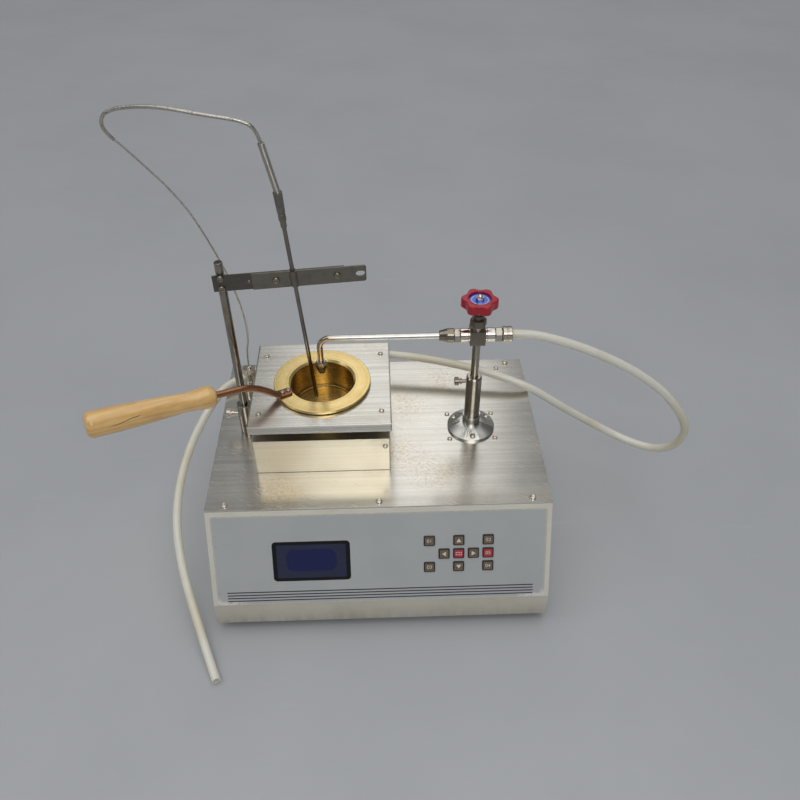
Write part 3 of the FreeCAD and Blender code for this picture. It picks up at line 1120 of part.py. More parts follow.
def make_jet_base():
    """The jet flange, the sweeping sleeve with its spindle, its clamp screw and the motor."""
    cone = CASE_TOP + FLANGE_CONE_RISE
    collar = CASE_TOP + FLANGE_COLLAR_RISE
    edge = CASE_TOP + FLANGE_EDGE_T
    profile = [(0, CASE_TOP), (FLANGE_R, CASE_TOP), (FLANGE_R, edge), (FLANGE_CONE_TOP_R, cone),
               (FLANGE_COLLAR_R, cone), (FLANGE_COLLAR_R, collar), (0, collar)]
    flange = moved(turned(profile), JET_X, JET_Y, 0)
    cuts = [disc(JET_X, JET_Y, CASE_TOP - OVERRUN, collar + OVERRUN, SPINDLE_R + RUN_CLEAR)]
    for x, y in flange_screw_places():
        cuts.append(disc(x, y, CASE_TOP - OVERRUN, collar, SMALL_R + RUN_CLEAR))
        cuts.append(disc(x, y, CASE_TOP + FLANGE_SEAT_RISE, collar, FLANGE_SEAT_R))
    write("jet_flange", [flange.cut(cuts)])
    top = CASE_TOP + SLEEVE_TOP
    foot = PLATE_UNDER - SPINDLE_DOWN
    profile = [(0, foot), (SPINDLE_R, foot), (SPINDLE_R, collar), (SLEEVE_OUT_R, collar),
               (SLEEVE_OUT_R, top - SLEEVE_EDGE), (SLEEVE_OUT_R - SLEEVE_EDGE, top), (0, top)]
    sleeve = moved(turned(profile), JET_X, JET_Y, 0)
    thumb_base = V(JET_X - SLEEVE_OUT_R, JET_Y, CASE_TOP + SLEEVE_THUMB_RISE)
    cross = Part.makeCylinder(THUMB_R + RUN_CLEAR, SLEEVE_OUT_R + OVERRUN, thumb_base + LEFT * OVERRUN, RIGHT)
    bore = disc(JET_X, JET_Y, CASE_TOP + SLEEVE_FLOOR, top + OVERRUN, POST_R + RUN_CLEAR)
    write("sweep_sleeve", [sleeve.cut([bore, cross])])
    tip_l = SLEEVE_OUT_R - POST_R - THUMB_TIP_GAP
    write("sleeve_clamp_screw", [aimed(thumb_screw(tip_l), thumb_base, LEFT)])
    under = PLATE_UNDER - MOTOR_PLATE_T
    plate = box(JET_X - MOTOR_PLATE_W / 2, JET_X + MOTOR_PLATE_W / 2, JET_Y - MOTOR_PLATE_D / 2,
                JET_Y + MOTOR_PLATE_D / 2, under, PLATE_UNDER)
    gearbox = disc(JET_X, JET_Y, under - GEARBOX_H, under, GEARBOX_R)
    motor = disc(JET_X, JET_Y, under - GEARBOX_H - MOTOR_H, under - GEARBOX_H, MOTOR_R)
    cuts = [disc(JET_X, JET_Y, foot - OVERRUN, PLATE_UNDER + OVERRUN, SPINDLE_R + RUN_CLEAR)]
    for x, y in motor_screw_places() + flange_screw_places():
        cuts.append(disc(x, y, under - SMALL_L, PLATE_UNDER + OVERRUN, SMALL_R + RUN_CLEAR))
    write("sweep_motor", [fused(plate, [gearbox, motor]).cut(cuts)])


def make_valve():
    """The needle valve on its post, with its fittings, jet tube, nozzle and hand wheel."""
    centre = CASE_TOP + VALVE_RISE
    block_low = centre - VALVE_BLOCK_H / 2
    half = VALVE_BLOCK_W / 2
    write("valve_post", [disc(JET_X, JET_Y, CASE_TOP + VALVE_POST_FOOT, block_low, POST_R)])
    block = box(JET_X - half, JET_X + half, JET_Y - half, JET_Y + half, block_low, BLOCK_TOP)
    block = block.makeChamfer(VALVE_CHAMFER, block.Edges)
    left_l = VALVE_ARM_LEFT
    right_l = VALVE_ARM_RIGHT
    arm_profile = [(0, 0), (VALVE_ARM_R - VALVE_ARM_EDGE, 0), (VALVE_ARM_R, VALVE_ARM_EDGE),
                   (VALVE_ARM_R, left_l + right_l - VALVE_ARM_EDGE),
                   (VALVE_ARM_R - VALVE_ARM_EDGE, left_l + right_l), (0, left_l + right_l)]
    arms = aimed(turned(arm_profile), V(JET_X - left_l, JET_Y, centre), RIGHT)
    neck = disc(JET_X, JET_Y, centre, BLOCK_TOP + VALVE_NECK_H, VALVE_NECK_R)
    stem_foot = BLOCK_TOP - STEM_FOOT
    bore = Part.makeCylinder(VALVE_BORE_R, left_l + right_l, V(JET_X - left_l, JET_Y, centre), RIGHT)
    tube_bore = Part.makeCylinder(JET_TUBE_R + RUN_CLEAR, LEFT_HEX_L, V(JET_X - left_l, JET_Y, centre), RIGHT)
    stem_bore = disc(JET_X, JET_Y, stem_foot, BLOCK_TOP + 2 * VALVE_NECK_H, STEM_R + STEM_GAP)
    body = fused(block, [arms, neck]).cut([bore, tube_bore, stem_bore])
    write("valve_body", [body])
    fittings = []
    bonnet_low = BLOCK_TOP + VALVE_NECK_H
    bonnet = moved(hexagon(BONNET_FLATS, BONNET_H), JET_X, JET_Y, bonnet_low)
    packing = disc(JET_X, JET_Y, BONNET_TOP, BONNET_TOP + PACKING_H, PACKING_R)
    stem_run = disc(JET_X, JET_Y, bonnet_low - OVERRUN, BONNET_TOP + PACKING_H + OVERRUN, STEM_R + STEM_GAP)
    fittings.append(fused(bonnet, [packing]).cut(stem_run))
    tube_r = JET_TUBE_R + RUN_CLEAR
    hex_x = JET_X - left_l
    tube_run = Part.makeCylinder(tube_r, TAPER_NUT_L + LEFT_HEX_L + 2 * OVERRUN, V(
        hex_x + OVERRUN, JET_Y, centre), LEFT)
    hex_nut = aimed(hexagon(LEFT_HEX_FLATS, LEFT_HEX_L), V(hex_x, JET_Y, centre), LEFT)
    fittings.append(hex_nut.cut(tube_run))
    taper = turned([(0, 0), (TAPER_NUT_R, 0), (TAPER_NUT_R, TAPER_NUT_L * TAPER_SHARE),
                    (TAPER_NUT_END_R, TAPER_NUT_L), (0, TAPER_NUT_L)])
    fittings.append(aimed(taper, V(hex_x - LEFT_HEX_L, JET_Y, centre), LEFT).cut(tube_run))
    nut_x = JET_X + right_l
    hose_run = Part.makeCylinder(HOSE_BORE_R, RIGHT_NUT_L + HOSE_NUT_L / 2, V(nut_x, JET_Y, centre), RIGHT)
    nut = aimed(hexagon(RIGHT_NUT_FLATS, RIGHT_NUT_L), V(nut_x, JET_Y, centre), RIGHT)
    fittings.append(nut.cut(hose_run))
    hose_nut = turned([(0, 0), (HOSE_NUT_R - HOSE_NUT_EDGE, 0), (HOSE_NUT_R, HOSE_NUT_EDGE),
                       (HOSE_NUT_R, HOSE_NUT_L - HOSE_NUT_EDGE), (HOSE_NUT_R - HOSE_NUT_EDGE, HOSE_NUT_L),
                       (0, HOSE_NUT_L)])
    fittings.append(aimed(hose_nut, V(nut_x + RIGHT_NUT_L, JET_Y, centre), RIGHT).cut(hose_run))
    write("valve_fittings", fittings)
    make_jet(centre, hex_x)
    make_wheel(stem_foot)
    write("hose_start", [cord_tube("hose_start", HOSE_START_ROUTE, HOSE_DIA)])
    write("gas_hose", [cord_tube("gas_hose", HOSE_ROUTE, HOSE_DIA)])


def make_jet(centre, hex_x):
    """The bent jet tube and the nozzle at its end."""
    end_x = JET_X - JET_REACH
    corner = V(end_x, JET_Y, centre)
    diagonal = JET_BEND_R * (1 - math.cos(math.pi / 4))
    first = corner + V(JET_BEND_R, 0, 0)
    last = corner - V(0, 0, JET_BEND_R)
    middle = corner + V(diagonal, 0, -diagonal)
    path = Part.Wire([
        Part.LineSegment(V(hex_x + LEFT_HEX_L - RUN_CLEAR, JET_Y, centre), first).toShape(),
        Part.Arc(first, middle, last).toShape(),
        Part.LineSegment(last, corner - V(0, 0, JET_TUBE_DROP)).toShape()])
    start = V(hex_x + LEFT_HEX_L - RUN_CLEAR, JET_Y, centre)
    outer = path.makePipeShell([Part.Wire(Part.makeCircle(JET_TUBE_R, start, LEFT))], True, False)
    inner = path.makePipeShell([Part.Wire(Part.makeCircle(JET_TUBE_BORE_R, start, LEFT))], True, False)
    write("jet_tube", [outer.cut(inner)])
    low = CASE_TOP + NOZZLE_NUT_BOTTOM
    tube_end = centre - JET_TUBE_DROP
    nut = moved(hexagon(NOZZLE_FLATS, CASE_TOP + NOZZLE_NUT_TOP - low), end_x, JET_Y, low)
    tip = turned([(0, CASE_TOP + NOZZLE_TIP), (NOZZLE_TIP_R, CASE_TOP + NOZZLE_TIP),
                  (NOZZLE_SHOULDER_R, CASE_TOP + NOZZLE_SHOULDER), (NOZZLE_SHOULDER_R, low), (0, low)])
    nozzle = fused(nut, [moved(tip, end_x, JET_Y, 0)])
    cuts = [disc(end_x, JET_Y, tube_end - RUN_CLEAR, centre, JET_TUBE_R + RUN_CLEAR),
            disc(end_x, JET_Y, CASE_TOP + NOZZLE_TIP - OVERRUN, centre, NOZZLE_BORE_R)]
    write("nozzle", [nozzle.cut(cuts)])


def lobed_prism(height):
    """The hand wheel's outline of lobes joined by tangent hollows, as an upright prism."""
    step = math.tau / WHEEL_LOBES
    gap = math.hypot(WHEEL_LOBE_RING_R - WHEEL_SCOOP_RING_R * math.cos(step / 2),
                     WHEEL_SCOOP_RING_R * math.sin(step / 2))

    def polar(radius, angle):
        return V(radius * math.cos(angle), radius * math.sin(angle), 0)

    def touch(angle, scoop_angle):
        lobe = polar(WHEEL_LOBE_RING_R, angle)
        return lobe + (polar(WHEEL_SCOOP_RING_R, scoop_angle) - lobe) * (WHEEL_LOBE_R / gap)

    edges = []
    for i in range(WHEEL_LOBES):
        angle = i * step
        before = touch(angle, angle - step / 2)
        after = touch(angle, angle + step / 2)
        crest = polar(WHEEL_LOBE_RING_R + WHEEL_LOBE_R, angle)
        edges.append(Part.Arc(before, crest, after).toShape())
        valley = polar(WHEEL_SCOOP_RING_R - gap + WHEEL_LOBE_R, angle + step / 2)
        following = touch(angle + step, angle + step / 2)
        edges.append(Part.Arc(after, valley, following).toShape())
    return Part.Face(Part.Wire(edges)).extrude(V(0, 0, height))


def make_wheel(stem_foot):
    """The valve stem with its dome nut, the lobed hand wheel and the round disc in it."""
    low = CASE_TOP + WHEEL_BOTTOM
    top = low + WHEEL_T
    floor = top - WHEEL_RECESS_H
    disc_top = floor + DISC_T
    profile = [(0, stem_foot), (STEM_R / 2, stem_foot), (STEM_R, stem_foot + STEM_R),
               (STEM_R, disc_top), (0, disc_top)]
    stem = moved(turned(profile), JET_X, JET_Y, 0)
    nut = moved(hexagon(NUT_FLATS, NUT_T), JET_X, JET_Y, disc_top)
    dome = Part.makeSphere(NUT_DOME_R, V(JET_X, JET_Y, disc_top + NUT_T), UP, 0, 90, FULL_TURN)
    write("valve_stem", [fused(stem, [nut, dome])])
    wheel = lobed_prism(WHEEL_T)
    rims = [edge for face in wheel.Faces if face.BoundBox.ZLength < RUN_CLEAR for edge in face.Edges]
    wheel = wheel.makeChamfer(WHEEL_EDGE, rims)
    hollow = disc(0, 0, -OVERRUN, WHEEL_T - WHEEL_RECESS_H - WHEEL_WEB_T, WHEEL_HOLLOW_R)
    hollow = hollow.cut(disc(0, 0, -OVERRUN, WHEEL_T, WHEEL_HUB_R))
    recess = disc(0, 0, WHEEL_T - WHEEL_RECESS_H, WHEEL_T + OVERRUN, WHEEL_RECESS_R)
    bore = disc(0, 0, -OVERRUN, WHEEL_T + OVERRUN, STEM_R + RUN_CLEAR)
    write("handwheel", [moved(wheel.cut([hollow, recess, bore]), JET_X, JET_Y, low)])
    plate = disc(JET_X, JET_Y, floor, disc_top, DISC_R)
    write("wheel_disc", [plate.cut(disc(JET_X, JET_Y, low, top, STEM_R + RUN_CLEAR))])


os.makedirs("parts", exist_ok=True)
make_case()
make_tray()
make_plate()
make_plate_screws()
make_feet()
make_front()
make_control_board()
make_inlet()
make_heater()
make_cup()
make_stand()
make_probe()
make_lead_socket()
make_jet_base()
make_valve()
print("origin", [round(c, 3) for c in ORIGIN])
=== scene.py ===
import json
import logging
import math
from dataclasses import dataclass
from enum import Enum
from typing import Any, Callable, Iterable, Optional, Sequence, Union

import bmesh
import bpy
import numpy as np
from mathutils import Matrix, Vector

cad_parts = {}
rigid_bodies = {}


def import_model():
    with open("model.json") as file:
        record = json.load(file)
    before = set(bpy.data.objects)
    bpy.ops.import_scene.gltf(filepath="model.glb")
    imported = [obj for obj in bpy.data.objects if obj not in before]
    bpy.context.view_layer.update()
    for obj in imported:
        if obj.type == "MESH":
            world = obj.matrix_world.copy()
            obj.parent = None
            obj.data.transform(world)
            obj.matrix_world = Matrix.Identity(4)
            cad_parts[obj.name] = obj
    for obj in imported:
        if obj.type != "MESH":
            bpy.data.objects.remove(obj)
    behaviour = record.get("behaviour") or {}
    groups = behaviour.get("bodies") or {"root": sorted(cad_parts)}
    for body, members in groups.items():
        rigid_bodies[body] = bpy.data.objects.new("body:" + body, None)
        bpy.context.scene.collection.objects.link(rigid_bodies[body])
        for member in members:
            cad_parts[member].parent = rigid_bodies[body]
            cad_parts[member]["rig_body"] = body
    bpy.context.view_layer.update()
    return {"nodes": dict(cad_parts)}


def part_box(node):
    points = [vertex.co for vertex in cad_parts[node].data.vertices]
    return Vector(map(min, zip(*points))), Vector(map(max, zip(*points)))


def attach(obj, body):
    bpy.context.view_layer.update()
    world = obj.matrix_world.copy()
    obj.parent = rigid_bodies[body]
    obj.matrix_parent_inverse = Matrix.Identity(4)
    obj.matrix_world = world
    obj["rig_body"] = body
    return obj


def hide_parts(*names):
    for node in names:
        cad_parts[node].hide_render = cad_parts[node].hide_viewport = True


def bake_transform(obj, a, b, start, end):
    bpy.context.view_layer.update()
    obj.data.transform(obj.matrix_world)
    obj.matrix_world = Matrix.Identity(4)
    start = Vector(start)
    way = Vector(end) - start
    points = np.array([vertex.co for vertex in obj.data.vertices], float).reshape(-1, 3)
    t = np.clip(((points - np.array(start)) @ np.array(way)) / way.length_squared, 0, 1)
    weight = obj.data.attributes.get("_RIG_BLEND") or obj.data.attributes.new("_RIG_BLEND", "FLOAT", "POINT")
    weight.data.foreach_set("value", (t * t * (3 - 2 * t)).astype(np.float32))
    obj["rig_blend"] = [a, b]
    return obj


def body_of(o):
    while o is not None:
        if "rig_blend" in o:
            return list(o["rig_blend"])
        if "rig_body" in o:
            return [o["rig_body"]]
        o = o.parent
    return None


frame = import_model()
MM = 0.001
EPSILON = 1e-7
TURN = math.tau
HEX_SIDES = 6
ROUND_STEPS = 4
BEVEL_STEPS = 3
# How far the corners of turned pieces are rounded, from barely broken to plainly round.
HAIR, FINE, EDGE, FULL, BOLD = [width * MM for width in (0.1, 0.2, 0.3, 0.4, 0.6)]
SHARP = math.radians(30)
RIGHT = Vector((1, 0, 0))
BACK = Vector((0, 1, 0))
UP = Vector((0, 0, 1))

log = logging.getLogger("flash_point_tester")
Mesh = bpy.types.Mesh
Work = bmesh.types.BMesh
Triple = tuple[float, float, float]
Profile = Sequence[tuple[float, float]]


def tint(red: int, green: int, blue: int) -> Triple:
    """A colour given as a screen shows it, from 0 to 255, turned to light values.

    Args:
        red, green, blue: the screen's values.

    Returns:
        The three light values.
    """
    def light(value: int) -> float:
        """The light of one value."""
        share = value / 255
        return share / 12.92 if share <= 0.04045 else ((share + 0.055) / 1.055) ** 2.4

    return light(red), light(green), light(blue)


class Layout:
    """Places on the tester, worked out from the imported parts."""

    def __init__(self) -> None:
        """Reads the top plate, whose front middle is the datum of every place."""
        low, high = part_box("top_plate")
        self.middle = (low.x + high.x) / 2
        self.front = low.y
        self.top = high.z

    def at(self, across: float, back: float, rise: float) -> Vector:
        """The point at a place measured from the plate's front middle, in metres."""
        return Vector((self.middle + across, self.front + back, self.top + rise))

    def centre(self, node: str) -> Vector:
        """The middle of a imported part's box."""
        low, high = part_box(node)
        return (low + high) / 2


@dataclass
class SlopedPanel:
    """The sloped front of the case, and what is laid out on it, measured from its top edge."""

    run: float = 42.6 * MM
    drop: float = 100.1 * MM
    under: float = 1.5 * MM
    width: float = 330.0 * MM
    label_inset: float = 5.0 * MM
    label_thick: float = 0.5 * MM
    corner: float = 3.0 * MM
    window_x: float = -68.6 * MM
    window_down: float = 56.1 * MM
    key_width: float = 10.9 * MM
    key_proud: float = 1.0 * MM

    def __post_init__(self) -> None:
        """Works out the slope's own directions."""
        self.slope = math.hypot(self.run, self.drop)
        self.height = self.slope - 2 * self.label_inset
        self.up = Vector((0, self.run, self.drop)).normalized()
        self.out = RIGHT.cross(self.up)
        self.origin = PLACES.at(0, 0, -self.under)

    def matrix(self, across: float = 0.0, up: float = 0.0, out: float = 0.0) -> Matrix:
        """The place of a piece drawn flat: X across, Y up the slope, Z out of it."""
        place = self.origin + RIGHT * across + self.up * up + self.out * out
        return Matrix.Translation(place) @ Matrix((RIGHT, self.up, self.out)).transposed().to_4x4()


PLACES = Layout()
PANEL = SlopedPanel()


class Signal:
    """One output of a shader tree, with the arithmetic that the finishes use."""

    def __init__(self, sheet: "ShaderSheet", socket: bpy.types.NodeSocket) -> None:
        """Wraps a socket of the sheet's tree."""
        self.sheet = sheet
        self.socket = socket

    def __add__(self, other: "Value") -> "Signal":
        """This plus the other."""
        return self.sheet.math("ADD", self, other)

    __radd__ = __add__

    def __sub__(self, other: "Value") -> "Signal":
        """This less the other."""
        return self.sheet.math("SUBTRACT", self, other)

    def __rsub__(self, other: "Value") -> "Signal":
        """The other less this."""
        return self.sheet.math("SUBTRACT", other, self)

    def __mul__(self, other: "Value") -> "Signal":
        """This times the other."""
        return self.sheet.math("MULTIPLY", self, other)

    __rmul__ = __mul__

    def call(self, operation: str, other: "Value" = 0.0) -> "Signal":
        """Any other Math operation on this and a second value."""
        return self.sheet.math(operation, self, other)

    def rise(self, low: float, high: float) -> "Signal":
        """A smooth step from 0 at low to 1 at high; with low above high it falls."""
        step = self.sheet.read("MapRange", "Result",
            {"Value": self, "From Min": min(low, high), "From Max": max(low, high)},
            interpolation_type="SMOOTHSTEP")
        return step if low < high else 1.0 - step


Value = Union[float, Signal]


def add_node(tree: bpy.types.NodeTree, kind: str, inputs: Optional[dict] = None,
        **settings: Any) -> bpy.types.Node:
    """Adds a node to a tree.

    Args:
        tree: the tree.
        kind: the node's type.
        inputs: values of its sockets, or the sockets that feed them, by name or number.
        settings: its own settings, which are set first.

    Returns:
        The node.
    """
    made = tree.nodes.new(kind)
    for key, value in settings.items():
        setattr(made, key, value)
    for key, value in (inputs or {}).items():
        socket = made.inputs[key]
        if isinstance(value, bpy.types.NodeSocket):
            tree.links.new(value, socket)
        else:
            socket.default_value = (*value, 1.0) if socket.type == "RGBA" else value
    return made


class ShaderSheet:
    """One material's node tree, built by expressions."""

    def __init__(self, name: str) -> None:
        """Makes an empty material.

        Args:
            name: the material's name.
        """
        self.material = bpy.data.materials.new(name)
        self.material.use_nodes = True
        self.tree = self.material.node_tree
        self.tree.nodes.clear()

    def node(self, kind: str, inputs: Optional[dict] = None, **settings: Any) -> bpy.types.Node:
        """Adds a shader node, whose inputs may be signals too."""
        linked_inputs = {key: getattr(value, "socket", value) for key, value in (inputs or {}).items()}
        return add_node(self.tree, "ShaderNode" + kind, linked_inputs, **settings)

    def read(self, kind: str, output: Union[int, str] = 0, inputs: Optional[dict] = None,
            **settings: Any) -> Signal:
        """Adds a node, as above, and gives one of its outputs."""
        return Signal(self, self.node(kind, inputs, **settings).outputs[output])

    def math(self, operation: str, first: Value, second: Value = 0.0) -> Signal:
        """One Math node's result."""
        return self.read("Math", 0, {0: first, 1: second}, operation=operation)

    def with_vector(self, operation: str, output: str, first: Signal, second: Vector) -> Signal:
        """One Vector Math node's result from a signal and a fixed vector."""
        return self.read("VectorMath", output, {0: first, 1: tuple(second)}, operation=operation)

    def position(self) -> Signal:
        """The point in the object's own coordinates, which are the row frame's."""
        return self.read("TexCoord", "Object")

    def unwrapped(self) -> Signal:
        """The point on the piece's own map."""
        return self.read("TexCoord", "UV")

    def split(self, vector: Signal) -> tuple[Signal, ...]:
        """The three parts of a vector."""
        return tuple(Signal(self, part) for part in self.node("SeparateXYZ", {0: vector}).outputs)

    def joined(self, x: Value, y: Value, z: Value) -> Signal:
        """A vector from three parts."""
        return self.read("CombineXYZ", 0, {0: x, 1: y, 2: z})

    def placed(self, vector: Signal, scale: Triple, turn: Triple = (0, 0, 0)) -> Signal:
        """The vector turned, and then scaled."""
        turned_vector = self.read("Mapping", 0, {"Vector": vector, "Rotation": turn})
        return self.read("Mapping", 0, {"Vector": turned_vector, "Scale": scale})

    def noise(self, vector: Signal, scale: float, detail: float = 2.0, rough: float = 0.5) -> Signal:
        """Noise from 0 to 1, with so many lumps per metre, finer layers, and strength of these."""
        return self.read("TexNoise", 0, {"Vector": vector, "Scale": scale, "Detail": detail,
            "Roughness": rough})

    def mix(self, share: Value, first: Any, second: Any) -> Signal:
        """Two colours mixed by a share."""
        return self.read("Mix", 2, {0: share, 6: first, 7: second}, data_type="RGBA")

    def shifted(self, vector: Signal, origin: Vector) -> Signal:
        """The vector measured from a point."""
        return self.with_vector("SUBTRACT", "Vector", vector, origin)

    def distance(self, vector: Signal, origin: Vector) -> Signal:
        """How far a vector is from a point."""
        return self.with_vector("DISTANCE", "Value", vector, origin)

    def along(self, vector: Signal, origin: Vector, axis: Vector) -> Signal:
        """How far along an axis through a point a vector is."""
        return self.with_vector("DOT_PRODUCT", "Value", self.shifted(vector, origin), axis)

    def round_axis(self, vector: Signal, origin: Vector, axis: Vector) -> tuple[Signal, Signal]:
        """The distance from an axis through a point, and the distance along it.

        Args:
            vector: the point.
            origin, axis: a point on the axis, and its direction.

        Returns:
            The distance from the axis, and the distance along it.
        """
        along = self.along(vector, origin, axis)
        reach = self.distance(vector, origin)
        return (reach * reach - along * along).call("MAXIMUM", 0.0).call("SQRT"), along

    def on_panel(self, vector: Signal) -> tuple[Signal, Signal]:
        """The point on the sloped front: across it from the middle, and up it from its top edge."""
        return self.along(vector, PANEL.origin, RIGHT), self.along(vector, PANEL.origin, PANEL.up)

    def rounded_box(self, x: Signal, y: Signal, half_x: float, half_y: float, corner: float) -> Signal:
        """The distance outside a rounded rectangle, which is negative inside it.

        Args:
            x, y: the point from the rectangle's middle.
            half_x, half_y: half of its width and height.
            corner: its corner radius.

        Returns:
            The distance.
        """
        past_x = x.call("ABSOLUTE") - (half_x - corner)
        past_y = y.call("ABSOLUTE") - (half_y - corner)
        out_x = past_x.call("MAXIMUM", 0.0)
        out_y = past_y.call("MAXIMUM", 0.0)
        inside = past_x.call("MAXIMUM", past_y).call("MINIMUM", 0.0)
        return (out_x * out_x + out_y * out_y).call("SQRT") + inside - corner

    def bump(self, height: Signal, depth: float, under: Optional[Signal] = None) -> Signal:
        """A normal from a height.

        Args:
            height: from 0 to 1.
            depth: metres between height 0 and 1.
            under: a normal that it is laid over.

        Returns:
            The bumped normal.
        """
        inputs = {"Height": height, "Distance": depth}
        if under is not None:
            inputs["Normal"] = under
        return self.read("Bump", 0, inputs)

    def shade(self, **inputs: Any) -> None:
        """Ends the tree with the main shader, whose sockets' names have underscores for spaces here."""
        shader = self.node("BsdfPrincipled", {key.replace("_", " "): value for key, value in inputs.items()})
        self.tree.links.new(shader.outputs[0], self.node("OutputMaterial").inputs[0])


class Grain(Enum):
    """How fast brush lines change along each direction, per metre."""

    ACROSS = (5.0, 1500.0, 1500.0)
    LEVEL = (5.0, 5.0, 1500.0)
    UPRIGHT = (900.0, 900.0, 5.0)


@dataclass(frozen=True)
class Finish:
    """What every finish has: a name, and the record's slot that it stands for."""

    name: str
    slot: str

    def build(self, sheet: ShaderSheet) -> None:
        """Fills the sheet. Each finish has its own.

        Args:
            sheet: the material's sheet.
        """
        raise NotImplementedError

    def material(self) -> bpy.types.Material:
        """The finish's material, made once.

        Returns:
            The material.
        """
        full_name = "look_" + self.name
        known = bpy.data.materials.get(full_name)
        if known is None:
            sheet = ShaderSheet(full_name)
            self.build(sheet)
            known = sheet.material
        return known


@dataclass(frozen=True)
class BrushedSteel(Finish):
    """Sheet steel with fine brush lines, cloudy wear and heat stains, with painted shade and a painted
    highlight along a folded part's top, and a painted shadow line along a part's foot.
    """

    colour: Triple = (0.74, 0.72, 0.66)
    dull: Triple = (0.60, 0.575, 0.52)
    stain: Triple = (0.50, 0.36, 0.19)
    grain: Grain = Grain.ACROSS
    rough: float = 0.30
    line_depth: float = 0.010 * MM
    stain_places: tuple[Triple, ...] = ()
    stain_reach: float = 42.0 * MM
    stain_share: float = 0.55
    painted_fold_node: str = ""
    painted_shade_tone: Triple = (0.16, 0.15, 0.14)
    painted_highlight_tone: Triple = (0.96, 0.95, 0.92)
    painted_foot_shadow_node: str = ""

    def build(self, sheet: ShaderSheet) -> None:
        """Brush lines, clouds, handling marks and stains, with painted shade, a painted highlight and a
        painted shadow line where asked.

        Args:
            sheet: the material's sheet.
        """
        place = sheet.position()
        lines = sheet.noise(sheet.placed(place, self.grain.value), 1.0, 3.0, 0.7)
        coarse = sheet.noise(sheet.placed(place, tuple(s * 0.2 for s in self.grain.value)), 1.0, 2.0)
        clouds = sheet.noise(place, 14.0, 4.0, 0.6)
        spots = sheet.noise(place, 330.0, 6.0, 0.8)
        scratches = sheet.noise(sheet.placed(place, (40.0, 900.0, 900.0), (0.0, 0.0, 0.5)), 1.0,
            2.0).rise(0.68, 0.74)
        metal = sheet.mix((coarse * 0.5 + lines * 0.5).rise(0.3, 0.7), self.dull, self.colour)
        worn = sheet.mix(clouds.rise(0.45, 0.75) * 0.35, metal, self.dull)
        for spot in self.stain_places:
            reach = sheet.distance(place, PLACES.at(*spot)).rise(self.stain_reach, 0.0)
            patch = reach * (spots.rise(0.46, 0.62) * 0.8 + clouds.rise(0.4, 0.8) * 0.3) * self.stain_share
            worn = sheet.mix(patch, worn, self.stain)
        # Painted shade along the tops of the side folds, and a painted highlight along the top of the front
        # fold.
        if self.painted_fold_node:
            low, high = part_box(self.painted_fold_node)
            x, y, z = sheet.split(place)
            top = z.rise(high.z - 2.0 * MM, high.z - 1.2 * MM)
            sides = (x - (low.x + high.x) / 2).call("ABSOLUTE").rise((high.x - low.x) / 2 - 1.6 * MM,
                (high.x - low.x) / 2 - 1.0 * MM)
            worn = sheet.mix(sides * top * 0.8, worn, self.painted_shade_tone)
            worn = sheet.mix(y.rise(low.y + 1.4 * MM, low.y + 0.8 * MM) * top * 0.7, worn, self.painted_highlight_tone)
        # A painted contact shadow line along the part's foot, where it meets the plate.
        if self.painted_foot_shadow_node:
            low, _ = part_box(self.painted_foot_shadow_node)
            foot = sheet.split(place)[2].rise(low.z + 1.0 * MM, low.z + 0.6 * MM)
            worn = sheet.mix(foot * 0.85, worn, self.painted_shade_tone)
        rough = lines * 0.12 + clouds * 0.14 + scratches * 0.10 + (self.rough - 0.13)
        sheet.shade(Base_Color=worn, Metallic=1.0, Roughness=rough,
            Normal=sheet.bump(lines * 0.6 + coarse * 0.6, self.line_depth))


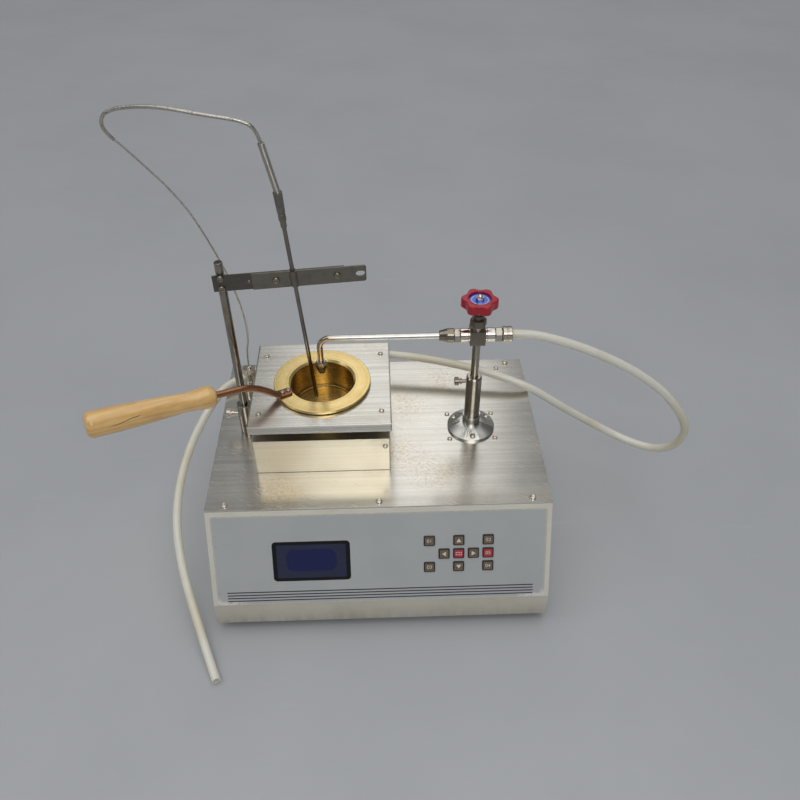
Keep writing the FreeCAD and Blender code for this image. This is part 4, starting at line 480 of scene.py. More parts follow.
@dataclass(frozen=True)
class TurnedMetal(Finish):
    """Metal turned on a lathe, with rings round its axis, painted dark sectors round it that stand in for
    reflections, and on a cup's inner wall darker brown that is partly tarnish and partly painted shade.
    """

    colour: Triple = (0.62, 0.60, 0.57)
    deep: Triple = (0.40, 0.37, 0.33)
    centre: Triple = (0.0, 0.0, 0.0)
    axis: Triple = (0.0, 0.0, 1.0)
    rings: float = 1500.0
    rough: float = 0.2
    ring_depth: float = 0.010 * MM
    tarnish: float = 0.4
    painted_reflection_sectors: tuple[Triple, ...] = ()
    inner_patina_and_shade: Triple = (0.30, 0.185, 0.055)
    inner_wall_reach: float = 0.0
    inner_wall_floor: float = 0.0

    def build(self, sheet: ShaderSheet) -> None:
        """Rings by distance from the axis, tarnish, painted reflection sectors, and the inner wall's tarnish
        and painted shade.

        Args:
            sheet: the material's sheet.
        """
        place = sheet.position()
        radius, along = sheet.round_axis(place, PLACES.at(*self.centre), Vector(self.axis))
        fine = sheet.noise(sheet.joined(radius * self.rings, along * self.rings, 0.0), 1.0, 2.0, 0.6)
        broad = sheet.noise(sheet.joined(radius * (self.rings / 6), along * (self.rings / 6), 4.0), 1.0, 2.0)
        clouds = sheet.noise(place, 90.0, 3.0, 0.6)
        colour = sheet.mix(broad.rise(0.35, 0.75) * self.tarnish, self.colour, self.deep)
        colour = sheet.mix(clouds.rise(0.45, 0.8) * (self.tarnish * 0.6), colour, self.deep)
        # Painted dark sectors round the axis, standing in for reflections.
        if self.painted_reflection_sectors:
            x, y, _ = sheet.split(sheet.shifted(place, PLACES.at(*self.centre)))
            turn = y.call("ARCTAN2", x) + (broad - 0.5) * 0.12
            for middle, half, share in self.painted_reflection_sectors:
                off = (turn - math.radians(middle)).call("ABSOLUTE")
                colour = sheet.mix(off.rise(math.radians(half + 2.5), math.radians(half - 2.5)) * share,
                    colour, self.deep)
        # Darker brown on a cup's inner wall: partly tarnish, partly painted shade inside the cup.
        if self.inner_wall_reach > 0:
            height = sheet.split(sheet.shifted(place, PLACES.at(*self.centre)))[2]
            wall = radius.rise(self.inner_wall_reach + 0.4 * MM, self.inner_wall_reach) * radius.rise(
                self.inner_wall_reach - 4.0 * MM, self.inner_wall_reach - 2.0 * MM)
            inside = wall * height.rise(self.inner_wall_floor, self.inner_wall_floor + 1.5 * MM)
            colour = sheet.mix(inside * (clouds.rise(0.2, 0.8) * 0.3 + 0.65), colour, self.inner_patina_and_shade)
        rough = fine * 0.12 + clouds * 0.06 + (self.rough - 0.09)
        sheet.shade(Base_Color=colour, Metallic=1.0, Roughness=rough,
            Normal=sheet.bump(fine * 0.5 + broad * 0.6, self.ring_depth))


@dataclass(frozen=True)
class PlatedMetal(Finish):
    """Bright or dark plated steel with light handling marks."""

    colour: Triple = (0.62, 0.60, 0.57)
    deep: Triple = (0.35, 0.33, 0.30)
    rough: float = 0.2
    scale: float = 300.0
    wear: float = 0.35

    def build(self, sheet: ShaderSheet) -> None:
        """Plating with smudges.

        Args:
            sheet: the material's sheet.
        """
        place = sheet.position()
        smudge = sheet.noise(place, self.scale, 3.0, 0.6)
        broad = sheet.noise(place, self.scale * 0.2, 2.0)
        colour = sheet.mix(smudge.rise(0.4, 0.8) * self.wear, self.colour, self.deep)
        rough = smudge * 0.08 + broad * 0.10 + (self.rough - 0.09)
        sheet.shade(Base_Color=colour, Metallic=1.0, Roughness=rough, Normal=sheet.bump(smudge, 0.004 * MM))


@dataclass(frozen=True)
class DrawnMetal(Finish):
    """Drawn bar or strip with fine lines along one direction, and heat colours near a place."""

    colour: Triple = (0.30, 0.28, 0.24)
    deep: Triple = (0.16, 0.145, 0.12)
    grain: Grain = Grain.UPRIGHT
    rough: float = 0.25
    line_depth: float = 0.006 * MM
    heat: Triple = (0.30, 0.20, 0.10)
    heat_place: Triple = (0.0, 0.0, -1.0)
    heat_reach: float = 30.0 * MM

    def build(self, sheet: ShaderSheet) -> None:
        """Lines, smudges and heat colours.

        Args:
            sheet: the material's sheet.
        """
        place = sheet.position()
        lines = sheet.noise(sheet.placed(place, self.grain.value), 1.0, 3.0, 0.7)
        smudge = sheet.noise(place, 110.0, 4.0, 0.65)
        metal = sheet.mix(lines * 0.5 + smudge.rise(0.4, 0.75) * 0.5, self.colour, self.deep)
        warm = sheet.distance(place, PLACES.at(*self.heat_place)).rise(self.heat_reach, 0.0)
        metal = sheet.mix(warm * (smudge * 0.5 + 0.6), metal, self.heat)
        rough = lines * 0.10 + smudge * 0.12 + (self.rough - 0.11)
        sheet.shade(Base_Color=metal, Metallic=1.0, Roughness=rough,
            Normal=sheet.bump(lines, self.line_depth))


@dataclass(frozen=True)
class Braid(Finish):
    """A woven metal skin on a cord, laid out on the cord's own map."""

    colour: Triple = (0.62, 0.60, 0.54)
    deep: Triple = (0.20, 0.19, 0.17)
    strands: float = 8.0
    pitch: float = 2.2 * MM
    depth: float = 0.10 * MM
    rough: float = 0.36

    def build(self, sheet: ShaderSheet) -> None:
        """Two sets of strands that cross.

        Args:
            sheet: the material's sheet.
        """
        across, along, _ = sheet.split(sheet.unwrapped())
        first = (across * self.strands + along * (1.0 / self.pitch)).call("FRACT")
        second = (across * self.strands - along * (1.0 / self.pitch) + 400.0).call("FRACT")
        ridge_a = (first * TURN).call("SINE") * 0.5 + 0.5
        ridge_b = (second * TURN).call("SINE") * 0.5 + 0.5
        weave = ridge_a.call("MAXIMUM", ridge_b)
        speck = sheet.noise(sheet.position(), 420.0, 3.0)
        colour = sheet.mix(weave.rise(0.55, 0.95), self.deep, self.colour)
        colour = sheet.mix(speck.rise(0.45, 0.70) * 0.6, colour, self.deep)
        sheet.shade(Base_Color=colour, Metallic=1.0, Roughness=speck * 0.12 + (self.rough - 0.06),
            Normal=sheet.bump(weave, self.depth))


@dataclass(frozen=True)
class PowderCoat(Finish):
    """Baked powder paint with a fine peel, some grime low down, and painted shade on the front strip below
    the label.
    """

    colour: Triple = tint(226, 222, 208)
    grime_and_shade: Triple = tint(150, 144, 128)
    rough: float = 0.42
    grime_top: float = 30.0 * MM
    grime_foot: float = 8.0 * MM
    peel: float = 0.02 * MM

    def build(self, sheet: ShaderSheet) -> None:
        """Peel, clouds, grime, and painted shade below the label.

        Args:
            sheet: the material's sheet.
        """
        place = sheet.position()
        height = sheet.split(place)[2]
        peel = sheet.noise(place, 900.0, 2.0)
        clouds = sheet.noise(place, 25.0, 5.0, 0.65)
        streaks = sheet.noise(sheet.placed(place, (120.0, 120.0, 9.0)), 1.0, 4.0, 0.6)
        low = height.rise(self.grime_top, self.grime_foot) * streaks.rise(0.35, 0.75)
        # Painted shade on the front strip below the label, in the same colour as the grime.
        low_film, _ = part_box("front_label")
        front = sheet.split(place)[1].rise(low_film.y + 4.0 * MM, low_film.y + 1.0 * MM)
        foot = height.rise(low_film.z, low_film.z - 0.8 * MM) * front * 0.4
        colour = sheet.mix(clouds.rise(0.4, 0.8) * 0.16 + low * 0.25 + foot, self.colour, self.grime_and_shade)
        sheet.shade(Base_Color=colour, Roughness=peel * 0.08 + clouds * 0.1 + (self.rough - 0.08),
            Normal=sheet.bump(peel, self.peel))


@dataclass(frozen=True)
class FloorPaint(Finish):
    """Smooth pale floor paint with soft clouds and a few paler scuffs."""

    colour: Triple = (0.46, 0.475, 0.49)
    dark: Triple = (0.43, 0.445, 0.465)
    scuff: Triple = (0.51, 0.525, 0.535)

    def build(self, sheet: ShaderSheet) -> None:
        """Clouds and scuffs.

        Args:
            sheet: the material's sheet.
        """
        place = sheet.position()
        clouds = sheet.noise(place, 3.0, 5.0, 0.55)
        marks = sheet.noise(sheet.placed(place, (6.0, 30.0, 1.0)), 1.0, 5.0, 0.7)
        colour = sheet.mix(clouds.rise(0.35, 0.7), self.colour, self.dark)
        colour = sheet.mix(marks.rise(0.62, 0.72) * 0.4, colour, self.scuff)
        sheet.shade(Base_Color=colour, Roughness=marks * 0.15 + clouds * 0.1 + 0.3)


@dataclass(frozen=True)
class MouldedPlastic(Finish):
    """Moulded plastic or rubber with a fine skin."""

    colour: Triple = (0.02, 0.02, 0.02)
    light: Triple = (0.05, 0.05, 0.05)
    rough: float = 0.45
    coat: float = 0.0
    skin_scale: float = 1500.0
    skin_depth: float = 0.02 * MM

    def build(self, sheet: ShaderSheet) -> None:
        """Skin and faint shade changes.

        Args:
            sheet: the material's sheet.
        """
        place = sheet.position()
        skin = sheet.noise(place, self.skin_scale, 2.0)
        clouds = sheet.noise(place, 120.0, 3.0, 0.6)
        sheet.shade(Base_Color=sheet.mix(clouds.rise(0.3, 0.8) * 0.6, self.colour, self.light),
            Roughness=clouds * 0.12 + (self.rough - 0.06), Coat_Weight=self.coat, Coat_Roughness=0.12,
            Normal=sheet.bump(skin, self.skin_depth))


@dataclass(frozen=True)
class MilkyHose(Finish):
    """Milky hose with a little yellowing, faint lines along it and a soft glow in its wall."""

    colour: Triple = tint(232, 229, 216)
    aged: Triple = tint(216, 206, 176)
    rough: float = 0.22
    glow: float = 0.35

    def build(self, sheet: ShaderSheet) -> None:
        """Lines along the hose's own map, and yellowing in long patches.

        Args:
            sheet: the material's sheet.
        """
        across, along, _ = sheet.split(sheet.unwrapped())
        lines = sheet.noise(sheet.joined(across * 40.0, along * 3.0, 0.0), 1.0, 3.0)
        patches = sheet.noise(sheet.joined(0.0, along * 9.0, 5.0), 1.0, 3.0, 0.6)
        specks = sheet.noise(sheet.position(), 500.0, 3.0, 0.7).rise(0.70, 0.78)
        colour = sheet.mix(patches.rise(0.4, 0.7) * 0.8, self.colour, self.aged)
        colour = sheet.mix(specks * 0.25, colour, tint(120, 112, 96))
        sheet.shade(Base_Color=colour, Roughness=lines * 0.10 + (self.rough - 0.05), Coat_Weight=0.35,
            Coat_Roughness=0.15, Subsurface_Weight=self.glow, Subsurface_Radius=(1.0, 0.9, 0.7),
            Subsurface_Scale=3.0 * MM, Normal=sheet.bump(lines, 0.05 * MM))


@dataclass(frozen=True)
class LacqueredWood(Finish):
    """Turned wood with its grain along the grip, darker streaks, pores and a crack, under lacquer."""

    light: Triple = tint(246, 206, 134)
    dark: Triple = tint(212, 158, 88)
    streak: Triple = tint(142, 92, 44)
    foot: Triple = (0.0, 0.0, 0.0)
    axis: Triple = (1.0, 0.0, 0.0)
    crack_from: float = 70.0 * MM
    crack_to: float = 103.0 * MM

    def build(self, sheet: ShaderSheet) -> None:
        """Figure, streaks, pores and the crack.

        Args:
            sheet: the material's sheet.
        """
        place = sheet.position()
        axis = Vector(self.axis)
        flat = axis.cross(UP).normalized()
        over = flat.cross(axis)
        base = PLACES.at(*self.foot)
        along = sheet.along(place, base, axis)
        side = sheet.along(place, base, flat)
        rise = sheet.along(place, base, over)
        figure = sheet.noise(sheet.joined(along * 7.0, side * 70.0, rise * 70.0), 1.0, 4.0, 0.6)
        rings = ((figure * 9.0 + rise * 260.0 + side * 90.0) * 3.0).call("SINE") * 0.5 + 0.5
        fine = sheet.noise(sheet.joined(along * 30.0, side * 1100.0, rise * 1100.0), 1.0, 3.0, 0.7)
        pores = sheet.noise(sheet.joined(along * 90.0, side * 2400.0, rise * 2400.0), 1.0, 2.0).rise(0.66,
            0.74)
        patch = sheet.noise(sheet.joined(along * 22.0, side * 60.0, rise * 60.0), 1.0, 3.0).rise(0.5, 0.75)
        wood = sheet.mix(rings * 0.35 + fine * 0.35 + patch * 0.4, self.light, self.dark)
        wood = sheet.mix(pores * 0.35, wood, self.streak)
        wander = (sheet.noise(sheet.joined(along * 70.0, 0.0, 0.0), 1.0, 2.0) - 0.5) * (2.5 * MM)
        middle = (self.crack_from + self.crack_to) / 2
        line = (rise - 4.0 * MM + (along - middle) * 0.13 - wander).call("ABSOLUTE").rise(0.6 * MM,
            0.15 * MM)
        line = line * side.rise(2.0 * MM, -2.0 * MM)
        dents = sheet.noise(sheet.joined(along * 40.0, side * 90.0, rise * 90.0), 1.0, 2.0)
        span = along.rise(self.crack_from, self.crack_from + 6.0 * MM) * along.rise(self.crack_to,
            self.crack_to - 9.0 * MM)
        # Darker patches towards the grip's lower side, growing from its middle toward its free end.
        low_side_patches = patch * along.rise(self.crack_from - 30 * MM, self.crack_to) * rise.rise(4.0 * MM, -6.0 * MM)
        wood = sheet.mix(low_side_patches * 0.55, wood, self.streak)
        wood = sheet.mix(line * span * 0.8, wood, tint(70, 40, 20))
        sheet.shade(Base_Color=wood, Roughness=fine * 0.14 + 0.28, Coat_Weight=0.9, Coat_Roughness=0.10,
            Normal=sheet.bump(fine * 0.5 - line * span, 0.05 * MM, under=sheet.bump(dents, 0.35 * MM)))


@dataclass(frozen=True)
class LabelFilm(Finish):
    """Printed film on the sloped front, a little worn and yellowed at its edges."""

    colour: Triple = tint(182, 185, 185)
    pale: Triple = tint(192, 194, 192)
    worn: Triple = tint(214, 208, 188)

    def build(self, sheet: ShaderSheet) -> None:
        """Faint clouds, a paler middle and worn edges.

        Args:
            sheet: the material's sheet.
        """
        place = sheet.position()
        across, up = sheet.on_panel(place)
        half_w = PANEL.width / 2
        edge = sheet.rounded_box(across, up + PANEL.slope / 2, half_w, PANEL.height / 2, PANEL.corner)
        rim = edge.rise(-2.5 * MM, -0.2 * MM)
        clouds = sheet.noise(place, 18.0, 3.0)
        dirt = sheet.noise(place, 240.0, 5.0, 0.7)
        film = sheet.mix(clouds.rise(0.3, 0.7) * 0.5, self.colour, self.pale)
        film = sheet.mix(rim * (dirt.rise(0.35, 0.7) * 0.7 + 0.15), film, self.worn)
        chips = edge.rise(-5.0 * MM, -1.0 * MM) * across.rise(-half_w + 14 * MM, -half_w + 4 * MM)
        film = sheet.mix(chips * dirt.rise(0.60, 0.66) * 0.8, film, tint(92, 90, 84))
        scuffs = edge.rise(-6.0 * MM, -2.0 * MM) * (up + PANEL.slope).rise(16 * MM, 8 * MM)
        corners = across.call("ABSOLUTE").rise(half_w - 34 * MM, half_w - 16 * MM)
        film = sheet.mix(scuffs * corners * dirt.rise(0.35, 0.5) * 0.8, film, tint(232, 230, 224))
        film = sheet.mix(dirt.rise(0.70, 0.78) * 0.22, film, tint(120, 118, 110))
        sheet.shade(Base_Color=film, Roughness=clouds * 0.08 + 0.36, Coat_Weight=0.10, Coat_Roughness=0.3,
            Normal=sheet.bump(sheet.noise(place, 1200.0, 2.0), 0.008 * MM))


@dataclass(frozen=True)
class DisplayGlass(Finish):
    """The display's window: a black border round a dull navy glass with a deeper lit field."""

    border: Triple = tint(10, 10, 12)
    glass: Triple = tint(44, 48, 72)
    field_colour: Triple = tint(24, 28, 84)
    inner_w: float = 68.7 * MM
    inner_h: float = 36.9 * MM
    inner_corner: float = 1.5 * MM
    field_w: float = 50.0 * MM
    field_h: float = 24.0 * MM
    field_corner: float = 8.0 * MM

    def build(self, sheet: ShaderSheet) -> None:
        """Border, glass, field and smears.

        Args:
            sheet: the material's sheet.
        """
        place = sheet.position()
        across, up = sheet.on_panel(place)
        x = across - PANEL.window_x
        y = up + PANEL.window_down
        pane = sheet.rounded_box(x, y, self.inner_w / 2, self.inner_h / 2, self.inner_corner).rise(0.15
            * MM, -0.15 * MM)
        wobble = (sheet.noise(place, 130.0, 3.0) - 0.5) * (3.0 * MM)
        field = sheet.rounded_box(x, y + wobble - 1.2 * MM, self.field_w / 2, self.field_h / 2,
            self.field_corner)
        lit = field.rise(0.8 * MM, -0.8 * MM)
        smears = sheet.noise(sheet.joined(across * 30.0, up * 260.0, 0.0), 1.0, 4.0, 0.6)
        glass = sheet.mix(smears.rise(0.4, 0.8) * 0.35, self.glass, tint(60, 64, 92))
        glass = sheet.mix(lit * 0.85, glass, self.field_colour)
        sheet.shade(Base_Color=sheet.mix(pane, self.border, glass), Roughness=smears * 0.10 + 0.10,
            Specular_IOR_Level=0.35)


@dataclass(frozen=True)
class KeyCap(Finish):
    """A key's skin, laid out on its own map: a dark outline, a thin frame and a plain middle."""

    middle: Triple = tint(104, 88, 70)
    frame_tint: Triple = tint(146, 128, 108)
    outline: Triple = tint(30, 25, 22)

    def build(self, sheet: ShaderSheet) -> None:
        """Outline, frame and middle.

        Args:
            sheet: the material's sheet.
        """
        x, y, _ = sheet.split(sheet.unwrapped())
        edge = sheet.rounded_box(x, y, 0.5, 0.5, 0.12)
        cloud = sheet.noise(sheet.position(), 500.0, 3.0)
        skin = sheet.mix(cloud.rise(0.3, 0.8) * 0.4, self.middle, self.frame_tint)
        skin = sheet.mix(edge.rise(-0.165, -0.15) * edge.rise(-0.12, -0.135), skin, self.frame_tint)
        skin = sheet.mix(edge.rise(-0.125, -0.11), skin, self.outline)
        sheet.shade(Base_Color=skin, Roughness=cloud * 0.1 + 0.33, Coat_Weight=0.3, Coat_Roughness=0.15,
            Normal=sheet.bump(cloud, 0.01 * MM))


@dataclass(frozen=True)
class InletPlastic(Finish):
    """Black plastic of the mains inlet, with its contact pins bright."""

    pin_half_w: float = 1.2 * MM
    pin_half_h: float = 2.2 * MM
    pin_step: float = 7.0 * MM
    pin_rise: float = -18.0 * MM
    earth_rise: float = -14.0 * MM

    def build(self, sheet: ShaderSheet) -> None:
        """Skin, and bright metal where the pins stand.

        Args:
            sheet: the material's sheet.
        """
        place = sheet.position()
        x, _, z = sheet.split(place)
        middle = PLACES.centre("power_inlet")
        pins = None
        for shift, rise in ((-self.pin_step, self.pin_rise), (self.pin_step, self.pin_rise),
            (0.0, self.earth_rise)):
            edge = sheet.rounded_box(x - (middle.x + shift), z - (middle.z + rise), self.pin_half_w,
                self.pin_half_h, 0.2 * MM)
            pin = edge.rise(0.05 * MM, -0.05 * MM)
            pins = pin if pins is None else pins.call("MAXIMUM", pin)
        skin = sheet.noise(place, 1400.0, 2.0)
        clouds = sheet.noise(place, 120.0, 3.0)
        plastic = sheet.mix(clouds.rise(0.3, 0.8), tint(26, 26, 27), tint(42, 42, 43))
        sheet.shade(Base_Color=sheet.mix(pins, plastic, (0.66, 0.62, 0.52)), Metallic=pins,
            Roughness=clouds * 0.1 + 0.36 - pins * 0.12, Normal=sheet.bump(skin, 0.02 * MM))


@dataclass(frozen=True)
class RockerPlastic(Finish):
    """Black plastic of the switch's rocker, with a pale bar and a pale ring printed on it."""

    mark: Triple = tint(226, 226, 222)
    bar_rise: float = 5.0 * MM
    bar_half: float = 1.7 * MM
    bar_width: float = 0.35 * MM
    ring_radius: float = 1.6 * MM

    def build(self, sheet: ShaderSheet) -> None:
        """Skin and marks.

        Args:
            sheet: the material's sheet.
        """
        place = sheet.position()
        x, _, z = sheet.split(place)
        middle = PLACES.centre("power_rocker")
        across = x - middle.x
        rise = z - middle.z
        bar = sheet.rounded_box(across, rise - self.bar_rise, self.bar_width, self.bar_half, HAIR)
        low = rise + self.bar_rise
        ring = ((across * across + low * low).call("SQRT") - self.ring_radius).call("ABSOLUTE") - 0.3 * MM
        print_mask = bar.call("MINIMUM", ring).rise(0.06 * MM, -0.06 * MM)
        skin = sheet.noise(place, 1400.0, 2.0)
        plastic = sheet.mix(skin, tint(24, 24, 25), tint(36, 36, 37))
        sheet.shade(Base_Color=sheet.mix(print_mask, plastic, self.mark), Roughness=skin * 0.1 + 0.3,
            Normal=sheet.bump(skin, 0.02 * MM))


@dataclass(frozen=True)
class DiscFilm(Finish):
    """The wheel's blue disc, with a plain pale ring printed round it."""

    colour: Triple = tint(30, 92, 214)
    deep: Triple = tint(18, 60, 176)
    mark: Triple = tint(196, 214, 240)
    ring_radius: float = 7.9 * MM
    ring_half: float = 0.32 * MM

    def build(self, sheet: ShaderSheet) -> None:
        """Film and ring.

        Args:
            sheet: the material's sheet.
        """
        place = sheet.position()
        radius, _ = sheet.round_axis(place, PLACES.centre("wheel_disc"), UP)
        ring = (radius - self.ring_radius).call("ABSOLUTE").rise(self.ring_half + 0.05 * MM, self.ring_half)
        clouds = sheet.noise(place, 200.0, 3.0)
        film = sheet.mix(clouds.rise(0.3, 0.8), self.colour, self.deep)
        sheet.shade(Base_Color=sheet.mix(ring * 0.8, film, self.mark), Roughness=clouds * 0.12 + 0.2,
            Coat_Weight=0.8, Coat_Roughness=0.08)


def convex(edge: bmesh.types.BMEdge) -> bool:
    """Says whether an edge is an outer corner."""
    return edge.is_convex


def finished(work: Work) -> Mesh:
    """Turns a work mesh into a mesh and frees it.

    Args:
        work: the work mesh.

    Returns:
        The mesh.
    """
    mesh = bpy.data.meshes.new("work")
    work.normal_update()
    work.to_mesh(mesh)
    work.free()
    return mesh


def lay_skin(work: Work, rings: Sequence[list]) -> None:
    """Lays faces between rings, any of which may be a single point.

    Args:
        work: the mesh worked on.
        rings: the vertices of each ring.
    """
    for low, high in zip(rings, rings[1:]):
        for k in range(max(len(low), len(high))):
            n = k + 1
            corners = [low[k % len(low)], low[n % len(low)], high[n % len(high)], high[k % len(high)]]
            corners = list(dict.fromkeys(corners))
            if len(corners) > 2:
                work.faces.new(corners)
    bmesh.ops.recalc_face_normals(work, faces=work.faces)


def rounded(points: Sequence[tuple[float, ...]], closed: bool = False) -> Profile:
    """A turned outline with its corners rounded.

    Args:
        points: each corner's radius and height, and its rounding where it has one.
        closed: whether the last corner joins the first.

    Returns:
        The outline's radii and heights.
    """
    outline = []
    count = len(points)
    for i, (radius, height, *rounding) in enumerate(points):
        if not rounding or (not closed and i in (0, count - 1)):
            outline.append((radius, height))
            continue
        corner = Vector((radius, height))
        before = Vector(points[i - 1][:2]) - corner
        after = Vector(points[(i + 1) % count][:2]) - corner
        cut = min(rounding[0] / math.tan(before.angle(after) / 2), before.length * 0.45, after.length * 0.45)
        first = corner + before.normalized() * cut
        last = corner + after.normalized() * cut
        for share in (k / ROUND_STEPS for k in range(ROUND_STEPS + 1)):
            place = first * (1 - share) ** 2 + corner * (2 * share * (1 - share)) + last * share ** 2
            outline.append((place.x, place.y))
    return outline


def stacked(rings: Sequence[tuple[Union[float, Callable[[float], float]], float]], base: Vector,
        axis: Vector = UP, sides: int = 72, closed: bool = False) -> Mesh:
    """A skin over rings stacked along an axis.

    Args:
        rings: each ring's radius, or its radius at a turn about the axis, and its height.
        base: where height zero is.
        axis: the stack's direction.
        sides: points in each ring.
        closed: whether the last ring joins the first.

    Returns:
        The mesh.
    """
    turn = UP.rotation_difference(axis)
    work = bmesh.new()
    made = []
    for shape, height in rings:
        pointed = not callable(shape) and shape < EPSILON
        ring = []
        for angle in [TURN * k / sides for k in range(1 if pointed else sides)]:
            radius = shape(angle) if callable(shape) else 0 if pointed else shape
            spot = Vector((radius * math.cos(angle), radius * math.sin(angle), height))
            ring.append(work.verts.new(base + turn @ spot))
        made.append(ring)
    lay_skin(work, made + made[:1] if closed else made)
    return finished(work)


def turned(points: Sequence[tuple[float, ...]], base: Vector, axis: Vector = UP, sides: int = 72,
        closed: bool = False) -> Mesh:
    """A turned form: radius, height and any rounding of each corner of its outline."""
    return stacked(rounded(points, closed), base, axis, sides, closed)


def solid(points: Sequence[tuple[float, ...]], base: Vector, axis: Vector = UP, sides: int = 72) -> Mesh:
    """A turned form whose ends are flat and reach the axis."""
    ends = [(0.0, points[end][1]) for end in (0, -1)]
    return turned([ends[0], *points, ends[1]], base, axis, sides)


def hexagon(flats: float, limit: float = math.inf) -> Callable[[float], float]:
    """The radius of a hexagon at a turn, no larger than a limit."""
    step = TURN / HEX_SIDES
    return lambda angle: min(flats / 2 / math.cos(angle % step - step / 2), limit)


def hex_nut(flats: float, height: float, base: Vector, axis: Vector = UP, bore: float = 0.0,
        chamfer: float = 0.5 * MM) -> Mesh:
    """A hexagon nut with both ends chamfered by a cone.

    Args:
        flats: its size across flats.
        height: its height.
        base: the middle of its foot.
        axis: its direction.
        bore: its bore's radius, or 0.
        chamfer: how far the cone reaches.

    Returns:
        The mesh.
    """
    corner = flats / math.sqrt(3)
    steps = [(flats * 0.47, 0.0), (flats * 0.5, chamfer * 0.35), (corner, chamfer)]
    rings = [(hexagon(flats, limit), rise) for limit, rise in steps]
    rings += [(hexagon(flats, limit), height - rise) for limit, rise in reversed(steps)]
    rings = [(bore, 0.0)] + rings + [(bore, height)]
    return stacked(rings, base, axis, closed=bore > 0)


def rings_round(line: Sequence[Vector], sides: int, section: Callable[[int, float], tuple[float, float]],
        side: Optional[Vector] = None) -> list[list[Vector]]:
    """Rings of points round a line, turned as little as they can be.

    Args:
        line: the line's points.
        sides: points in each ring.
        section: the offsets aside and over at a step and a turn.
        side: the first ring's side direction, if it matters.

    Returns:
        The rings.
    """
    last = len(line) - 1
    tangents = [(line[min(i + 1, last)] - line[max(i - 1, 0)]).normalized() for i in range(len(line))]
    aside = (side or tangents[0].orthogonal()).normalized()
    made = []
    for i, point in enumerate(line):
        if i:
            aside = (tangents[i - 1].rotation_difference(tangents[i]) @ aside).normalized()
        over = tangents[i].cross(aside).normalized()
        offsets = [section(i, TURN * k / sides) for k in range(sides)]
        made.append([point + aside * u + over * v for u, v in offsets])
    return made


def lofted(rings: list[list[Vector]]) -> Mesh:
    """A closed skin over rings of points.

    Args:
        rings: the points of each ring.

    Returns:
        The mesh.
    """
    work = bmesh.new()
    made = [[work.verts.new(point) for point in ring] for ring in rings]
    work.faces.new(made[0][::-1])
    work.faces.new(made[-1])
    lay_skin(work, made)
    return finished(work)


def joined(meshes: Iterable[Mesh]) -> Mesh:
    """Several meshes as one.

    Args:
        meshes: the meshes, which are used up.

    Returns:
        The mesh.
    """
    work = bmesh.new()
    for mesh in meshes:
        work.from_mesh(mesh)
        bpy.data.meshes.remove(mesh)
    return finished(work)


def copied(node: str) -> Work:
    """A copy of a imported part, with its triangles joined into whole faces.

    Args:
        node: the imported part.

    Returns:
        The work mesh.
    """
    work = bmesh.new()
    work.from_mesh(frame["nodes"][node].data)
    bmesh.ops.remove_doubles(work, verts=work.verts, dist=0.002 * MM)
    bmesh.ops.dissolve_limit(work, angle_limit=math.radians(0.5), use_dissolve_boundaries=False,
        verts=work.verts, edges=work.edges)
    return work


def softened(node: str, width: float, choose: Callable[[bmesh.types.BMEdge], bool] = convex) -> Mesh:
    """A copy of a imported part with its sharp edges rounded.

    Args:
        node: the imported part.
        width: how far the rounding reaches from an edge.
        choose: says whether an edge is rounded.

    Returns:
        The mesh.
    """
    work = copied(node)
    sharp = [edge for edge in work.edges if len(edge.link_faces) == 2 and edge.calc_face_angle(0.0) > SHARP
        and choose(edge)]
    bmesh.ops.bevel(work, geom=sharp, offset=width, offset_type="OFFSET", segments=BEVEL_STEPS, profile=0.5,
        affect="EDGES", clamp_overlap=True)
    return finished(work)


def solids(node: str) -> list[tuple[Vector, Vector]]:
    """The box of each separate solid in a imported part.

    Args:
        node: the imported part.

    Returns:
        Each solid's lowest and highest corners.
    """
    work = copied(node)
    left = set(work.verts)
    boxes = []
    while left:
        found = [left.pop()]
        for vertex in found:
            near = {edge.other_vert(vertex) for edge in vertex.link_edges} & left
            left -= near
            found.extend(near)
        corners = np.array([vertex.co for vertex in found])
        boxes.append((Vector(corners.min(0)), Vector(corners.max(0))))
    work.free()
    return sorted(boxes, key=lambda box: tuple(round(c, 5) for c in (*box[0], *box[1])))


class Pattern(Enum):
    """How a small piece is repeated."""

    PLACES = "on given places, turned to each one's aim"
    RING = "round an upright axis"


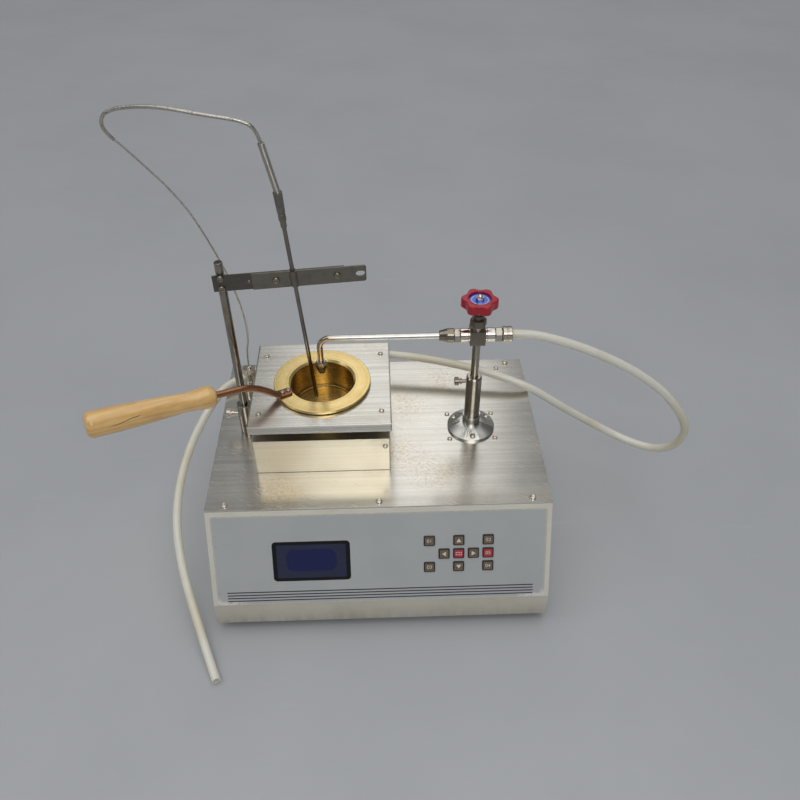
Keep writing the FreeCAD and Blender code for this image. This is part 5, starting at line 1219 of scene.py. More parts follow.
class Repeater:
    """A geometry node tree that repeats a small piece, with named inputs for its sizes."""

    def __init__(self, pattern: Pattern) -> None:
        """Builds the pattern's tree.

        Args:
            pattern: how the piece is repeated.
        """
        self.tree = bpy.data.node_groups.new("repeat_" + pattern.name.lower(), "GeometryNodeTree")
        face = self.tree.interface
        face.new_socket("Geometry", in_out="OUTPUT", socket_type="NodeSocketGeometry")
        face.new_socket("Geometry", in_out="INPUT", socket_type="NodeSocketGeometry")
        asked = {"Piece": "Object", "Material": "Material"}
        if pattern is Pattern.RING:
            asked.update(Count="Int", Radius="Float")
        self.keys = {name: face.new_socket(name, in_out="INPUT", socket_type="NodeSocket" + kind).identifier
            for name, kind in asked.items()}
        self.entry = self.node("NodeGroupInput").outputs
        points, turn = self.ring() if pattern is Pattern.RING else self.places()
        piece = self.node("GeometryNodeObjectInfo", {"Object": self.entry["Piece"]})
        copies = self.node("GeometryNodeInstanceOnPoints",
            {"Points": points, "Instance": piece.outputs["Geometry"], "Rotation": turn})
        real = self.node("GeometryNodeRealizeInstances", {"Geometry": copies.outputs[0]})
        painted = self.node("GeometryNodeSetMaterial",
            {"Geometry": real.outputs[0], "Material": self.entry["Material"]})
        self.node("NodeGroupOutput", {"Geometry": painted.outputs[0]})

    def node(self, kind: str, inputs: Optional[dict] = None, **settings: Any) -> bpy.types.Node:
        """Adds a node of the pattern."""
        return add_node(self.tree, kind, inputs, **settings)

    def places(self) -> tuple[bpy.types.NodeSocket, bpy.types.NodeSocket]:
        """The given places, each with its aim.

        Returns:
            The places and their turns.
        """
        aim = self.node("GeometryNodeInputNamedAttribute", {"Name": "aim"}, data_type="FLOAT_VECTOR")
        turn = self.node("FunctionNodeAlignRotationToVector", {"Vector": aim.outputs["Attribute"]}, axis="Z")
        return self.entry["Geometry"], turn.outputs[0]

    def ring(self) -> tuple[bpy.types.NodeSocket, bpy.types.NodeSocket]:
        """Even places on a circle, each facing out.

        Returns:
            The places and their turns.
        """
        circle = self.node("GeometryNodeMeshCircle",
            {"Vertices": self.entry["Count"], "Radius": self.entry["Radius"]}, fill_type="NONE")
        place = self.node("GeometryNodeInputPosition")
        turn = self.node("FunctionNodeAlignRotationToVector", {"Vector": place.outputs[0]}, axis="X",
            pivot_axis="Z")
        return circle.outputs[0], turn.outputs[0]

    def run(self, piece: Mesh, finish: Finish, places: Sequence[tuple[Vector, Vector]] = (),
            **sizes: Any) -> Mesh:
        """Repeats a piece and gives the result as a plain mesh.

        Args:
            piece: the small piece's mesh, drawn at the origin. It is used up.
            finish: its finish.
            places: the places and aims, where the pattern takes them.
            sizes: values of the tree's other inputs, by name.

        Returns:
            The mesh.
        """
        base = bpy.data.meshes.new("places")
        base.from_pydata([tuple(place) for place, _ in places], [], [])
        if places:
            aims = base.attributes.new("aim", "FLOAT_VECTOR", "POINT")
            aims.data.foreach_set("vector", [part for _, aim in places for part in aim])
        holder = linked(base, "holder")
        sample = linked(piece, "sample")
        modifier = holder.modifiers.new("repeat", "NODES")
        modifier.node_group = self.tree
        for key, value in {"Piece": sample, "Material": finish.material(), **sizes}.items():
            modifier[self.keys[key]] = value
        graph = bpy.context.evaluated_depsgraph_get()
        result = bpy.data.meshes.new_from_object(holder.evaluated_get(graph), depsgraph=graph)
        for made, data in ((holder, base), (sample, piece)):
            bpy.data.objects.remove(made)
            bpy.data.meshes.remove(data)
        return result


AT_PLACES = Repeater(Pattern.PLACES)
ON_RING = Repeater(Pattern.RING)


def add_piece(mesh: Mesh, name: str, finish: Finish, body: str,
        smooth_angle: float = 35.0) -> bpy.types.Object:
    """Puts a mesh in the scene as a piece that rides on a body.

    Args:
        mesh: the mesh, in place.
        name: the piece's name.
        finish: its finish.
        body: the body that carries it.
        smooth_angle: edges flatter than this, in degrees, are shaded smooth.

    Returns:
        The piece.
    """
    mesh.name = name
    mesh.materials.clear()
    piece = dressed(mesh, name, finish, smooth_angle)
    piece.modifiers.new("even_shading", "WEIGHTED_NORMAL").keep_sharp = True
    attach(piece, body)
    log.info("%s rides on %s with %d faces", name, body, len(mesh.polygons))
    return piece


def stand_in(mesh: Mesh, name: str, finish: Finish, node: str,
        smooth_angle: float = 35.0) -> bpy.types.Object:
    """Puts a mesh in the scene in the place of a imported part, whose body carries it too.

    Args:
        mesh: the mesh, in place.
        name: the piece's name.
        finish: its finish.
        node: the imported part.
        smooth_angle: edges flatter than this, in degrees, are shaded smooth.

    Returns:
        The piece.
    """
    piece = add_piece(mesh, name, finish, body_of(frame["nodes"][node])[0], smooth_angle)
    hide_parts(node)
    return piece


def linked(data: Any, name: str) -> bpy.types.Object:
    """An object of the scene with this mesh, curve, lamp or camera.

    Args:
        data: the mesh, curve, lamp or camera.
        name: the object's name.

    Returns:
        The object.
    """
    made = bpy.data.objects.new(name, data)
    bpy.context.scene.collection.objects.link(made)
    return made


def as_mesh(curve: bpy.types.Curve, name: str) -> Mesh:
    """A curve's mesh. The curve is used up.

    Args:
        curve: the curve.
        name: its object's name, for as long as that is there.

    Returns:
        The mesh.
    """
    holder = linked(curve, name)
    bpy.context.view_layer.update()
    mesh = bpy.data.meshes.new_from_object(holder)
    bpy.data.objects.remove(holder)
    bpy.data.curves.remove(curve)
    return mesh


def dressed(mesh: Mesh, name: str, finish: Finish, smooth_angle: float) -> bpy.types.Object:
    """An object of the scene with this mesh and finish, shaded smooth.

    Args:
        mesh: the mesh, in place.
        name: the object's name.
        finish: its finish.
        smooth_angle: edges flatter than this, in degrees, are shaded smooth.

    Returns:
        The object.
    """
    piece = linked(mesh, name)
    mesh.materials.append(finish.material())
    smooth(mesh, smooth_angle)
    return piece


def smooth(mesh: Mesh, angle: float) -> None:
    """Shades a mesh smooth, apart from its sharp edges.

    Args:
        mesh: the mesh.
        angle: edges flatter than this, in degrees, are shaded smooth.
    """
    work = bmesh.new()
    work.from_mesh(mesh)
    limit = math.radians(angle)
    for face in work.faces:
        face.smooth = True
    for edge in work.edges:
        edge.smooth = len(edge.link_faces) == 2 and edge.calc_face_angle(0.0) < limit
    work.to_mesh(mesh)
    work.free()


def soften(node: str, width: float, finish: Finish, choose: Callable = convex) -> None:
    """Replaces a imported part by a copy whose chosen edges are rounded."""
    stand_in(softened(node, width, choose), node + "_shape", finish, node)


def dress(nodes: Iterable[str], finish: Finish) -> None:
    """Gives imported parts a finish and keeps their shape.

    Args:
        nodes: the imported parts.
        finish: their finish.
    """
    for node in nodes:
        part = frame["nodes"][node]
        part.data.materials.clear()
        part.data.materials.append(finish.material())
        log.info("%s keeps its shape", node)


class Look:
    """Every finish of the tester, by name."""

    FLOOR = FloorPaint("floor_paint", "")
    CASE = PowderCoat("case_paint", "case_paint")
    PLATE = BrushedSteel("brushed_plate", "stainless", rough=0.235, stain_share=0.85,
        stain_places=((0.020, 0.075, 0.0), (0.055, 0.045, 0.0), (0.030, 0.150, 0.0), (0.075, 0.190, 0.0),
        (-0.10, 0.020, 0.0)))
    COVER = BrushedSteel("brushed_cover", "stainless", colour=(0.86, 0.84, 0.77), dull=(0.56, 0.54, 0.48),
        rough=0.28, line_depth=0.016 * MM, stain_share=0.3, painted_fold_node="heater_cover",
        stain_places=((-0.120, 0.060, 0.065), (-0.005, 0.170, 0.065)))
    BOX = BrushedSteel("brushed_box", "stainless", colour=(0.84, 0.79, 0.66), dull=(0.72, 0.66, 0.53),
        grain=Grain.LEVEL, rough=0.36, stain_share=0.35, painted_foot_shadow_node="heater_box",
        stain_places=((-0.124, 0.047, 0.002), (0.012, 0.047, 0.045)))
    BRASS = TurnedMetal("turned_brass", "brass", colour=(0.86, 0.67, 0.31), deep=(0.66, 0.46, 0.15),
        centre=(-0.055, 0.1112, 0.0), rings=1700.0, rough=0.27, ring_depth=0.014 * MM, tarnish=0.6,
        inner_wall_reach=31.8 * MM, inner_wall_floor=31.5 * MM)
    FLANGE = TurnedMetal("turned_flange", "stainless", colour=(0.80, 0.79, 0.74), deep=(0.36, 0.35, 0.32),
        centre=(0.100, 0.111, 0.0), rings=1500.0, rough=0.25, ring_depth=0.014 * MM, tarnish=0.3,
        painted_reflection_sectors=((-44.0, 30.0, 0.9), (-148.0, 36.0, 0.5), (60.0, 40.0, 0.7), (150.0, 28.0, 0.6),
        (-94.0, 16.0, 0.16)))
    SLEEVE = DrawnMetal("drawn_sleeve", "stainless", colour=(0.42, 0.385, 0.33), deep=(0.22, 0.20, 0.17),
        rough=0.16)
    NICKEL = PlatedMetal("nickel_plate", "nickel", colour=(0.72, 0.67, 0.59), deep=(0.40, 0.36, 0.305),
        rough=0.13)
    NICKEL_WARM = PlatedMetal("nickel_warm", "nickel", colour=(0.55, 0.50, 0.42), deep=(0.32, 0.28, 0.22),
        rough=0.18)
    NICKEL_DULL = PlatedMetal("nickel_dull", "nickel", colour=(0.215, 0.19, 0.155),
        deep=(0.12, 0.105, 0.085), rough=0.44)
    POST_BRIGHT = PlatedMetal("post_plate", "stainless", colour=(0.42, 0.38, 0.325),
        deep=(0.22, 0.195, 0.165), rough=0.16)
    NICKEL_DARK = PlatedMetal("nickel_dark", "nickel", colour=(0.30, 0.26, 0.215), deep=(0.10, 0.085, 0.07),
        rough=0.18)
    JET_TUBE = DrawnMetal("jet_tube_plate", "nickel", colour=(0.80, 0.77, 0.73), deep=(0.58, 0.54, 0.49),
        grain=Grain.ACROSS, rough=0.11, line_depth=0.002 * MM, heat=(0.40, 0.27, 0.13),
        heat_place=(-0.0545, 0.111, 0.112), heat_reach=34.0 * MM)
    NOZZLE = DrawnMetal("nozzle_steel", "nickel", colour=(0.34, 0.32, 0.31), deep=(0.14, 0.13, 0.12),
        rough=0.17, heat=(0.03, 0.025, 0.02), heat_place=(-0.0545, 0.111, 0.076), heat_reach=9.0 * MM)
    POST = DrawnMetal("post_steel", "dark_steel", colour=(0.36, 0.33, 0.285), deep=(0.18, 0.16, 0.135),
        rough=0.15)
    STRIP_BACK = DrawnMetal("strip_back_steel", "dark_steel", colour=(0.16, 0.145, 0.13),
        deep=(0.10, 0.09, 0.08), grain=Grain.LEVEL, rough=0.36)
    STRIP_FRONT = DrawnMetal("strip_front_steel", "dark_steel", colour=(0.25, 0.23, 0.19),
        deep=(0.17, 0.155, 0.13), grain=Grain.LEVEL, rough=0.38)
    PROBE = DrawnMetal("probe_steel", "dark_steel", colour=(0.29, 0.265, 0.235), deep=(0.13, 0.118, 0.105),
        rough=0.18)
    PROBE_SLEEVE = DrawnMetal("probe_sleeve_steel", "braided_steel", colour=(0.52, 0.50, 0.45),
        deep=(0.34, 0.32, 0.28), rough=0.30)
    BRAID = Braid("cable_braid", "braided_steel", colour=(0.78, 0.74, 0.67), deep=(0.20, 0.185, 0.16),
        strands=6.0, pitch=3.2 * MM, depth=0.12 * MM, rough=0.26)
    LEAD = Braid("lead_braid", "braided_steel", colour=(0.86, 0.83, 0.77), deep=(0.34, 0.32, 0.28),
        strands=3.0, pitch=2.4 * MM, depth=0.10 * MM, rough=0.3)
    COPPER = DrawnMetal("copper_bar", "copper_bar", colour=(0.44, 0.22, 0.12), deep=(0.26, 0.11, 0.055),
        rough=0.26, heat=(0.16, 0.07, 0.04), heat_place=(-0.098, 0.092, 0.070), heat_reach=22.0 * MM)
    RED = MouldedPlastic("wheel_red", "wheel_red", colour=(0.40, 0.004, 0.018), light=(0.48, 0.010, 0.028),
        rough=0.34, coat=0.25)
    BLUE = DiscFilm("disc_film", "disc_blue")
    HOSE = MilkyHose("milky_hose", "hose_rubber")
    LABEL = LabelFilm("label_film", "label_film")
    PRINT_DARK = MouldedPlastic("dark_print", "label_film", colour=tint(44, 48, 60), light=tint(56, 60, 72),
        rough=0.4)
    PRINT_PALE = MouldedPlastic("pale_print", "label_film", colour=tint(226, 216, 198),
        light=tint(236, 228, 212), rough=0.4)
    WINDOW = DisplayGlass("display_glass", "display_window")
    KEY = KeyCap("key_brown", "key_brown")
    KEY_RED = KeyCap("key_red", "key_red", middle=tint(176, 26, 48), frame_tint=tint(206, 70, 86))
    INLET = InletPlastic("inlet_plastic", "black_plastic")
    ROCKER = RockerPlastic("rocker_plastic", "black_plastic")
    RUBBER = MouldedPlastic("foot_rubber", "foot_rubber", rough=0.7)
    BOARD = MouldedPlastic("circuit_board", "circuit_board", colour=(0.02, 0.14, 0.05),
        light=(0.03, 0.18, 0.07))
    FIBRE = MouldedPlastic("fibre_board", "fibre_board", colour=(0.60, 0.56, 0.48),
        light=(0.70, 0.67, 0.60), rough=0.9, skin_depth=0.1 * MM)
    IRON = PlatedMetal("hot_iron", "hot_iron", colour=(0.10, 0.09, 0.08), deep=(0.05, 0.045, 0.04),
        rough=0.5)
    ELEMENT = PlatedMetal("element_steel", "element_steel", colour=(0.22, 0.19, 0.16), rough=0.45)
    MOTOR = MouldedPlastic("motor_paint", "motor_paint", colour=(0.06, 0.06, 0.06), rough=0.5)


@dataclass
class Fasteners:
    """Screw heads, nuts and thumb screws, shared by the sub-assemblies."""

    head_r: float = 3.3 * MM
    head_h: float = 2.1 * MM
    small_r: float = 2.6 * MM
    small_h: float = 1.7 * MM
    socket_share: float = 0.9
    neck_r: float = 2.0 * MM
    neck_l: float = 4.4 * MM
    collar_r: float = 3.2 * MM
    collar_l: float = 2.2 * MM
    waist_r: float = 2.2 * MM
    waist_l: float = 1.2 * MM
    knob_r: float = 4.5 * MM
    knob_l: float = 4.2 * MM
    knurl_count: int = 26
    knurl_w: float = 0.62 * MM
    knurl_depth: float = 0.32 * MM

    def head(self, radius: float, height: float) -> Mesh:
        """A domed screw head on the origin, with a hexagon socket.

        Args:
            radius, height: its sizes.

        Returns:
            The mesh.
        """
        flats = radius * self.socket_share
        dome = [(radius, 0.0), (radius, height * 0.35), (radius * 0.97, height * 0.55),
            (radius * 0.90, height * 0.76), (radius * 0.79, height * 0.92), (radius * 0.66, height),
            (radius * 0.56, height)]
        rings = [(0.0, 0.0)] + dome
        rings += [(hexagon(flats), height * 0.94), (hexagon(flats * 0.98), height * 0.38),
            (0.0, height * 0.25)]
        return stacked(rings, Vector(), sides=36)

    def heads(self, places: Sequence[tuple[Vector, Vector]], small: bool, finish: Finish) -> Mesh:
        """Screw heads on places, each turned to its aim."""
        radius, height = (self.small_r, self.small_h) if small else (self.head_r, self.head_h)
        return AT_PLACES.run(self.head(radius, height), finish, places)

    def from_node(self, node: str, finish: Finish) -> Mesh:
        """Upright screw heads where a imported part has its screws, large or small as they are there.

        Args:
            node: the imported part.
            finish: the heads' finish.

        Returns:
            The mesh.
        """
        groups: dict[bool, list] = {True: [], False: []}
        for low, high in solids(node):
            small = high.x - low.x < self.head_r + self.small_r
            rise = high.z - (self.small_h if small else self.head_h)
            groups[small].append((Vector(((low.x + high.x) / 2, (low.y + high.y) / 2, rise)), UP))
        return joined([self.heads(places, small, finish) for small, places in groups.items() if places])

    def knurls(self, count: int, radius: float, height: float, base: Vector, axis: Vector,
            finish: Finish) -> Mesh:
        """Ridges round a knurled band, standing on its surface.

        Args:
            count: how many ridges.
            radius: the band's radius.
            height: the ridges' length along the axis.
            base: the middle of the band's foot.
            axis: the band's direction.
            finish: their finish.

        Returns:
            The mesh.
        """
        half = self.knurl_w / 2
        deep = self.knurl_depth
        inner = [Vector((-deep, y, z)) for y, z in ((-half, 0), (half, 0), (half, height), (-half, height))]
        crest = [Vector((deep, y * 0.35, z)) for y, z in ((-half, deep), (half, deep),
            (half, height - deep), (-half, height - deep))]
        ridge = lofted([inner, crest])
        ring = ON_RING.run(ridge, finish, Count=count, Radius=radius)
        ring.transform(Matrix.Translation(base) @ UP.rotation_difference(axis).to_matrix().to_4x4())
        return ring

    def thumb_screw(self, base: Vector, axis: Vector, finish: Finish) -> Mesh:
        """A thumb screw with a knurled knob, whose neck starts at the base.

        Args:
            base: where the neck starts.
            axis: the screw's direction.
            finish: its finish.

        Returns:
            The mesh.
        """
        knob = self.neck_l + self.collar_l + self.waist_l
        end = knob + self.knob_l
        edge = 0.3 * MM
        outline = [(self.neck_r, -2.0 * MM), (self.neck_r, self.neck_l), (self.collar_r, self.neck_l, edge),
            (self.collar_r, self.neck_l + self.collar_l, edge), (self.waist_r, self.neck_l + self.collar_l),
            (self.waist_r, knob), (self.knob_r, knob, edge), (self.knob_r, end, edge),
            (self.knob_r * 0.62, end), (self.knob_r * 0.52, end - edge)]
        body = solid(outline, base, axis, 48)
        ridges = self.knurls(self.knurl_count, self.knob_r, self.knob_l, base + axis * knob, axis, finish)
        return joined([body, ridges])


class Cord:
    """A free cord: its route, its mesh and what it does when the tester moves."""

    def __init__(self, name: str, diameter: float, points: Sequence[Triple], sides: int = 20) -> None:
        """Reads the smooth centre line.

        Args:
            name: the piece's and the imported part's name.
            diameter: in metres.
            points: the route, from the plate's front middle, in metres.
            sides: how many sides the round section has.
        """
        self.name = name
        self.diameter = diameter
        self.route = [PLACES.at(*point) for point in points]
        self.line = self.smooth_line(self.route)
        self.sides = sides
        self.length = sum((b - a).length for a, b in zip(self.line, self.line[1:]))

    @staticmethod
    def smooth_line(route: Sequence[Vector]) -> list[Vector]:
        """The points of the smooth curve that the route's points control.

        Args:
            route: the control points.

        Returns:
            The points.
        """
        curve = bpy.data.curves.new("route", "CURVE")
        curve.dimensions = "3D"
        spline = curve.splines.new("NURBS")
        spline.points.add(len(route) - 1)
        for control, point in zip(spline.points, route):
            control.co = (*point, 1.0)
        spline.order_u = 3
        spline.use_endpoint_u = True
        curve.resolution_u = 8
        mesh = as_mesh(curve, "route")
        line = [vertex.co.copy() for vertex in mesh.vertices]
        bpy.data.meshes.remove(mesh)
        return line

    def mesh(self, bore: float = 0.0) -> Mesh:
        """The tube's mesh, with its own map: round it across, along it in metres.

        Args:
            bore: the inner radius, or 0 for a solid cord.

        Returns:
            The mesh.
        """
        work = bmesh.new()
        layer = work.loops.layers.uv.new("map")
        along = [0.0]
        for a, b in zip(self.line, self.line[1:]):
            along.append(along[-1] + (b - a).length)
        skins = []
        for radius in (self.diameter / 2, bore)[:2 if bore else 1]:
            rings = rings_round(self.line, self.sides,
                lambda i, angle: (radius * math.cos(angle), radius * math.sin(angle)))
            made = [[work.verts.new(p) for p in ring] for ring in rings]
            inner = bool(skins)
            skins.append(made)
            for i in range(len(made) - 1):
                for k in range(self.sides):
                    marks = [(k, i), (k + 1, i), (k + 1, i + 1), (k, i + 1)][::-1 if inner else 1]
                    face = work.faces.new([made[v][u % self.sides] for u, v in marks])
                    for loop, (u, v) in zip(face.loops, marks):
                        loop[layer].uv = (u / self.sides, along[v])
        for end, flip in ((0, True), (-1, False)):
            if not bore:
                work.faces.new(skins[0][end][::-1 if flip else 1])
                continue
            for k in range(self.sides):
                n = (k + 1) % self.sides
                corners = [skins[0][end][k], skins[0][end][n], skins[1][end][n], skins[1][end][k]]
                work.faces.new(corners[::-1] if flip else corners)
        mesh = finished(work)
        mesh.name = self.name
        return mesh

    def lay(self, finish: Finish, bodies: tuple[str, str], start: Vector, end: Vector, far_end: str,
            stiffness: str, lay: str, bore: float = 0.0, with_pieces: Iterable = ()) -> bpy.types.Object:
        """Puts the cord in the scene, bent between two bodies.

        Args:
            finish: its finish.
            bodies: the body at the blend's start and the one at its end.
            start: where it stops following the first body alone.
            end: where it follows the second body alone.
            far_end: what its far end is; not used.
            stiffness: how stiff it is; not used.
            lay: how it lies; not used.
            bore: the inner radius.
            with_pieces: the pieces on it; not used.

        Returns:
            The cord's piece.
        """
        piece = dressed(self.mesh(bore), self.name + "_line", finish, 60.0)
        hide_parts(self.name)
        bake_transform(piece, *bodies, start=tuple(start), end=tuple(end))
        tuple(self.line[0])
        [tuple(p) for p in self.line]
        log.info("%s is %.3f m long", self.name, self.length)
        return piece


@dataclass
class Cords:
    """The gas hose, and the probe's cable and thin lead."""

    hose_dia: float = 9.0 * MM
    hose_bore: float = 2.6 * MM
    cable_dia: float = 3.2 * MM
    lead_dia: float = 1.9 * MM

    CABLE = [(-0.08745, 0.11469, 0.3183), (-0.09007, 0.1144, 0.3315), (-0.1035, 0.1154, 0.3374),
        (-0.131, 0.1165, 0.3414), (-0.163, 0.1187, 0.3474), (-0.19, 0.1213, 0.3472),
        (-0.2087, 0.1237, 0.3428), (-0.2148, 0.1253, 0.3349), (-0.2148, 0.1273, 0.3251),
        (-0.2092, 0.1296, 0.3171)]
    LEAD = [(-0.2092, 0.1296, 0.3171), (-0.2031, 0.1321, 0.3084), (-0.192, 0.1355, 0.292),
        (-0.176, 0.141, 0.267), (-0.163, 0.1455, 0.241), (-0.1505, 0.15, 0.203), (-0.1405, 0.155, 0.165),
        (-0.134, 0.16, 0.123), (-0.1335, 0.165, 0.086), (-0.1395, 0.169, 0.061), (-0.1395, 0.169, 0.043)]
    HOSE_START = [(0.134, 0.111, 0.1223), (0.152, 0.111, 0.1223), (0.1775, 0.109, 0.116),
        (0.203, 0.107, 0.1075), (0.219, 0.106, 0.1001)]
    HOSE = [(0.219, 0.106, 0.1001), (0.235, 0.105, 0.0927), (0.265, 0.1045, 0.0745), (0.293, 0.104, 0.0525),
        (0.3155, 0.1045, 0.027), (0.333, 0.106, -0.001), (0.3365, 0.1095, -0.0215),
        (0.3335, 0.1155, -0.0425), (0.323, 0.127, -0.06), (0.3075, 0.141, -0.068), (0.286, 0.154, -0.067),
        (0.26, 0.1625, -0.056), (0.23, 0.1625, -0.0355), (0.202, 0.161, -0.014), (0.179, 0.163, 0.0025),
        (0.158, 0.1685, 0.011), (0.132, 0.178, 0.016), (0.103, 0.187, 0.02), (0.068, 0.196, 0.0235),
        (0.03, 0.2035, 0.026), (-0.01, 0.208, 0.0265), (-0.055, 0.21, 0.024), (-0.095, 0.207, 0.018),
        (-0.13, 0.2, 0.0115), (-0.155, 0.1905, 0.0083), (-0.1715, 0.1775, 0.0076), (-0.183, 0.161, 0.0005),
        (-0.195, 0.14, -0.0105), (-0.206, 0.117, -0.0245), (-0.214, 0.092, -0.0405),
        (-0.218, 0.064, -0.0575), (-0.2165, 0.036, -0.0745), (-0.2095, 0.007, -0.091),
        (-0.199, -0.022, -0.1055), (-0.1875, -0.049, -0.117), (-0.1765, -0.075, -0.126),
        (-0.1686, -0.093, -0.1307), (-0.1635, -0.104, -0.1312)]

    def make(self, plug: bpy.types.Object) -> None:
        """Lays all four lengths.

        Args:
            plug: the piece on the lead's end.
        """
        cable = Cord("probe_cable", self.cable_dia, self.CABLE)
        cable.lay(Look.BRAID, ("probe", "stand"), cable.route[1], cable.route[-2], "object", "stiff",
            "loose")
        lead = Cord("probe_lead", self.lead_dia, self.LEAD, 12)
        lead.lay(Look.LEAD, ("stand", "case"), PLACES.at(-0.163, 0.16, 0.29), PLACES.at(-0.163, 0.16, 0.07),
            "plug", "medium", "hanging", with_pieces=[plug])
        first = Cord("hose_start", self.hose_dia, self.HOSE_START, 28)
        first.lay(Look.HOSE, ("valve", "sleeve"), first.route[1], first.route[-2], "object", "medium",
            "loose", self.hose_bore)
        hose = Cord("gas_hose", self.hose_dia, self.HOSE, 28)
        hose.lay(Look.HOSE, ("sleeve", "case"), PLACES.at(0.219, 0.106, 0.1),
            PLACES.at(0.209, 0.152, -0.0015), "bare", "medium", "loose", self.hose_bore)


@dataclass
class Studio:
    """The floor, the light and the camera."""

    camera_place: Triple = (0.00713, -0.50194, 0.58328)
    yaw: float = 1.575
    pitch: float = 41.556
    roll: float = -0.388
    lens: float = 35.296
    sensor: float = 36.0
    floor_size: float = 9.0
    sky: tuple[tuple[float, Triple], ...] = ((0.0, (0.46, 0.465, 0.475)), (0.05, (0.46, 0.465, 0.475)),
        (0.22, (0.17, 0.172, 0.177)), (0.76, (0.16, 0.162, 0.166)), (0.87, (1.2, 1.205, 1.215)),
        (1.0, (1.2, 1.205, 1.215)))
    lamps: tuple[tuple[str, Triple, Triple, tuple[float, float], float],
        ...] = (("ceiling", (0.08, 1.94, 2.0), (0.02, 0.0, 0.14), (0.95, 0.85), 3.0),
        ("side", (-1.6, -0.2, 1.7), (0, 0, 0.1), (0.8, 0.8), 3.0),
        ("front", (0.16, -1.40, 1.56), (-0.05, 0, 0.14), (1.0, 0.8), 6.9))

    def camera(self) -> None:
        """The camera at the photograph's place and angle."""
        data = bpy.data.cameras.new("camera")
        data.lens = self.lens
        data.sensor_width = self.sensor
        data.clip_start = 0.01
        data.clip_end = 50.0
        turns = ((-self.yaw, "Z"), (90 - self.pitch, "X"), (self.roll, "Z"))
        yaw, pitch, roll = [Matrix.Rotation(math.radians(angle), 4, axis) for angle, axis in turns]
        camera = linked(data, "camera")
        camera.matrix_world = Matrix.Translation(PLACES.at(*self.camera_place)) @ yaw @ pitch @ roll
        bpy.context.scene.camera = camera

    def floor(self) -> None:
        """A plain pale floor."""
        half = self.floor_size / 2
        mesh = bpy.data.meshes.new("floor")
        mesh.from_pydata([(-half, -half, 0), (half, -half, 0), (half, half, 0), (-half, half, 0)], [],
            [(0, 1, 2, 3)])
        mesh.materials.append(Look.FLOOR.material())
        linked(mesh, "floor")

    def lamp(self, name: str, place: Triple, aim: Triple, size: tuple[float, float], power: float) -> None:
        """A soft rectangular lamp.

        Args:
            name: the lamp's name.
            place: where it hangs, in metres in the row frame.
            aim: the point that it lights.
            size: its width and depth.
            power: in watts.
        """
        data = bpy.data.lights.new(name, "AREA")
        data.shape = "RECTANGLE"
        data.size, data.size_y = size
        data.energy = power
        lamp = linked(data, name)
        lamp.location = place
        lamp.rotation_mode = "QUATERNION"
        lamp.rotation_quaternion = (Vector(aim) - Vector(place)).to_track_quat("-Z", "Y")

    def light(self) -> None:
        """A pale world and soft lamps."""
        world = bpy.data.worlds.new("studio")
        bpy.context.scene.world = world
        world.use_nodes = True
        tree = world.node_tree
        coords = add_node(tree, "ShaderNodeTexCoord")
        parts = add_node(tree, "ShaderNodeSeparateXYZ", {0: coords.outputs["Generated"]})
        ramp = add_node(tree, "ShaderNodeValToRGB", {0: parts.outputs[2]})
        stops = ramp.color_ramp.elements
        while len(stops) < len(self.sky):
            stops.new(0.5)
        for stop, (place, colour) in zip(stops, self.sky):
            stop.position = place
            stop.color = (*colour, 1.0)
        tree.links.new(ramp.outputs[0], tree.nodes["Background"].inputs[0])
        for lamp in self.lamps:
            self.lamp(*lamp)

    def make(self) -> None:
        """Camera, floor and light."""
        scene = bpy.context.scene
        scene.view_settings.view_transform = "Standard"
        self.camera()
        self.floor()
        self.light()


def outer_edges(node: str, faces: int = 2) -> Callable[[bmesh.types.BMEdge], bool]:
    """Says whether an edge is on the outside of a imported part's box.

    Args:
        node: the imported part.
        faces: how many of the box's faces both ends of the edge are on.

    Returns:
        The test.
    """
    low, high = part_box(node)
    slack = 0.02 * MM

    def on_box(vertex: bmesh.types.BMVert) -> bool:
        """Whether a vertex lies on enough faces of the box."""
        near = [min(abs(c - a), abs(c - b)) < slack for c, a, b in zip(vertex.co, low, high)]
        return sum(near) >= faces

    return lambda edge: edge.is_convex and all(on_box(vertex) for vertex in edge.verts)


@dataclass
class CaseWork:
    """The folded case, its top plate, its feet and the boards inside."""

    fold: float = 0.9 * MM
    plate_edge: float = 0.35 * MM
    side_x: float = 169.9 * MM

    def shell(self) -> None:
        """The shell with its outer folds rounded, and the plate with its edges broken."""
        soften("case_shell", self.fold, Look.CASE, lambda edge: edge.is_convex
            and all(abs(vertex.co.x - PLACES.middle) > self.side_x for vertex in edge.verts))
        soften("base_tray", 0.3 * MM, Look.CASE, outer_edges("base_tray"))
        soften("top_plate", self.plate_edge, Look.PLATE, outer_edges("top_plate"))
        soften("feet", 1.2 * MM, Look.RUBBER)

    def make(self, fasteners: Fasteners) -> None:
        """Builds the case.

        Args:
            fasteners: makes the screw heads and thumb screws.
        """
        self.shell()
        heads = fasteners.from_node("plate_screws", Look.NICKEL)
        stand_in(heads, "plate_screw_heads", Look.NICKEL, "plate_screws")
        dress(["foot_screws"], Look.NICKEL)
        dress(["display_board", "control_board"], Look.BOARD)


class Mark(Enum):
    """What is printed on a key."""

    UP = "an arrow that points up"
    DOWN = "an arrow that points down"
    LEFT = "an arrow that points left"
    RIGHT = "an arrow that points right"
    ONE = "01"
    TWO = "02"
    THREE = "03"
    FOUR = "04"
    FIVE = "05"
    BARS = "two rows of short bars"


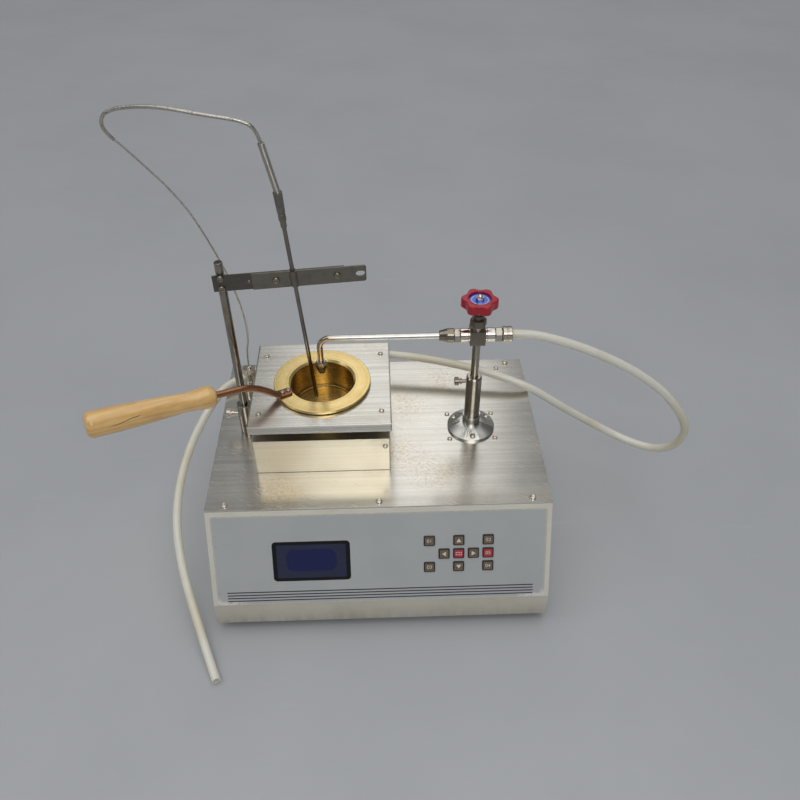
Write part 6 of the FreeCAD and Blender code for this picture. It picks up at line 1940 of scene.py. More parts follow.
@dataclass
class FrontPanel:
    """The printed film, the display's window and the keypad on the sloped front."""

    key_x: float = 77.8 * MM
    key_down: float = 51.8 * MM
    key_step: float = 14.6 * MM
    key_edge: float = 0.45 * MM
    print_proud: float = 0.06 * MM
    print_sink: float = 0.10 * MM
    key_gap: float = 0.12 * MM
    arrow: float = 2.7 * MM
    digit: float = 5.4 * MM
    bar_w: float = 0.9 * MM
    bar_h: float = 1.3 * MM
    stripe_count: int = 4
    stripe_low: float = 89.9 * MM
    stripe_step: float = 3.2 * MM
    stripe_h: float = 1.2 * MM
    stripe_left: float = -154.8 * MM
    stripe_right: float = 153.2 * MM

    KEYS = {"key_up": (0, -1, Mark.UP), "key_down": (0, 1, Mark.DOWN), "key_left": (-1, 0, Mark.LEFT),
        "key_right": (1, 0, Mark.RIGHT), "key_centre_red": (0, 0, Mark.BARS),
        "key_right_red": (2, 0, Mark.FIVE), "key_top_left": (-2, -1, Mark.ONE),
        "key_top_right": (2, -1, Mark.TWO), "key_bottom_left": (-2, 1, Mark.THREE),
        "key_bottom_right": (2, 1, Mark.FOUR)}

    def slab(self, outline: Sequence[tuple[float, float]]) -> Mesh:
        """A thin print with a flat outline, drawn with its face at the print's height.

        Args:
            outline: its corners.

        Returns:
            The mesh.
        """
        low = [Vector((x, y, -self.print_sink)) for x, y in outline]
        high = [Vector((x, y, self.print_proud)) for x, y in outline]
        return lofted([low, high])

    def rectangle(self, x: float, y: float, half_x: float, half_y: float) -> Mesh:
        """A thin rectangular print."""
        return self.slab([(x - half_x, y - half_y), (x + half_x, y - half_y), (x + half_x, y + half_y),
            (x - half_x, y + half_y)])

    def figure(self, text: str) -> Mesh:
        """A thin print of a plain figure.

        Args:
            text: the figure.

        Returns:
            The mesh.
        """
        curve = bpy.data.curves.new("figure", "FONT")
        curve.body = text
        curve.align_x = "CENTER"
        curve.align_y = "CENTER"
        curve.size = self.digit
        curve.extrude = (self.print_proud + self.print_sink) / 2
        mesh = as_mesh(curve, "figure")
        mesh.transform(Matrix.Translation((0, 0, (self.print_proud - self.print_sink) / 2)))
        mesh.materials.clear()
        return mesh

    def mark(self, kind: Mark) -> Mesh:
        """A key's mark, drawn flat on the origin.

        Args:
            kind: what is printed.

        Returns:
            The mesh.
        """
        arrows = {Mark.UP: 0.0, Mark.LEFT: TURN / 4, Mark.DOWN: TURN / 2, Mark.RIGHT: TURN * 3 / 4}
        if kind in arrows:
            size = self.arrow
            mesh = self.slab([(-size * 0.95, -size * 0.7), (size * 0.95, -size * 0.7), (0.0, size * 0.8)])
            mesh.transform(Matrix.Rotation(arrows[kind], 4, "Z"))
            return mesh
        if kind is Mark.BARS:
            places = [(x * self.bar_w * 1.9, y * self.bar_h) for x in (-1.5, -0.5, 0.5, 1.5)
                for y in (-0.9, 0.9)]
            return joined([self.rectangle(x, y, self.bar_w / 2, self.bar_h / 2) for x, y in places])
        return self.figure(kind.value)

    def key(self, node: str, column: int, row: int, kind: Mark) -> None:
        """One key's cap and its mark.

        Args:
            node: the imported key.
            column, row: its place in the keypad.
            kind: what is printed on it.
        """
        red = "red" in node
        place = PANEL.matrix(self.key_x + column * self.key_step, -(self.key_down + row * self.key_step),
            PANEL.label_thick + PANEL.key_proud)
        top = place.translation
        mesh = softened(node, self.key_edge, lambda edge: edge.is_convex
            and all(abs((vertex.co - top).dot(PANEL.out)) < 0.02 * MM for vertex in edge.verts))
        flat = place.inverted()
        while mesh.uv_layers:
            mesh.uv_layers.remove(mesh.uv_layers[0])
        layer = mesh.uv_layers.new(name="map")
        for loop in mesh.loops:
            spot = flat @ mesh.vertices[loop.vertex_index].co
            layer.data[loop.index].uv = (spot.x / PANEL.key_width, spot.y / PANEL.key_width)
        depths = {vertex.index: (vertex.co - top).dot(PANEL.out) for vertex in mesh.vertices}
        lowest = min(depths.values())
        for vertex in mesh.vertices:
            if depths[vertex.index] < lowest + 0.05 * MM:
                vertex.co += PANEL.out * self.key_gap
        stand_in(mesh, node + "_cap", Look.KEY_RED if red else Look.KEY, node)
        mark = self.mark(kind)
        mark.transform(place)
        add_piece(mark, node + "_print", Look.PRINT_PALE, node)

    def stripes(self) -> Mesh:
        """The stripes printed along the foot of the film.

        Returns:
            The mesh.
        """
        middle = (self.stripe_left + self.stripe_right) / 2
        half = (self.stripe_right - self.stripe_left) / 2
        mesh = AT_PLACES.run(self.rectangle(0.0, 0.0, half, self.stripe_h / 2), Look.PRINT_DARK,
            [(Vector((0, -self.stripe_step * k, 0)), UP) for k in range(self.stripe_count)])
        mesh.transform(PANEL.matrix(middle, -self.stripe_low, PANEL.label_thick))
        return mesh

    def make(self) -> None:
        """Builds the panel."""
        soften("front_label", 0.12 * MM, Look.LABEL)
        soften("lcd_window", 0.35 * MM, Look.WINDOW)
        add_piece(self.stripes(), "front_stripes", Look.PRINT_DARK, "case")
        for node, (column, row, kind) in self.KEYS.items():
            self.key(node, column, row, kind)


@dataclass
class Heater:
    """The heater's box and cover, and what is inside."""

    fold: float = 0.8 * MM
    spacer_r: float = 4.0 * MM
    spacer_low: float = 44.15 * MM
    spacer_high: float = 64.0 * MM
    cover_top: float = 65.5 * MM

    def make(self, fasteners: Fasteners) -> None:
        """Builds the heater.

        Args:
            fasteners: makes the screw heads and thumb screws.
        """
        soften("heater_cover", self.fold, Look.COVER, outer_edges("heater_cover"))
        soften("heater_box", self.fold, Look.BOX, outer_edges("heater_box"))
        tops = []
        fronts = []
        for low, high in solids("heater_fixings"):
            middle = (low + high) / 2
            if high.z > PLACES.top + self.cover_top:
                tops.append((Vector((middle.x, middle.y, PLACES.top + self.cover_top)), UP))
            elif high.z - low.z < 3 * self.spacer_r:
                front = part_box("heater_box")[0].y
                fronts.append((Vector((middle.x, front, middle.z)), -BACK))
        heads = fasteners.heads(tops + fronts, True, Look.NICKEL)
        length = self.spacer_high - self.spacer_low
        tube = turned([(self.spacer_r * 0.6, 0.0), (self.spacer_r, 0.0, EDGE),
            (self.spacer_r, length, EDGE), (self.spacer_r * 0.6, length)], Vector(), sides=32, closed=True)
        feet = [(Vector((place.x, place.y, PLACES.top + self.spacer_low)), UP) for place, _ in tops]
        tubes = AT_PLACES.run(tube, Look.NICKEL, feet)
        stand_in(joined([heads, tubes]), "heater_screw_heads", Look.NICKEL, "heater_fixings")
        dress(["heater_insulation", "cup_seat_ring"], Look.FIBRE)
        dress(["heating_plate"], Look.IRON)
        dress(["heating_element"], Look.ELEMENT)


@dataclass
class TestCup:
    """The turned cup, its handle bar and its wooden grip."""

    x: float = -55.0 * MM
    y: float = 111.2 * MM
    top: float = 69.5 * MM
    inner_r: float = 31.75 * MM
    depth: float = 33.6 * MM
    wall: float = 2.25 * MM
    floor: float = 3.0 * MM
    flange_r: float = 49.1 * MM
    flange_t: float = 3.0 * MM
    mark_down: float = 9.4 * MM
    mark_depth: float = 0.25 * MM
    handle_angle: float = math.radians(208.5)
    tab_start: float = 34.4 * MM
    tab_end: float = 46.0 * MM
    tab_half_w: float = 5.25 * MM
    tab_half_h: float = 1.2 * MM
    bar_r: float = 3.4 * MM
    bar_round_at: float = 58.0 * MM
    nose: float = 3.0 * MM
    screws: tuple[float, ...] = (37.4 * MM, 43.6 * MM)
    screw_r: float = 2.3 * MM
    screw_h: float = 1.7 * MM
    lip: float = 2.3 * MM
    nose_round: float = 6.0 * MM
    end_round: float = 5.5 * MM
    grip_start: tuple[float, float] = (109.5 * MM, 28.0 * MM)
    grip_end: tuple[float, float] = (226.5 * MM, 44.6 * MM)

    GRIP_SHAPE = [(0.0, 10.6), (0.05, 11.2), (0.12, 10.6), (0.22, 8.8), (0.36, 10.0), (0.60, 11.4),
        (0.82, 12.3), (0.955, 12.2)]
    BAR_LINE = [(34.4, 1.2), (40.0, 1.2), (47.0, 1.2), (51.5, 3.8), (61.0, 13.0), (76.5, 23.4),
        (93.0, 26.0), (107.0, 27.6), (124.0, 30.0)]

    def on_handle(self, reach: float, rise: float) -> Vector:
        """The place at a distance from the cup's axis toward the handle, and a height over its rim."""
        return PLACES.at(self.x + reach * math.cos(self.handle_angle),
            self.y + reach * math.sin(self.handle_angle), self.top + rise)

    def cup(self) -> Mesh:
        """The cup with its filling mark, turned all over.

        Returns:
            The mesh.
        """
        rim = self.inner_r + self.lip
        mark = self.depth - self.mark_down
        floor = -self.depth
        outer = self.inner_r + self.wall
        line = 0.35 * MM
        outline = [(self.inner_r, floor, 1.2 * MM), (self.inner_r, -self.mark_down - line),
            (self.inner_r + self.mark_depth, -self.mark_down), (self.inner_r, -self.mark_down + line),
            (self.inner_r, -self.lip, EDGE), (rim, 0.0, EDGE), (self.flange_r, 0.0, 0.55 * MM),
            (self.flange_r, -self.flange_t, 0.55 * MM), (outer, -self.flange_t, BOLD),
            (outer, floor - self.floor, 0.8 * MM)]
        log.info("the filling mark is %.1f mm over the floor", mark / MM)
        return solid(outline, PLACES.at(self.x, self.y, self.top), sides=160)

    def bar(self) -> Mesh:
        """The bar, flattened where it is screwed to the cup.

        Returns:
            The mesh.
        """
        line = Cord.smooth_line([self.on_handle(reach * MM, rise * MM) for reach, rise in self.BAR_LINE])
        axis = PLACES.at(self.x, self.y, self.top)
        reaches = [math.hypot(point.x - axis.x, point.y - axis.y) for point in line]
        nose = [self.nose * share for share in (0.0, 0.06, 0.15, 0.3, 0.5, 0.75, 1.0)]
        first = [self.on_handle(self.tab_start + step, self.tab_half_h) for step in nose]
        rest = [point for point, reach in zip(line, reaches) if reach > self.tab_start + self.nose * 1.3]
        line = first + rest
        reaches = [math.hypot(point.x - axis.x, point.y - axis.y) for point in line]

        def section(i: int, angle: float) -> tuple[float, float]:
            """The section at a step and a turn, flat at the tab and round farther in.

            Args:
                i: the step.
                angle: the turn.

            Returns:
                The offsets aside and over.
            """
            share = min(max((reaches[i] - self.tab_end) / (self.bar_round_at - self.tab_end), 0.0), 1.0)
            share = share * share * (3 - 2 * share)
            past = max(self.nose - (reaches[i] - self.tab_start), 0.0) / self.nose
            round_off = 0.45 + 0.55 * math.sqrt(max(1 - past * past, 0.0))
            half_w = (self.tab_half_w + (self.bar_r - self.tab_half_w) * share) * round_off
            half_h = (self.tab_half_h + (self.bar_r - self.tab_half_h) * share) * (0.8 + 0.2 * round_off)
            power = 2 / (6.0 + (2.0 - 6.0) * share)
            u, v = math.cos(angle), math.sin(angle)
            return (math.copysign(abs(u) ** power, u) * half_w, math.copysign(abs(v) ** power, v) * half_h)

        side = (self.on_handle(1.0, 0.0) - self.on_handle(0.0, 0.0)).cross(UP)
        return lofted(rings_round(line, 40, section, side))

    def grip(self) -> tuple[Mesh, Vector]:
        """The turned grip, and its axis.

        Returns:
            The mesh and the axis.
        """
        first = self.on_handle(*self.grip_start)
        last = self.on_handle(*self.grip_end)
        axis = (last - first).normalized()
        length = (last - first).length
        bore = self.bar_r + 0.15 * MM
        belly = [(radius * MM, length * share) for share, radius in self.GRIP_SHAPE]
        nose = [(bore + (belly[0][0] - bore) * math.sin(TURN / 4 * k / 8) ** 0.8,
            self.nose_round * (1 - math.cos(TURN / 4 * k / 8))) for k in range(9)]
        outline = [(bore, 9.0 * MM), *((radius, height) for radius, height in nose)]
        line = Cord.smooth_line([Vector((radius, 0, height)) for radius, height in belly])
        outline += [(point.x, point.z) for point in line if point.z > self.nose_round * 1.05]
        last_r = line[-1].x
        outline += [(last_r - self.end_round * (1 - math.cos(TURN / 4 * k / 8)), length - self.end_round
            * (1 - math.sin(TURN / 4 * k / 8))) for k in range(1, 9)]
        outline += [(last_r * 0.4, length + 0.3 * MM), (0.0, length + 0.4 * MM)]
        return turned(outline, first, axis, sides=96), axis

    def make(self, fasteners: Fasteners) -> None:
        """Builds the cup and its handle.

        Args:
            fasteners: makes the screw heads and thumb screws.
        """
        stand_in(self.cup(), "cup_turned", Look.BRASS, "cup", 30.0)
        stand_in(self.bar(), "handle_bar_forged", Look.COPPER, "handle_bar", 50.0)
        mesh, axis = self.grip()
        foot = self.on_handle(*self.grip_start) - PLACES.at(0, 0, 0)
        stand_in(mesh, "grip_turned", LacqueredWood("lacquered_wood", "beech", foot=tuple(foot),
            axis=tuple(axis)), "grip", 40.0)
        places = [(self.on_handle(reach, 2 * self.tab_half_h), UP) for reach in self.screws]
        heads = AT_PLACES.run(fasteners.head(self.screw_r, self.screw_h), Look.NICKEL_WARM, places)
        stand_in(heads, "handle_screw_heads", Look.NICKEL_WARM, "handle_screws")


@dataclass
class ProbeStand:
    """The post in its socket, the arm strips and their screws."""

    x: float = -139.3 * MM
    y: float = 114.3 * MM
    socket_r: float = 7.5 * MM
    socket_top: float = 38.0 * MM
    socket_foot: float = -9.5 * MM
    stud_r: float = 4.0 * MM
    post_r: float = 4.0 * MM
    post_low: float = 3.0 * MM
    post_high: float = 208.4 * MM
    thumb_rise: float = 24.0 * MM
    arm_angle: float = math.radians(6.3)
    arm_rise: float = 188.6 * MM
    strip_back: float = -3.7 * MM
    strip_meet: float = -5.3 * MM
    strip_front: float = -6.9 * MM
    clamp_at: tuple[float, ...] = (50.0 * MM, 106.2 * MM)
    post_screws: tuple[float, ...] = (-5.35 * MM, 5.35 * MM)
    nut_flats: float = 5.5 * MM
    nut_t: float = 2.2 * MM
    shank_r: float = 1.4 * MM
    rivet_at: float = 25.3 * MM
    rivet_r: float = 1.5 * MM
    rivet_h: float = 0.8 * MM

    def __post_init__(self) -> None:
        """Works out the arm's own directions."""
        self.turn = Matrix.Rotation(self.arm_angle, 4, "Z")

    def on_arm(self, along: float, back: float, rise: float) -> Vector:
        """The place at a distance along the arm from the post, behind its middle line, at a height."""
        return PLACES.at(self.x, self.y, 0) + self.turn @ Vector((along, back, rise))

    def upright(self) -> None:
        """The socket and the post."""
        base = PLACES.at(self.x, self.y, 0)
        bore = self.post_r + 0.1 * MM
        outline = [(bore, self.post_low - 0.2 * MM), (bore, self.socket_top, 0.25 * MM),
            (self.socket_r - 0.3 * MM, self.socket_top, EDGE),
            (self.socket_r, self.socket_top - 0.8 * MM, FINE), (self.socket_r, 1.2 * MM, EDGE),
            (self.socket_r - 0.5 * MM, 0.6 * MM), (self.socket_r - 0.5 * MM, 0.0), (self.stud_r, 0.0),
            (self.stud_r, self.socket_foot, FULL)]
        stand_in(solid(outline, base), "stand_socket_turned", Look.SLEEVE, "stand_socket")
        outline = [(self.post_r, self.post_low, EDGE), (self.post_r, self.post_high, 0.9 * MM)]
        stand_in(solid(outline, base), "stand_post_turned", Look.POST, "stand_post")

    def arm_fixings(self, fasteners: Fasteners) -> Mesh:
        """The arm's screw heads, nuts and rivet.

        Args:
            fasteners: makes the screw heads and thumb screws.

        Returns:
            The mesh.
        """
        ahead = self.turn @ -BACK
        heads = [(self.on_arm(at, self.strip_front, self.arm_rise), ahead) for at in self.clamp_at]
        heads += [(self.on_arm(0, self.strip_meet, self.arm_rise + rise), ahead)
            for rise in self.post_screws]
        nut = hex_nut(self.nut_flats, self.nut_t, Vector())
        shank = solid([(self.shank_r, 0.0), (self.shank_r, self.nut_t + 0.3 * MM, FINE)], Vector(), sides=24)
        backs = [(self.on_arm(at, self.strip_back, self.arm_rise), -ahead) for at in self.clamp_at]
        rivet = solid([(self.rivet_r, 0.0), (self.rivet_r, self.rivet_h * 0.45, FINE),
            (self.rivet_r * 0.5, self.rivet_h, FINE)],
            self.on_arm(self.rivet_at, self.strip_meet, self.arm_rise), ahead, 32)
        return joined([fasteners.heads(heads, False, Look.NICKEL_DARK),
            AT_PLACES.run(joined([nut, shank]), Look.NICKEL_DARK, backs), rivet])

    def make(self, fasteners: Fasteners) -> None:
        """Builds the stand.

        Args:
            fasteners: makes the screw heads and thumb screws.
        """
        self.upright()
        base = PLACES.at(self.x - self.socket_r, self.y, self.thumb_rise)
        stand_in(fasteners.thumb_screw(base, -RIGHT, Look.NICKEL), "stand_thumb_screw", Look.NICKEL,
            "stand_clamp_screw")
        soften("arm_back_strip", 0.25 * MM, Look.STRIP_BACK)
        soften("arm_front_strip", 0.25 * MM, Look.STRIP_FRONT)
        stand_in(self.arm_fixings(fasteners), "arm_screw_heads", Look.NICKEL_DARK, "arm_screws")


@dataclass
class Probe:
    """The temperature probe in the arm: rod, ferrule and spring sleeve."""

    at: float = 66.2 * MM
    lean: float = math.radians(3.95)
    sleeve_lean: float = math.radians(11.3)
    tip: float = 41.9 * MM
    rod_r: float = 2.0 * MM
    collar_rise: float = 241.0 * MM
    collar_r: float = 2.8 * MM
    ferrule_low: float = 248.0 * MM
    ferrule_high: float = 275.0 * MM
    ferrule_r: float = 3.5 * MM
    ferrule_top_r: float = 4.1 * MM
    sleeve_r: float = 3.0 * MM
    sleeve_top: float = 318.3 * MM
    coil: float = 1.25 * MM

    def point(self, stand: ProbeStand, rise: float) -> Vector:
        """The place on the probe's axis at a height."""
        along = self.at - (rise - stand.arm_rise) * math.tan(self.lean)
        return stand.on_arm(along, stand.strip_meet, rise)

    def make(self, stand: ProbeStand) -> None:
        """Builds the probe.

        Args:
            stand: the stand that holds it.
        """
        tip = self.point(stand, self.tip)
        axis = (self.point(stand, self.sleeve_top) - tip).normalized()
        scale = 1 / math.cos(self.lean)
        collar, end = [(rise - self.tip) * scale for rise in (self.collar_rise, self.ferrule_low)]
        rod = [(self.rod_r, 0.0, 1.9 * MM), (self.rod_r, collar), (self.collar_r - 0.4 * MM, collar, FINE),
            (self.collar_r, collar + 0.5 * MM, FINE), (self.collar_r, end, EDGE)]
        stand_in(solid(rod, tip, axis, 48), "probe_rod_drawn", Look.PROBE, "probe_rod")
        length = (self.ferrule_high - self.ferrule_low) * scale
        groove = 0.35 * MM
        ferrule = [(self.ferrule_r, 0.0, BOLD), (self.ferrule_r, length * 0.22, FINE),
            (self.ferrule_r - groove, length * 0.24), (self.ferrule_r - groove, length * 0.28),
            (self.ferrule_r + groove / 2, length * 0.30, FINE), (self.ferrule_top_r, length, 0.7 * MM)]
        stand_in(solid(ferrule, self.point(stand, self.ferrule_low), axis, 48), "probe_ferrule_turned",
            Look.PROBE, "probe_ferrule")
        self.sleeve(stand)

    def sleeve(self, stand: ProbeStand) -> None:
        """The close-wound spring sleeve over the cable's start.

        Args:
            stand: the stand that holds the probe.
        """
        axis = stand.turn @ Vector((-math.sin(self.sleeve_lean), 0, math.cos(self.sleeve_lean)))
        foot = self.point(stand, self.ferrule_high) - axis * (0.5 * MM)
        length = (PLACES.top + self.sleeve_top - foot.z) / axis.z
        turns = int(length / self.coil)
        outline = [(0.0, 0.0)]
        for k in range(turns):
            low = k * length / turns
            outline += [(self.sleeve_r - 0.28 * MM, low),
                (self.sleeve_r - 0.05 * MM, low + self.coil * 0.25), (self.sleeve_r, low + self.coil * 0.5),
                (self.sleeve_r - 0.05 * MM, low + self.coil * 0.75)]
        outline += [(self.sleeve_r - 0.28 * MM, length), (0.0, length)]
        stand_in(turned(outline, foot, axis, 36), "probe_sleeve_wound", Look.PROBE_SLEEVE, "probe_sleeve",
            60.0)


@dataclass
class LeadSocket:
    """The round socket on the plate and the plug of the probe's lead."""

    x: float = -139.5 * MM
    y: float = 169.0 * MM
    flange_r: float = 10.0 * MM
    flange_t: float = 2.0 * MM
    barrel_r: float = 7.0 * MM
    barrel_low: float = -19.5 * MM
    barrel_top: float = 6.0 * MM
    nut_r: float = 7.6 * MM
    nut_top: float = 18.0 * MM
    body_r: float = 5.6 * MM
    body_top: float = 33.0 * MM
    clamp_top: float = 41.0 * MM
    bush_r: float = 2.2 * MM
    top: float = 43.0 * MM
    ridge_count: int = 36
    ridge_low: float = 4.5 * MM
    ridge_high: float = 14.5 * MM

    def plug(self, fasteners: Fasteners) -> Mesh:
        """The plug: ridged nut, body and cable bush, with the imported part's clamp shape between them.

        Args:
            fasteners: makes the screw heads and thumb screws.

        Returns:
            The mesh.
        """
        base = PLACES.at(self.x, self.y, 0)
        bore = self.barrel_r + 0.1 * MM
        nut = [(bore, self.flange_t + 0.02 * MM), (self.nut_r, self.flange_t + 0.02 * MM, FULL),
            (self.nut_r, self.ridge_high + 0.8 * MM, EDGE), (self.nut_r - 0.8 * MM, self.nut_top, EDGE),
            (self.body_r + 0.3 * MM, self.nut_top), (self.body_r, self.nut_top + 0.3 * MM),
            (self.body_r, self.nut_top + 6.0 * MM, FINE),
            (self.body_r - 0.5 * MM, self.nut_top + 6.4 * MM, FINE),
            (self.body_r - 0.5 * MM, self.nut_top + 7.6 * MM, FINE),
            (self.body_r, self.nut_top + 8.0 * MM, FINE), (self.body_r, self.body_top, FULL),
            (0.0, self.body_top), (0.0, self.barrel_top + 0.2 * MM), (bore, self.barrel_top + 0.2 * MM)]
        bush = [(self.bush_r, self.clamp_top - 0.1 * MM), (self.bush_r, self.top, BOLD)]
        ridges = fasteners.knurls(self.ridge_count, self.nut_r - 0.1 * MM, self.ridge_high - self.ridge_low,
            base + UP * self.ridge_low, UP, Look.NICKEL)
        clamp = copied("lead_plug")
        low = PLACES.top + self.body_top - 0.05 * MM
        high = PLACES.top + self.clamp_top + 0.05 * MM
        for cut, side in ((low, -1), (high, 1)):
            everything = clamp.verts[:] + clamp.edges[:] + clamp.faces[:]
            made = bmesh.ops.bisect_plane(clamp, geom=everything, plane_co=(0, 0, cut),
                plane_no=(0, 0, side), clear_outer=True)["geom_cut"]
            bmesh.ops.contextual_create(clamp,
                geom=[part for part in made if isinstance(part, bmesh.types.BMEdge)])
        return joined([turned(nut, base, sides=96), solid(bush, base, sides=32), ridges, finished(clamp)])

    def make(self, fasteners: Fasteners) -> bpy.types.Object:
        """Builds the socket and the plug, and gives the plug.

        Args:
            fasteners: makes the screw heads and thumb screws.

        Returns:
            The plug's piece.
        """
        base = PLACES.at(self.x, self.y, 0)
        outline = [(self.barrel_r, self.barrel_low, FULL), (self.barrel_r, 0.0), (self.flange_r, 0.0),
            (self.flange_r, self.flange_t, BOLD), (self.barrel_r, self.flange_t, FINE),
            (self.barrel_r, self.barrel_top, EDGE)]
        stand_in(solid(outline, base), "lead_socket_turned", Look.NICKEL, "lead_socket")
        return stand_in(self.plug(fasteners), "lead_plug_turned", Look.NICKEL, "lead_plug")


@dataclass
class GasJet:
    """The sweeping jet: flange, sleeve, post, valve, jet tube and nozzle."""

    x: float = 100.0 * MM
    y: float = 111.0 * MM
    collar_top: float = 18.7 * MM
    sleeve_r: float = 8.0 * MM
    sleeve_top: float = 70.4 * MM
    sleeve_floor: float = 24.0 * MM
    spindle_r: float = 5.0 * MM
    spindle_foot: float = -31.5 * MM
    thumb_rise: float = 63.5 * MM
    post_r: float = 4.0 * MM
    post_foot: float = 28.0 * MM
    centre: float = 122.3 * MM
    block_w: float = 15.4 * MM
    block_low: float = 114.1 * MM
    block_top: float = 130.5 * MM
    block_edge: float = 0.9 * MM
    arm_r: float = 7.2 * MM
    arm_left: float = 17.0 * MM
    arm_right: float = 17.2 * MM
    neck_r: float = 5.6 * MM
    bonnet_low: float = 133.9 * MM
    bonnet_flats: float = 14.0 * MM
    bonnet_h: float = 8.0 * MM
    packing_r: float = 4.6 * MM
    packing_h: float = 4.2 * MM
    stem_bore: float = 2.75 * MM
    hex_flats: float = 13.0 * MM
    left_hex: float = 6.0 * MM
    taper_l: float = 14.6 * MM
    taper_r: float = 7.2 * MM
    taper_end_r: float = 5.0 * MM
    right_nut: float = 6.8 * MM
    hose_nut_r: float = 8.2 * MM
    hose_nut_l: float = 10.0 * MM
    tube_r: float = 2.9 * MM
    bend_r: float = 10.5 * MM
    end_x: float = -54.5 * MM
    drop: float = 27.4 * MM
    nozzle_flats: float = 9.4 * MM
    nozzle_high: float = 94.9 * MM
    nozzle_low: float = 84.5 * MM
    shoulder: float = 81.5 * MM
    shoulder_r: float = 3.7 * MM
    nozzle_tip: float = 77.8 * MM
    nozzle_tip_r: float = 1.3 * MM

    def sleeve(self) -> Mesh:
        """The sleeve on its spindle, with a broad bright chamfer at its top.

        Returns:
            The mesh.
        """
        bore = self.post_r + 0.1 * MM
        chamfer = 1.3 * MM
        outline = [(bore, self.sleeve_floor), (bore, self.sleeve_top, EDGE),
            (self.sleeve_r - chamfer, self.sleeve_top, FINE),
            (self.sleeve_r, self.sleeve_top - chamfer, FINE),
            (self.sleeve_r, self.collar_top + 0.05 * MM, EDGE),
            (self.spindle_r, self.collar_top + 0.05 * MM), (self.spindle_r, self.spindle_foot, FULL)]
        return solid(outline, PLACES.at(self.x, self.y, 0), sides=96)

    def body(self) -> None:
        """The valve's post and body: a dull block between bright round arms."""
        base = PLACES.at(self.x, self.y, 0)
        outline = [(self.post_r, self.post_foot, 0.5 * MM), (self.post_r, self.block_low)]
        stand_in(solid(outline, base), "valve_post_turned", Look.POST_BRIGHT, "valve_post")
        work = bmesh.new()
        bmesh.ops.create_cube(work, size=1.0)
        height = self.block_top - self.block_low
        work.transform(Matrix.Translation(PLACES.at(self.x, self.y, self.block_low + height / 2))
            @ Matrix.Diagonal((self.block_w, self.block_w, height, 1.0)))
        bmesh.ops.bevel(work, geom=work.edges[:], offset=self.block_edge, offset_type="OFFSET", segments=2,
            profile=0.6, affect="EDGES")
        stand_in(finished(work), "valve_block", Look.NICKEL_DULL, "valve_body")
        length = self.arm_left + self.arm_right
        edge = 0.6 * MM
        waist = 0.35 * MM
        inner = self.arm_left - self.block_w / 2
        outer = self.arm_left + self.block_w / 2
        arms = [(self.arm_r - edge, 0.0), (self.arm_r, edge, FINE), (self.arm_r, inner - 1.6 * MM, FINE),
            (self.arm_r - waist, inner - 1.2 * MM, HAIR), (self.arm_r - waist, outer + 1.2 * MM, HAIR),
            (self.arm_r, outer + 1.6 * MM, FINE), (self.arm_r, length - edge, FINE),
            (self.arm_r - edge, length)]
        start = PLACES.at(self.x - self.arm_left, self.y, self.centre)
        neck = [(self.neck_r, self.block_top - edge), (self.neck_r, self.bonnet_low, FINE)]
        mesh = joined([solid(arms, start, RIGHT, 96), solid(neck, base)])
        stand_in(mesh, "valve_arms", Look.NICKEL, "valve_body")

    def fittings(self) -> None:
        """The bonnet and the nuts at both ends of the valve."""
        left = PLACES.at(self.x - self.arm_left, self.y, self.centre)
        right = PLACES.at(self.x + self.arm_right, self.y, self.centre)
        base = PLACES.at(self.x, self.y, self.bonnet_low)
        top = self.bonnet_h
        packing = [(self.stem_bore, top), (self.packing_r, top),
            (self.packing_r, top + self.packing_h, 0.5 * MM), (self.stem_bore, top + self.packing_h)]
        groove = 0.4 * MM
        hose_nut = [(self.hose_nut_r - 0.9 * MM, 0.0, HAIR), (self.hose_nut_r, 0.9 * MM, FINE),
            (self.hose_nut_r, self.hose_nut_l * 0.42, HAIR),
            (self.hose_nut_r - groove, self.hose_nut_l * 0.46, HAIR),
            (self.hose_nut_r - groove, self.hose_nut_l * 0.56, HAIR),
            (self.hose_nut_r, self.hose_nut_l * 0.60, HAIR),
            (self.hose_nut_r, self.hose_nut_l - 0.9 * MM, FINE),
            (self.hose_nut_r - 0.9 * MM, self.hose_nut_l, HAIR)]
        dark = joined([hex_nut(self.bonnet_flats, self.bonnet_h, base, bore=self.stem_bore,
            chamfer=0.7 * MM), turned(packing, base, closed=True)])
        stand_in(dark, "valve_bonnet", Look.NICKEL_DULL, "valve_fittings")
        mesh = joined([hex_nut(self.hex_flats, self.right_nut, right, RIGHT, chamfer=0.7 * MM),
            solid(hose_nut, right + RIGHT * self.right_nut, RIGHT, 96),
            hex_nut(self.hex_flats, self.left_hex, left, -RIGHT, chamfer=0.6 * MM)])
        stand_in(mesh, "valve_nuts", Look.NICKEL_WARM, "valve_fittings")
        taper = [(0.0, 0.0), (self.taper_r - 0.5 * MM, 0.0), (self.taper_r, 0.5 * MM, FINE),
            (self.taper_r, self.taper_l * 0.45, 0.5 * MM), (self.taper_end_r, self.taper_l, FULL),
            (self.tube_r + 0.1 * MM, self.taper_l, EDGE), (self.tube_r + 0.1 * MM, self.taper_l * 0.8)]
        stand_in(turned(taper, left - RIGHT * self.left_hex, -RIGHT, 96), "taper_nut", Look.NICKEL_DARK,
            "valve_fittings")

    def tube(self) -> Mesh:
        """The jet tube, straight out of the valve and bent down over the cup.

        Returns:
            The mesh.
        """
        start = PLACES.at(self.x - self.arm_left + 5.9 * MM, self.y, self.centre)
        corner = PLACES.at(self.end_x, self.y, self.centre)
        hub = corner + Vector((self.bend_r, 0, -self.bend_r))
        line = [start, (start + corner) / 2]
        for k in range(17):
            turn = TURN / 4 * k / 16
            line.append(hub + Vector((-math.sin(turn), 0, math.cos(turn))) * self.bend_r)
        line.append(corner - UP * self.drop)
        return lofted(rings_round(line, 36, lambda i, angle: (self.tube_r * math.cos(angle),
            self.tube_r * math.sin(angle))))

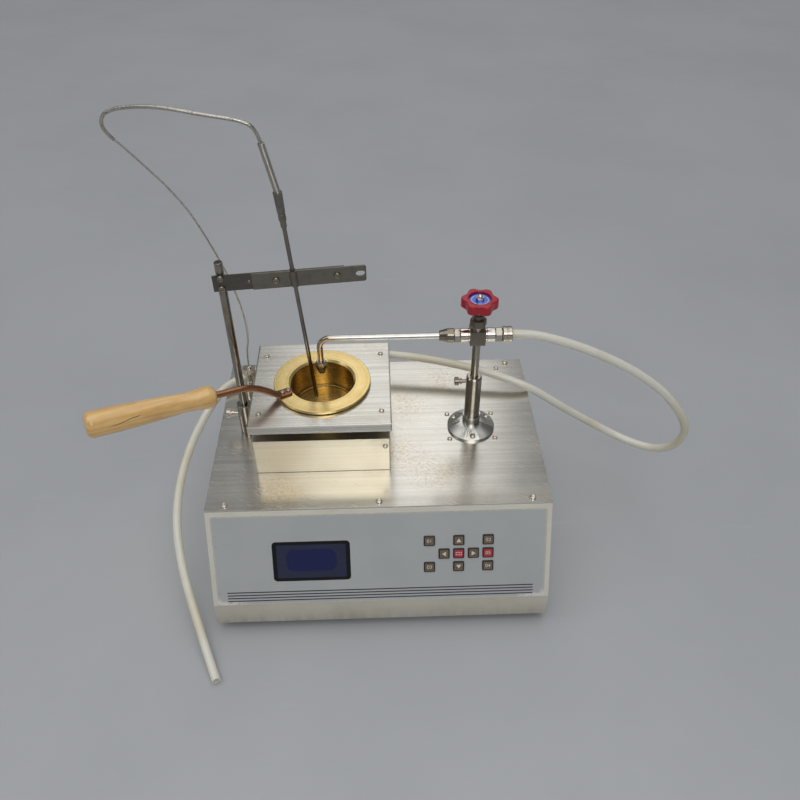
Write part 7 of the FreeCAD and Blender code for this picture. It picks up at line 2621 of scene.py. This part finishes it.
    def nozzle(self) -> Mesh:
        """The nozzle: a hexagon nut with a turned tip.

        Returns:
            The mesh.
        """
        base = PLACES.at(self.end_x, self.y, 0)
        nut = hex_nut(self.nozzle_flats, self.nozzle_high - self.nozzle_low, base + UP * self.nozzle_low,
            bore=self.tube_r + 0.05 * MM, chamfer=1.5 * MM)
        low = self.nozzle_low + 0.2 * MM
        tip = [(self.shoulder_r, low), (self.shoulder_r, self.shoulder, FULL),
            (self.nozzle_tip_r, self.nozzle_tip, FINE), (0.5 * MM, self.nozzle_tip),
            (0.5 * MM, self.nozzle_tip + 1.5 * MM)]
        return joined([nut, solid(tip, base, sides=48)])

    def make(self, fasteners: Fasteners) -> None:
        """Builds the jet.

        Args:
            fasteners: makes the screw heads and thumb screws.
        """
        soften("jet_flange", 0.3 * MM, Look.FLANGE)
        stand_in(self.sleeve(), "sweep_sleeve_turned", Look.SLEEVE, "sweep_sleeve")
        base = PLACES.at(self.x - self.sleeve_r, self.y, self.thumb_rise)
        stand_in(fasteners.thumb_screw(base, -RIGHT, Look.NICKEL_DARK), "sleeve_thumb_screw",
            Look.NICKEL_DARK, "sleeve_clamp_screw")
        self.body()
        self.fittings()
        stand_in(self.tube(), "jet_tube_bent", Look.JET_TUBE, "jet_tube", 50.0)
        stand_in(self.nozzle(), "nozzle_turned", Look.NOZZLE, "nozzle")
        dress(["sweep_motor"], Look.MOTOR)


@dataclass
class HandWheel:
    """The lobed red wheel with its blue disc and dome nut."""

    x: float = 100.0 * MM
    y: float = 111.0 * MM
    low: float = 155.4 * MM
    height: float = 10.0 * MM
    lobe_ring: float = 12.6 * MM
    lobe_r: float = 5.2 * MM
    scoop_ring: float = 25.0 * MM
    rest_turn: float = math.radians(-7)
    recess_r: float = 10.6 * MM
    recess_h: float = 3.2 * MM
    rim_r: float = 11.5 * MM
    hollow_r: float = 12.0 * MM
    web: float = 2.2 * MM
    hub_r: float = 5.0 * MM
    bore_r: float = 2.7 * MM
    disc_r: float = 10.2 * MM
    disc_t: float = 1.2 * MM
    stem_r: float = 2.6 * MM
    stem_foot: float = 118.5 * MM
    nut_flats: float = 7.0 * MM
    nut_t: float = 3.0 * MM
    dome_r: float = 2.9 * MM

    def outline(self, angle: float) -> float:
        """The wheel's radius at a turn: round lobes joined by round hollows.

        Args:
            angle: the turn.

        Returns:
            The radius.
        """
        step = TURN / HEX_SIDES
        off = abs((angle - self.rest_turn + step / 2) % step - step / 2)
        reach = math.hypot(self.lobe_ring - self.scoop_ring * math.cos(step / 2),
            self.scoop_ring * math.sin(step / 2))
        share = self.lobe_r / reach
        touch_x = self.lobe_ring + (self.scoop_ring * math.cos(step / 2) - self.lobe_ring) * share
        touch_y = self.scoop_ring * math.sin(step / 2) * share
        if off < math.atan2(touch_y, touch_x):
            side = self.lobe_ring * math.sin(off)
            return self.lobe_ring * math.cos(off) + math.sqrt(self.lobe_r ** 2 - side ** 2)
        side = self.scoop_ring * math.sin(step / 2 - off)
        return self.scoop_ring * math.cos(step / 2 - off) - math.sqrt(
            max((reach - self.lobe_r) ** 2 - side ** 2, 0.0))

    def wheel(self) -> Mesh:
        """The wheel, hollow from below, with rounded lobes and a recess for the disc.

        Returns:
            The mesh.
        """
        def inset(amount: float) -> Callable[[float], float]:
            """The outline, drawn in by an amount."""
            return lambda angle: self.outline(angle) - amount

        edge = 1.5 * MM
        turns = [TURN / 4 * k / 5 for k in range(6)]
        side = [(inset(edge * (1 - math.cos(turn))), self.height - edge + edge * math.sin(turn))
            for turn in turns]
        foot = [(inset(edge * (1 - math.sin(turn))), edge - edge * math.cos(turn)) for turn in turns]
        floor = self.height - self.recess_h
        under = floor - self.web
        rings = [(self.hollow_r - 0.4 * MM, under), (self.hollow_r, 0.4 * MM),
            (self.hollow_r + 0.4 * MM, 0.0)]
        rings += foot + side
        rings += [(self.rim_r + 0.35 * MM, self.height - 0.02 * MM),
            (self.rim_r + 0.1 * MM, self.height + 0.35 * MM),
            (self.rim_r - 0.35 * MM, self.height + 0.35 * MM),
            (self.recess_r + 0.1 * MM, self.height - 0.2 * MM), (self.recess_r, self.height - 0.6 * MM),
            (self.recess_r, floor), (self.bore_r, floor), (self.bore_r, 0.0), (self.hub_r, 0.0),
            (self.hub_r + 0.4 * MM, under)]
        return stacked(rings, PLACES.at(self.x, self.y, self.low), sides=144, closed=True)

    def make(self) -> None:
        """Builds the wheel."""
        base = PLACES.at(self.x, self.y, self.low)
        stand_in(self.wheel(), "handwheel_moulded", Look.RED, "handwheel", 40.0)
        floor = self.height - self.recess_h
        top = floor + self.disc_t
        disc = [(self.bore_r, floor), (self.disc_r, floor), (self.disc_r, top, EDGE), (self.bore_r, top)]
        stand_in(turned(disc, base, sides=96, closed=True), "wheel_disc_printed", Look.BLUE, "wheel_disc")
        foot = self.stem_foot - self.low
        dome = [(self.dome_r * math.cos(turn), top + self.nut_t + self.dome_r * math.sin(turn))
            for turn in [TURN / 4 * k / 8 for k in range(9)]]
        nut = hex_nut(self.nut_flats, self.nut_t, base + UP * top, chamfer=0.45 * MM)
        stem = stacked([(0.0, foot), (self.stem_r / 2, foot), (self.stem_r, foot + self.stem_r),
            (self.stem_r, top), (0.0, top)], base, sides=48)
        cap = stacked([(0.0, top + self.nut_t - 0.2 * MM), (self.dome_r, top + self.nut_t - 0.2 * MM),
            *dome], base, sides=48)
        stand_in(joined([nut, stem, cap]), "valve_stem_nut", Look.NICKEL, "valve_stem")


@dataclass
class MainsInlet:
    """The mains inlet and its switch on the back."""

    inlet_edge: float = 0.35 * MM
    rocker_edge: float = 0.4 * MM

    def make(self) -> None:
        """Builds the inlet and the rocker."""
        soften("power_inlet", self.inlet_edge, Look.INLET, outer_edges("power_inlet", 1))
        soften("power_rocker", self.rocker_edge, Look.ROCKER)


def main() -> None:
    """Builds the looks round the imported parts."""
    logging.basicConfig(level=logging.INFO, format="%(message)s")
    fasteners = Fasteners()
    stand = ProbeStand()
    Studio().make()
    CaseWork().make(fasteners)
    FrontPanel().make()
    Heater().make(fasteners)
    TestCup().make(fasteners)
    stand.make(fasteners)
    Probe().make(stand)
    plug = LeadSocket().make(fasteners)
    GasJet().make(fasteners)
    HandWheel().make()
    MainsInlet().make()
    Cords().make(plug)


if __name__ == "__main__":
    main()
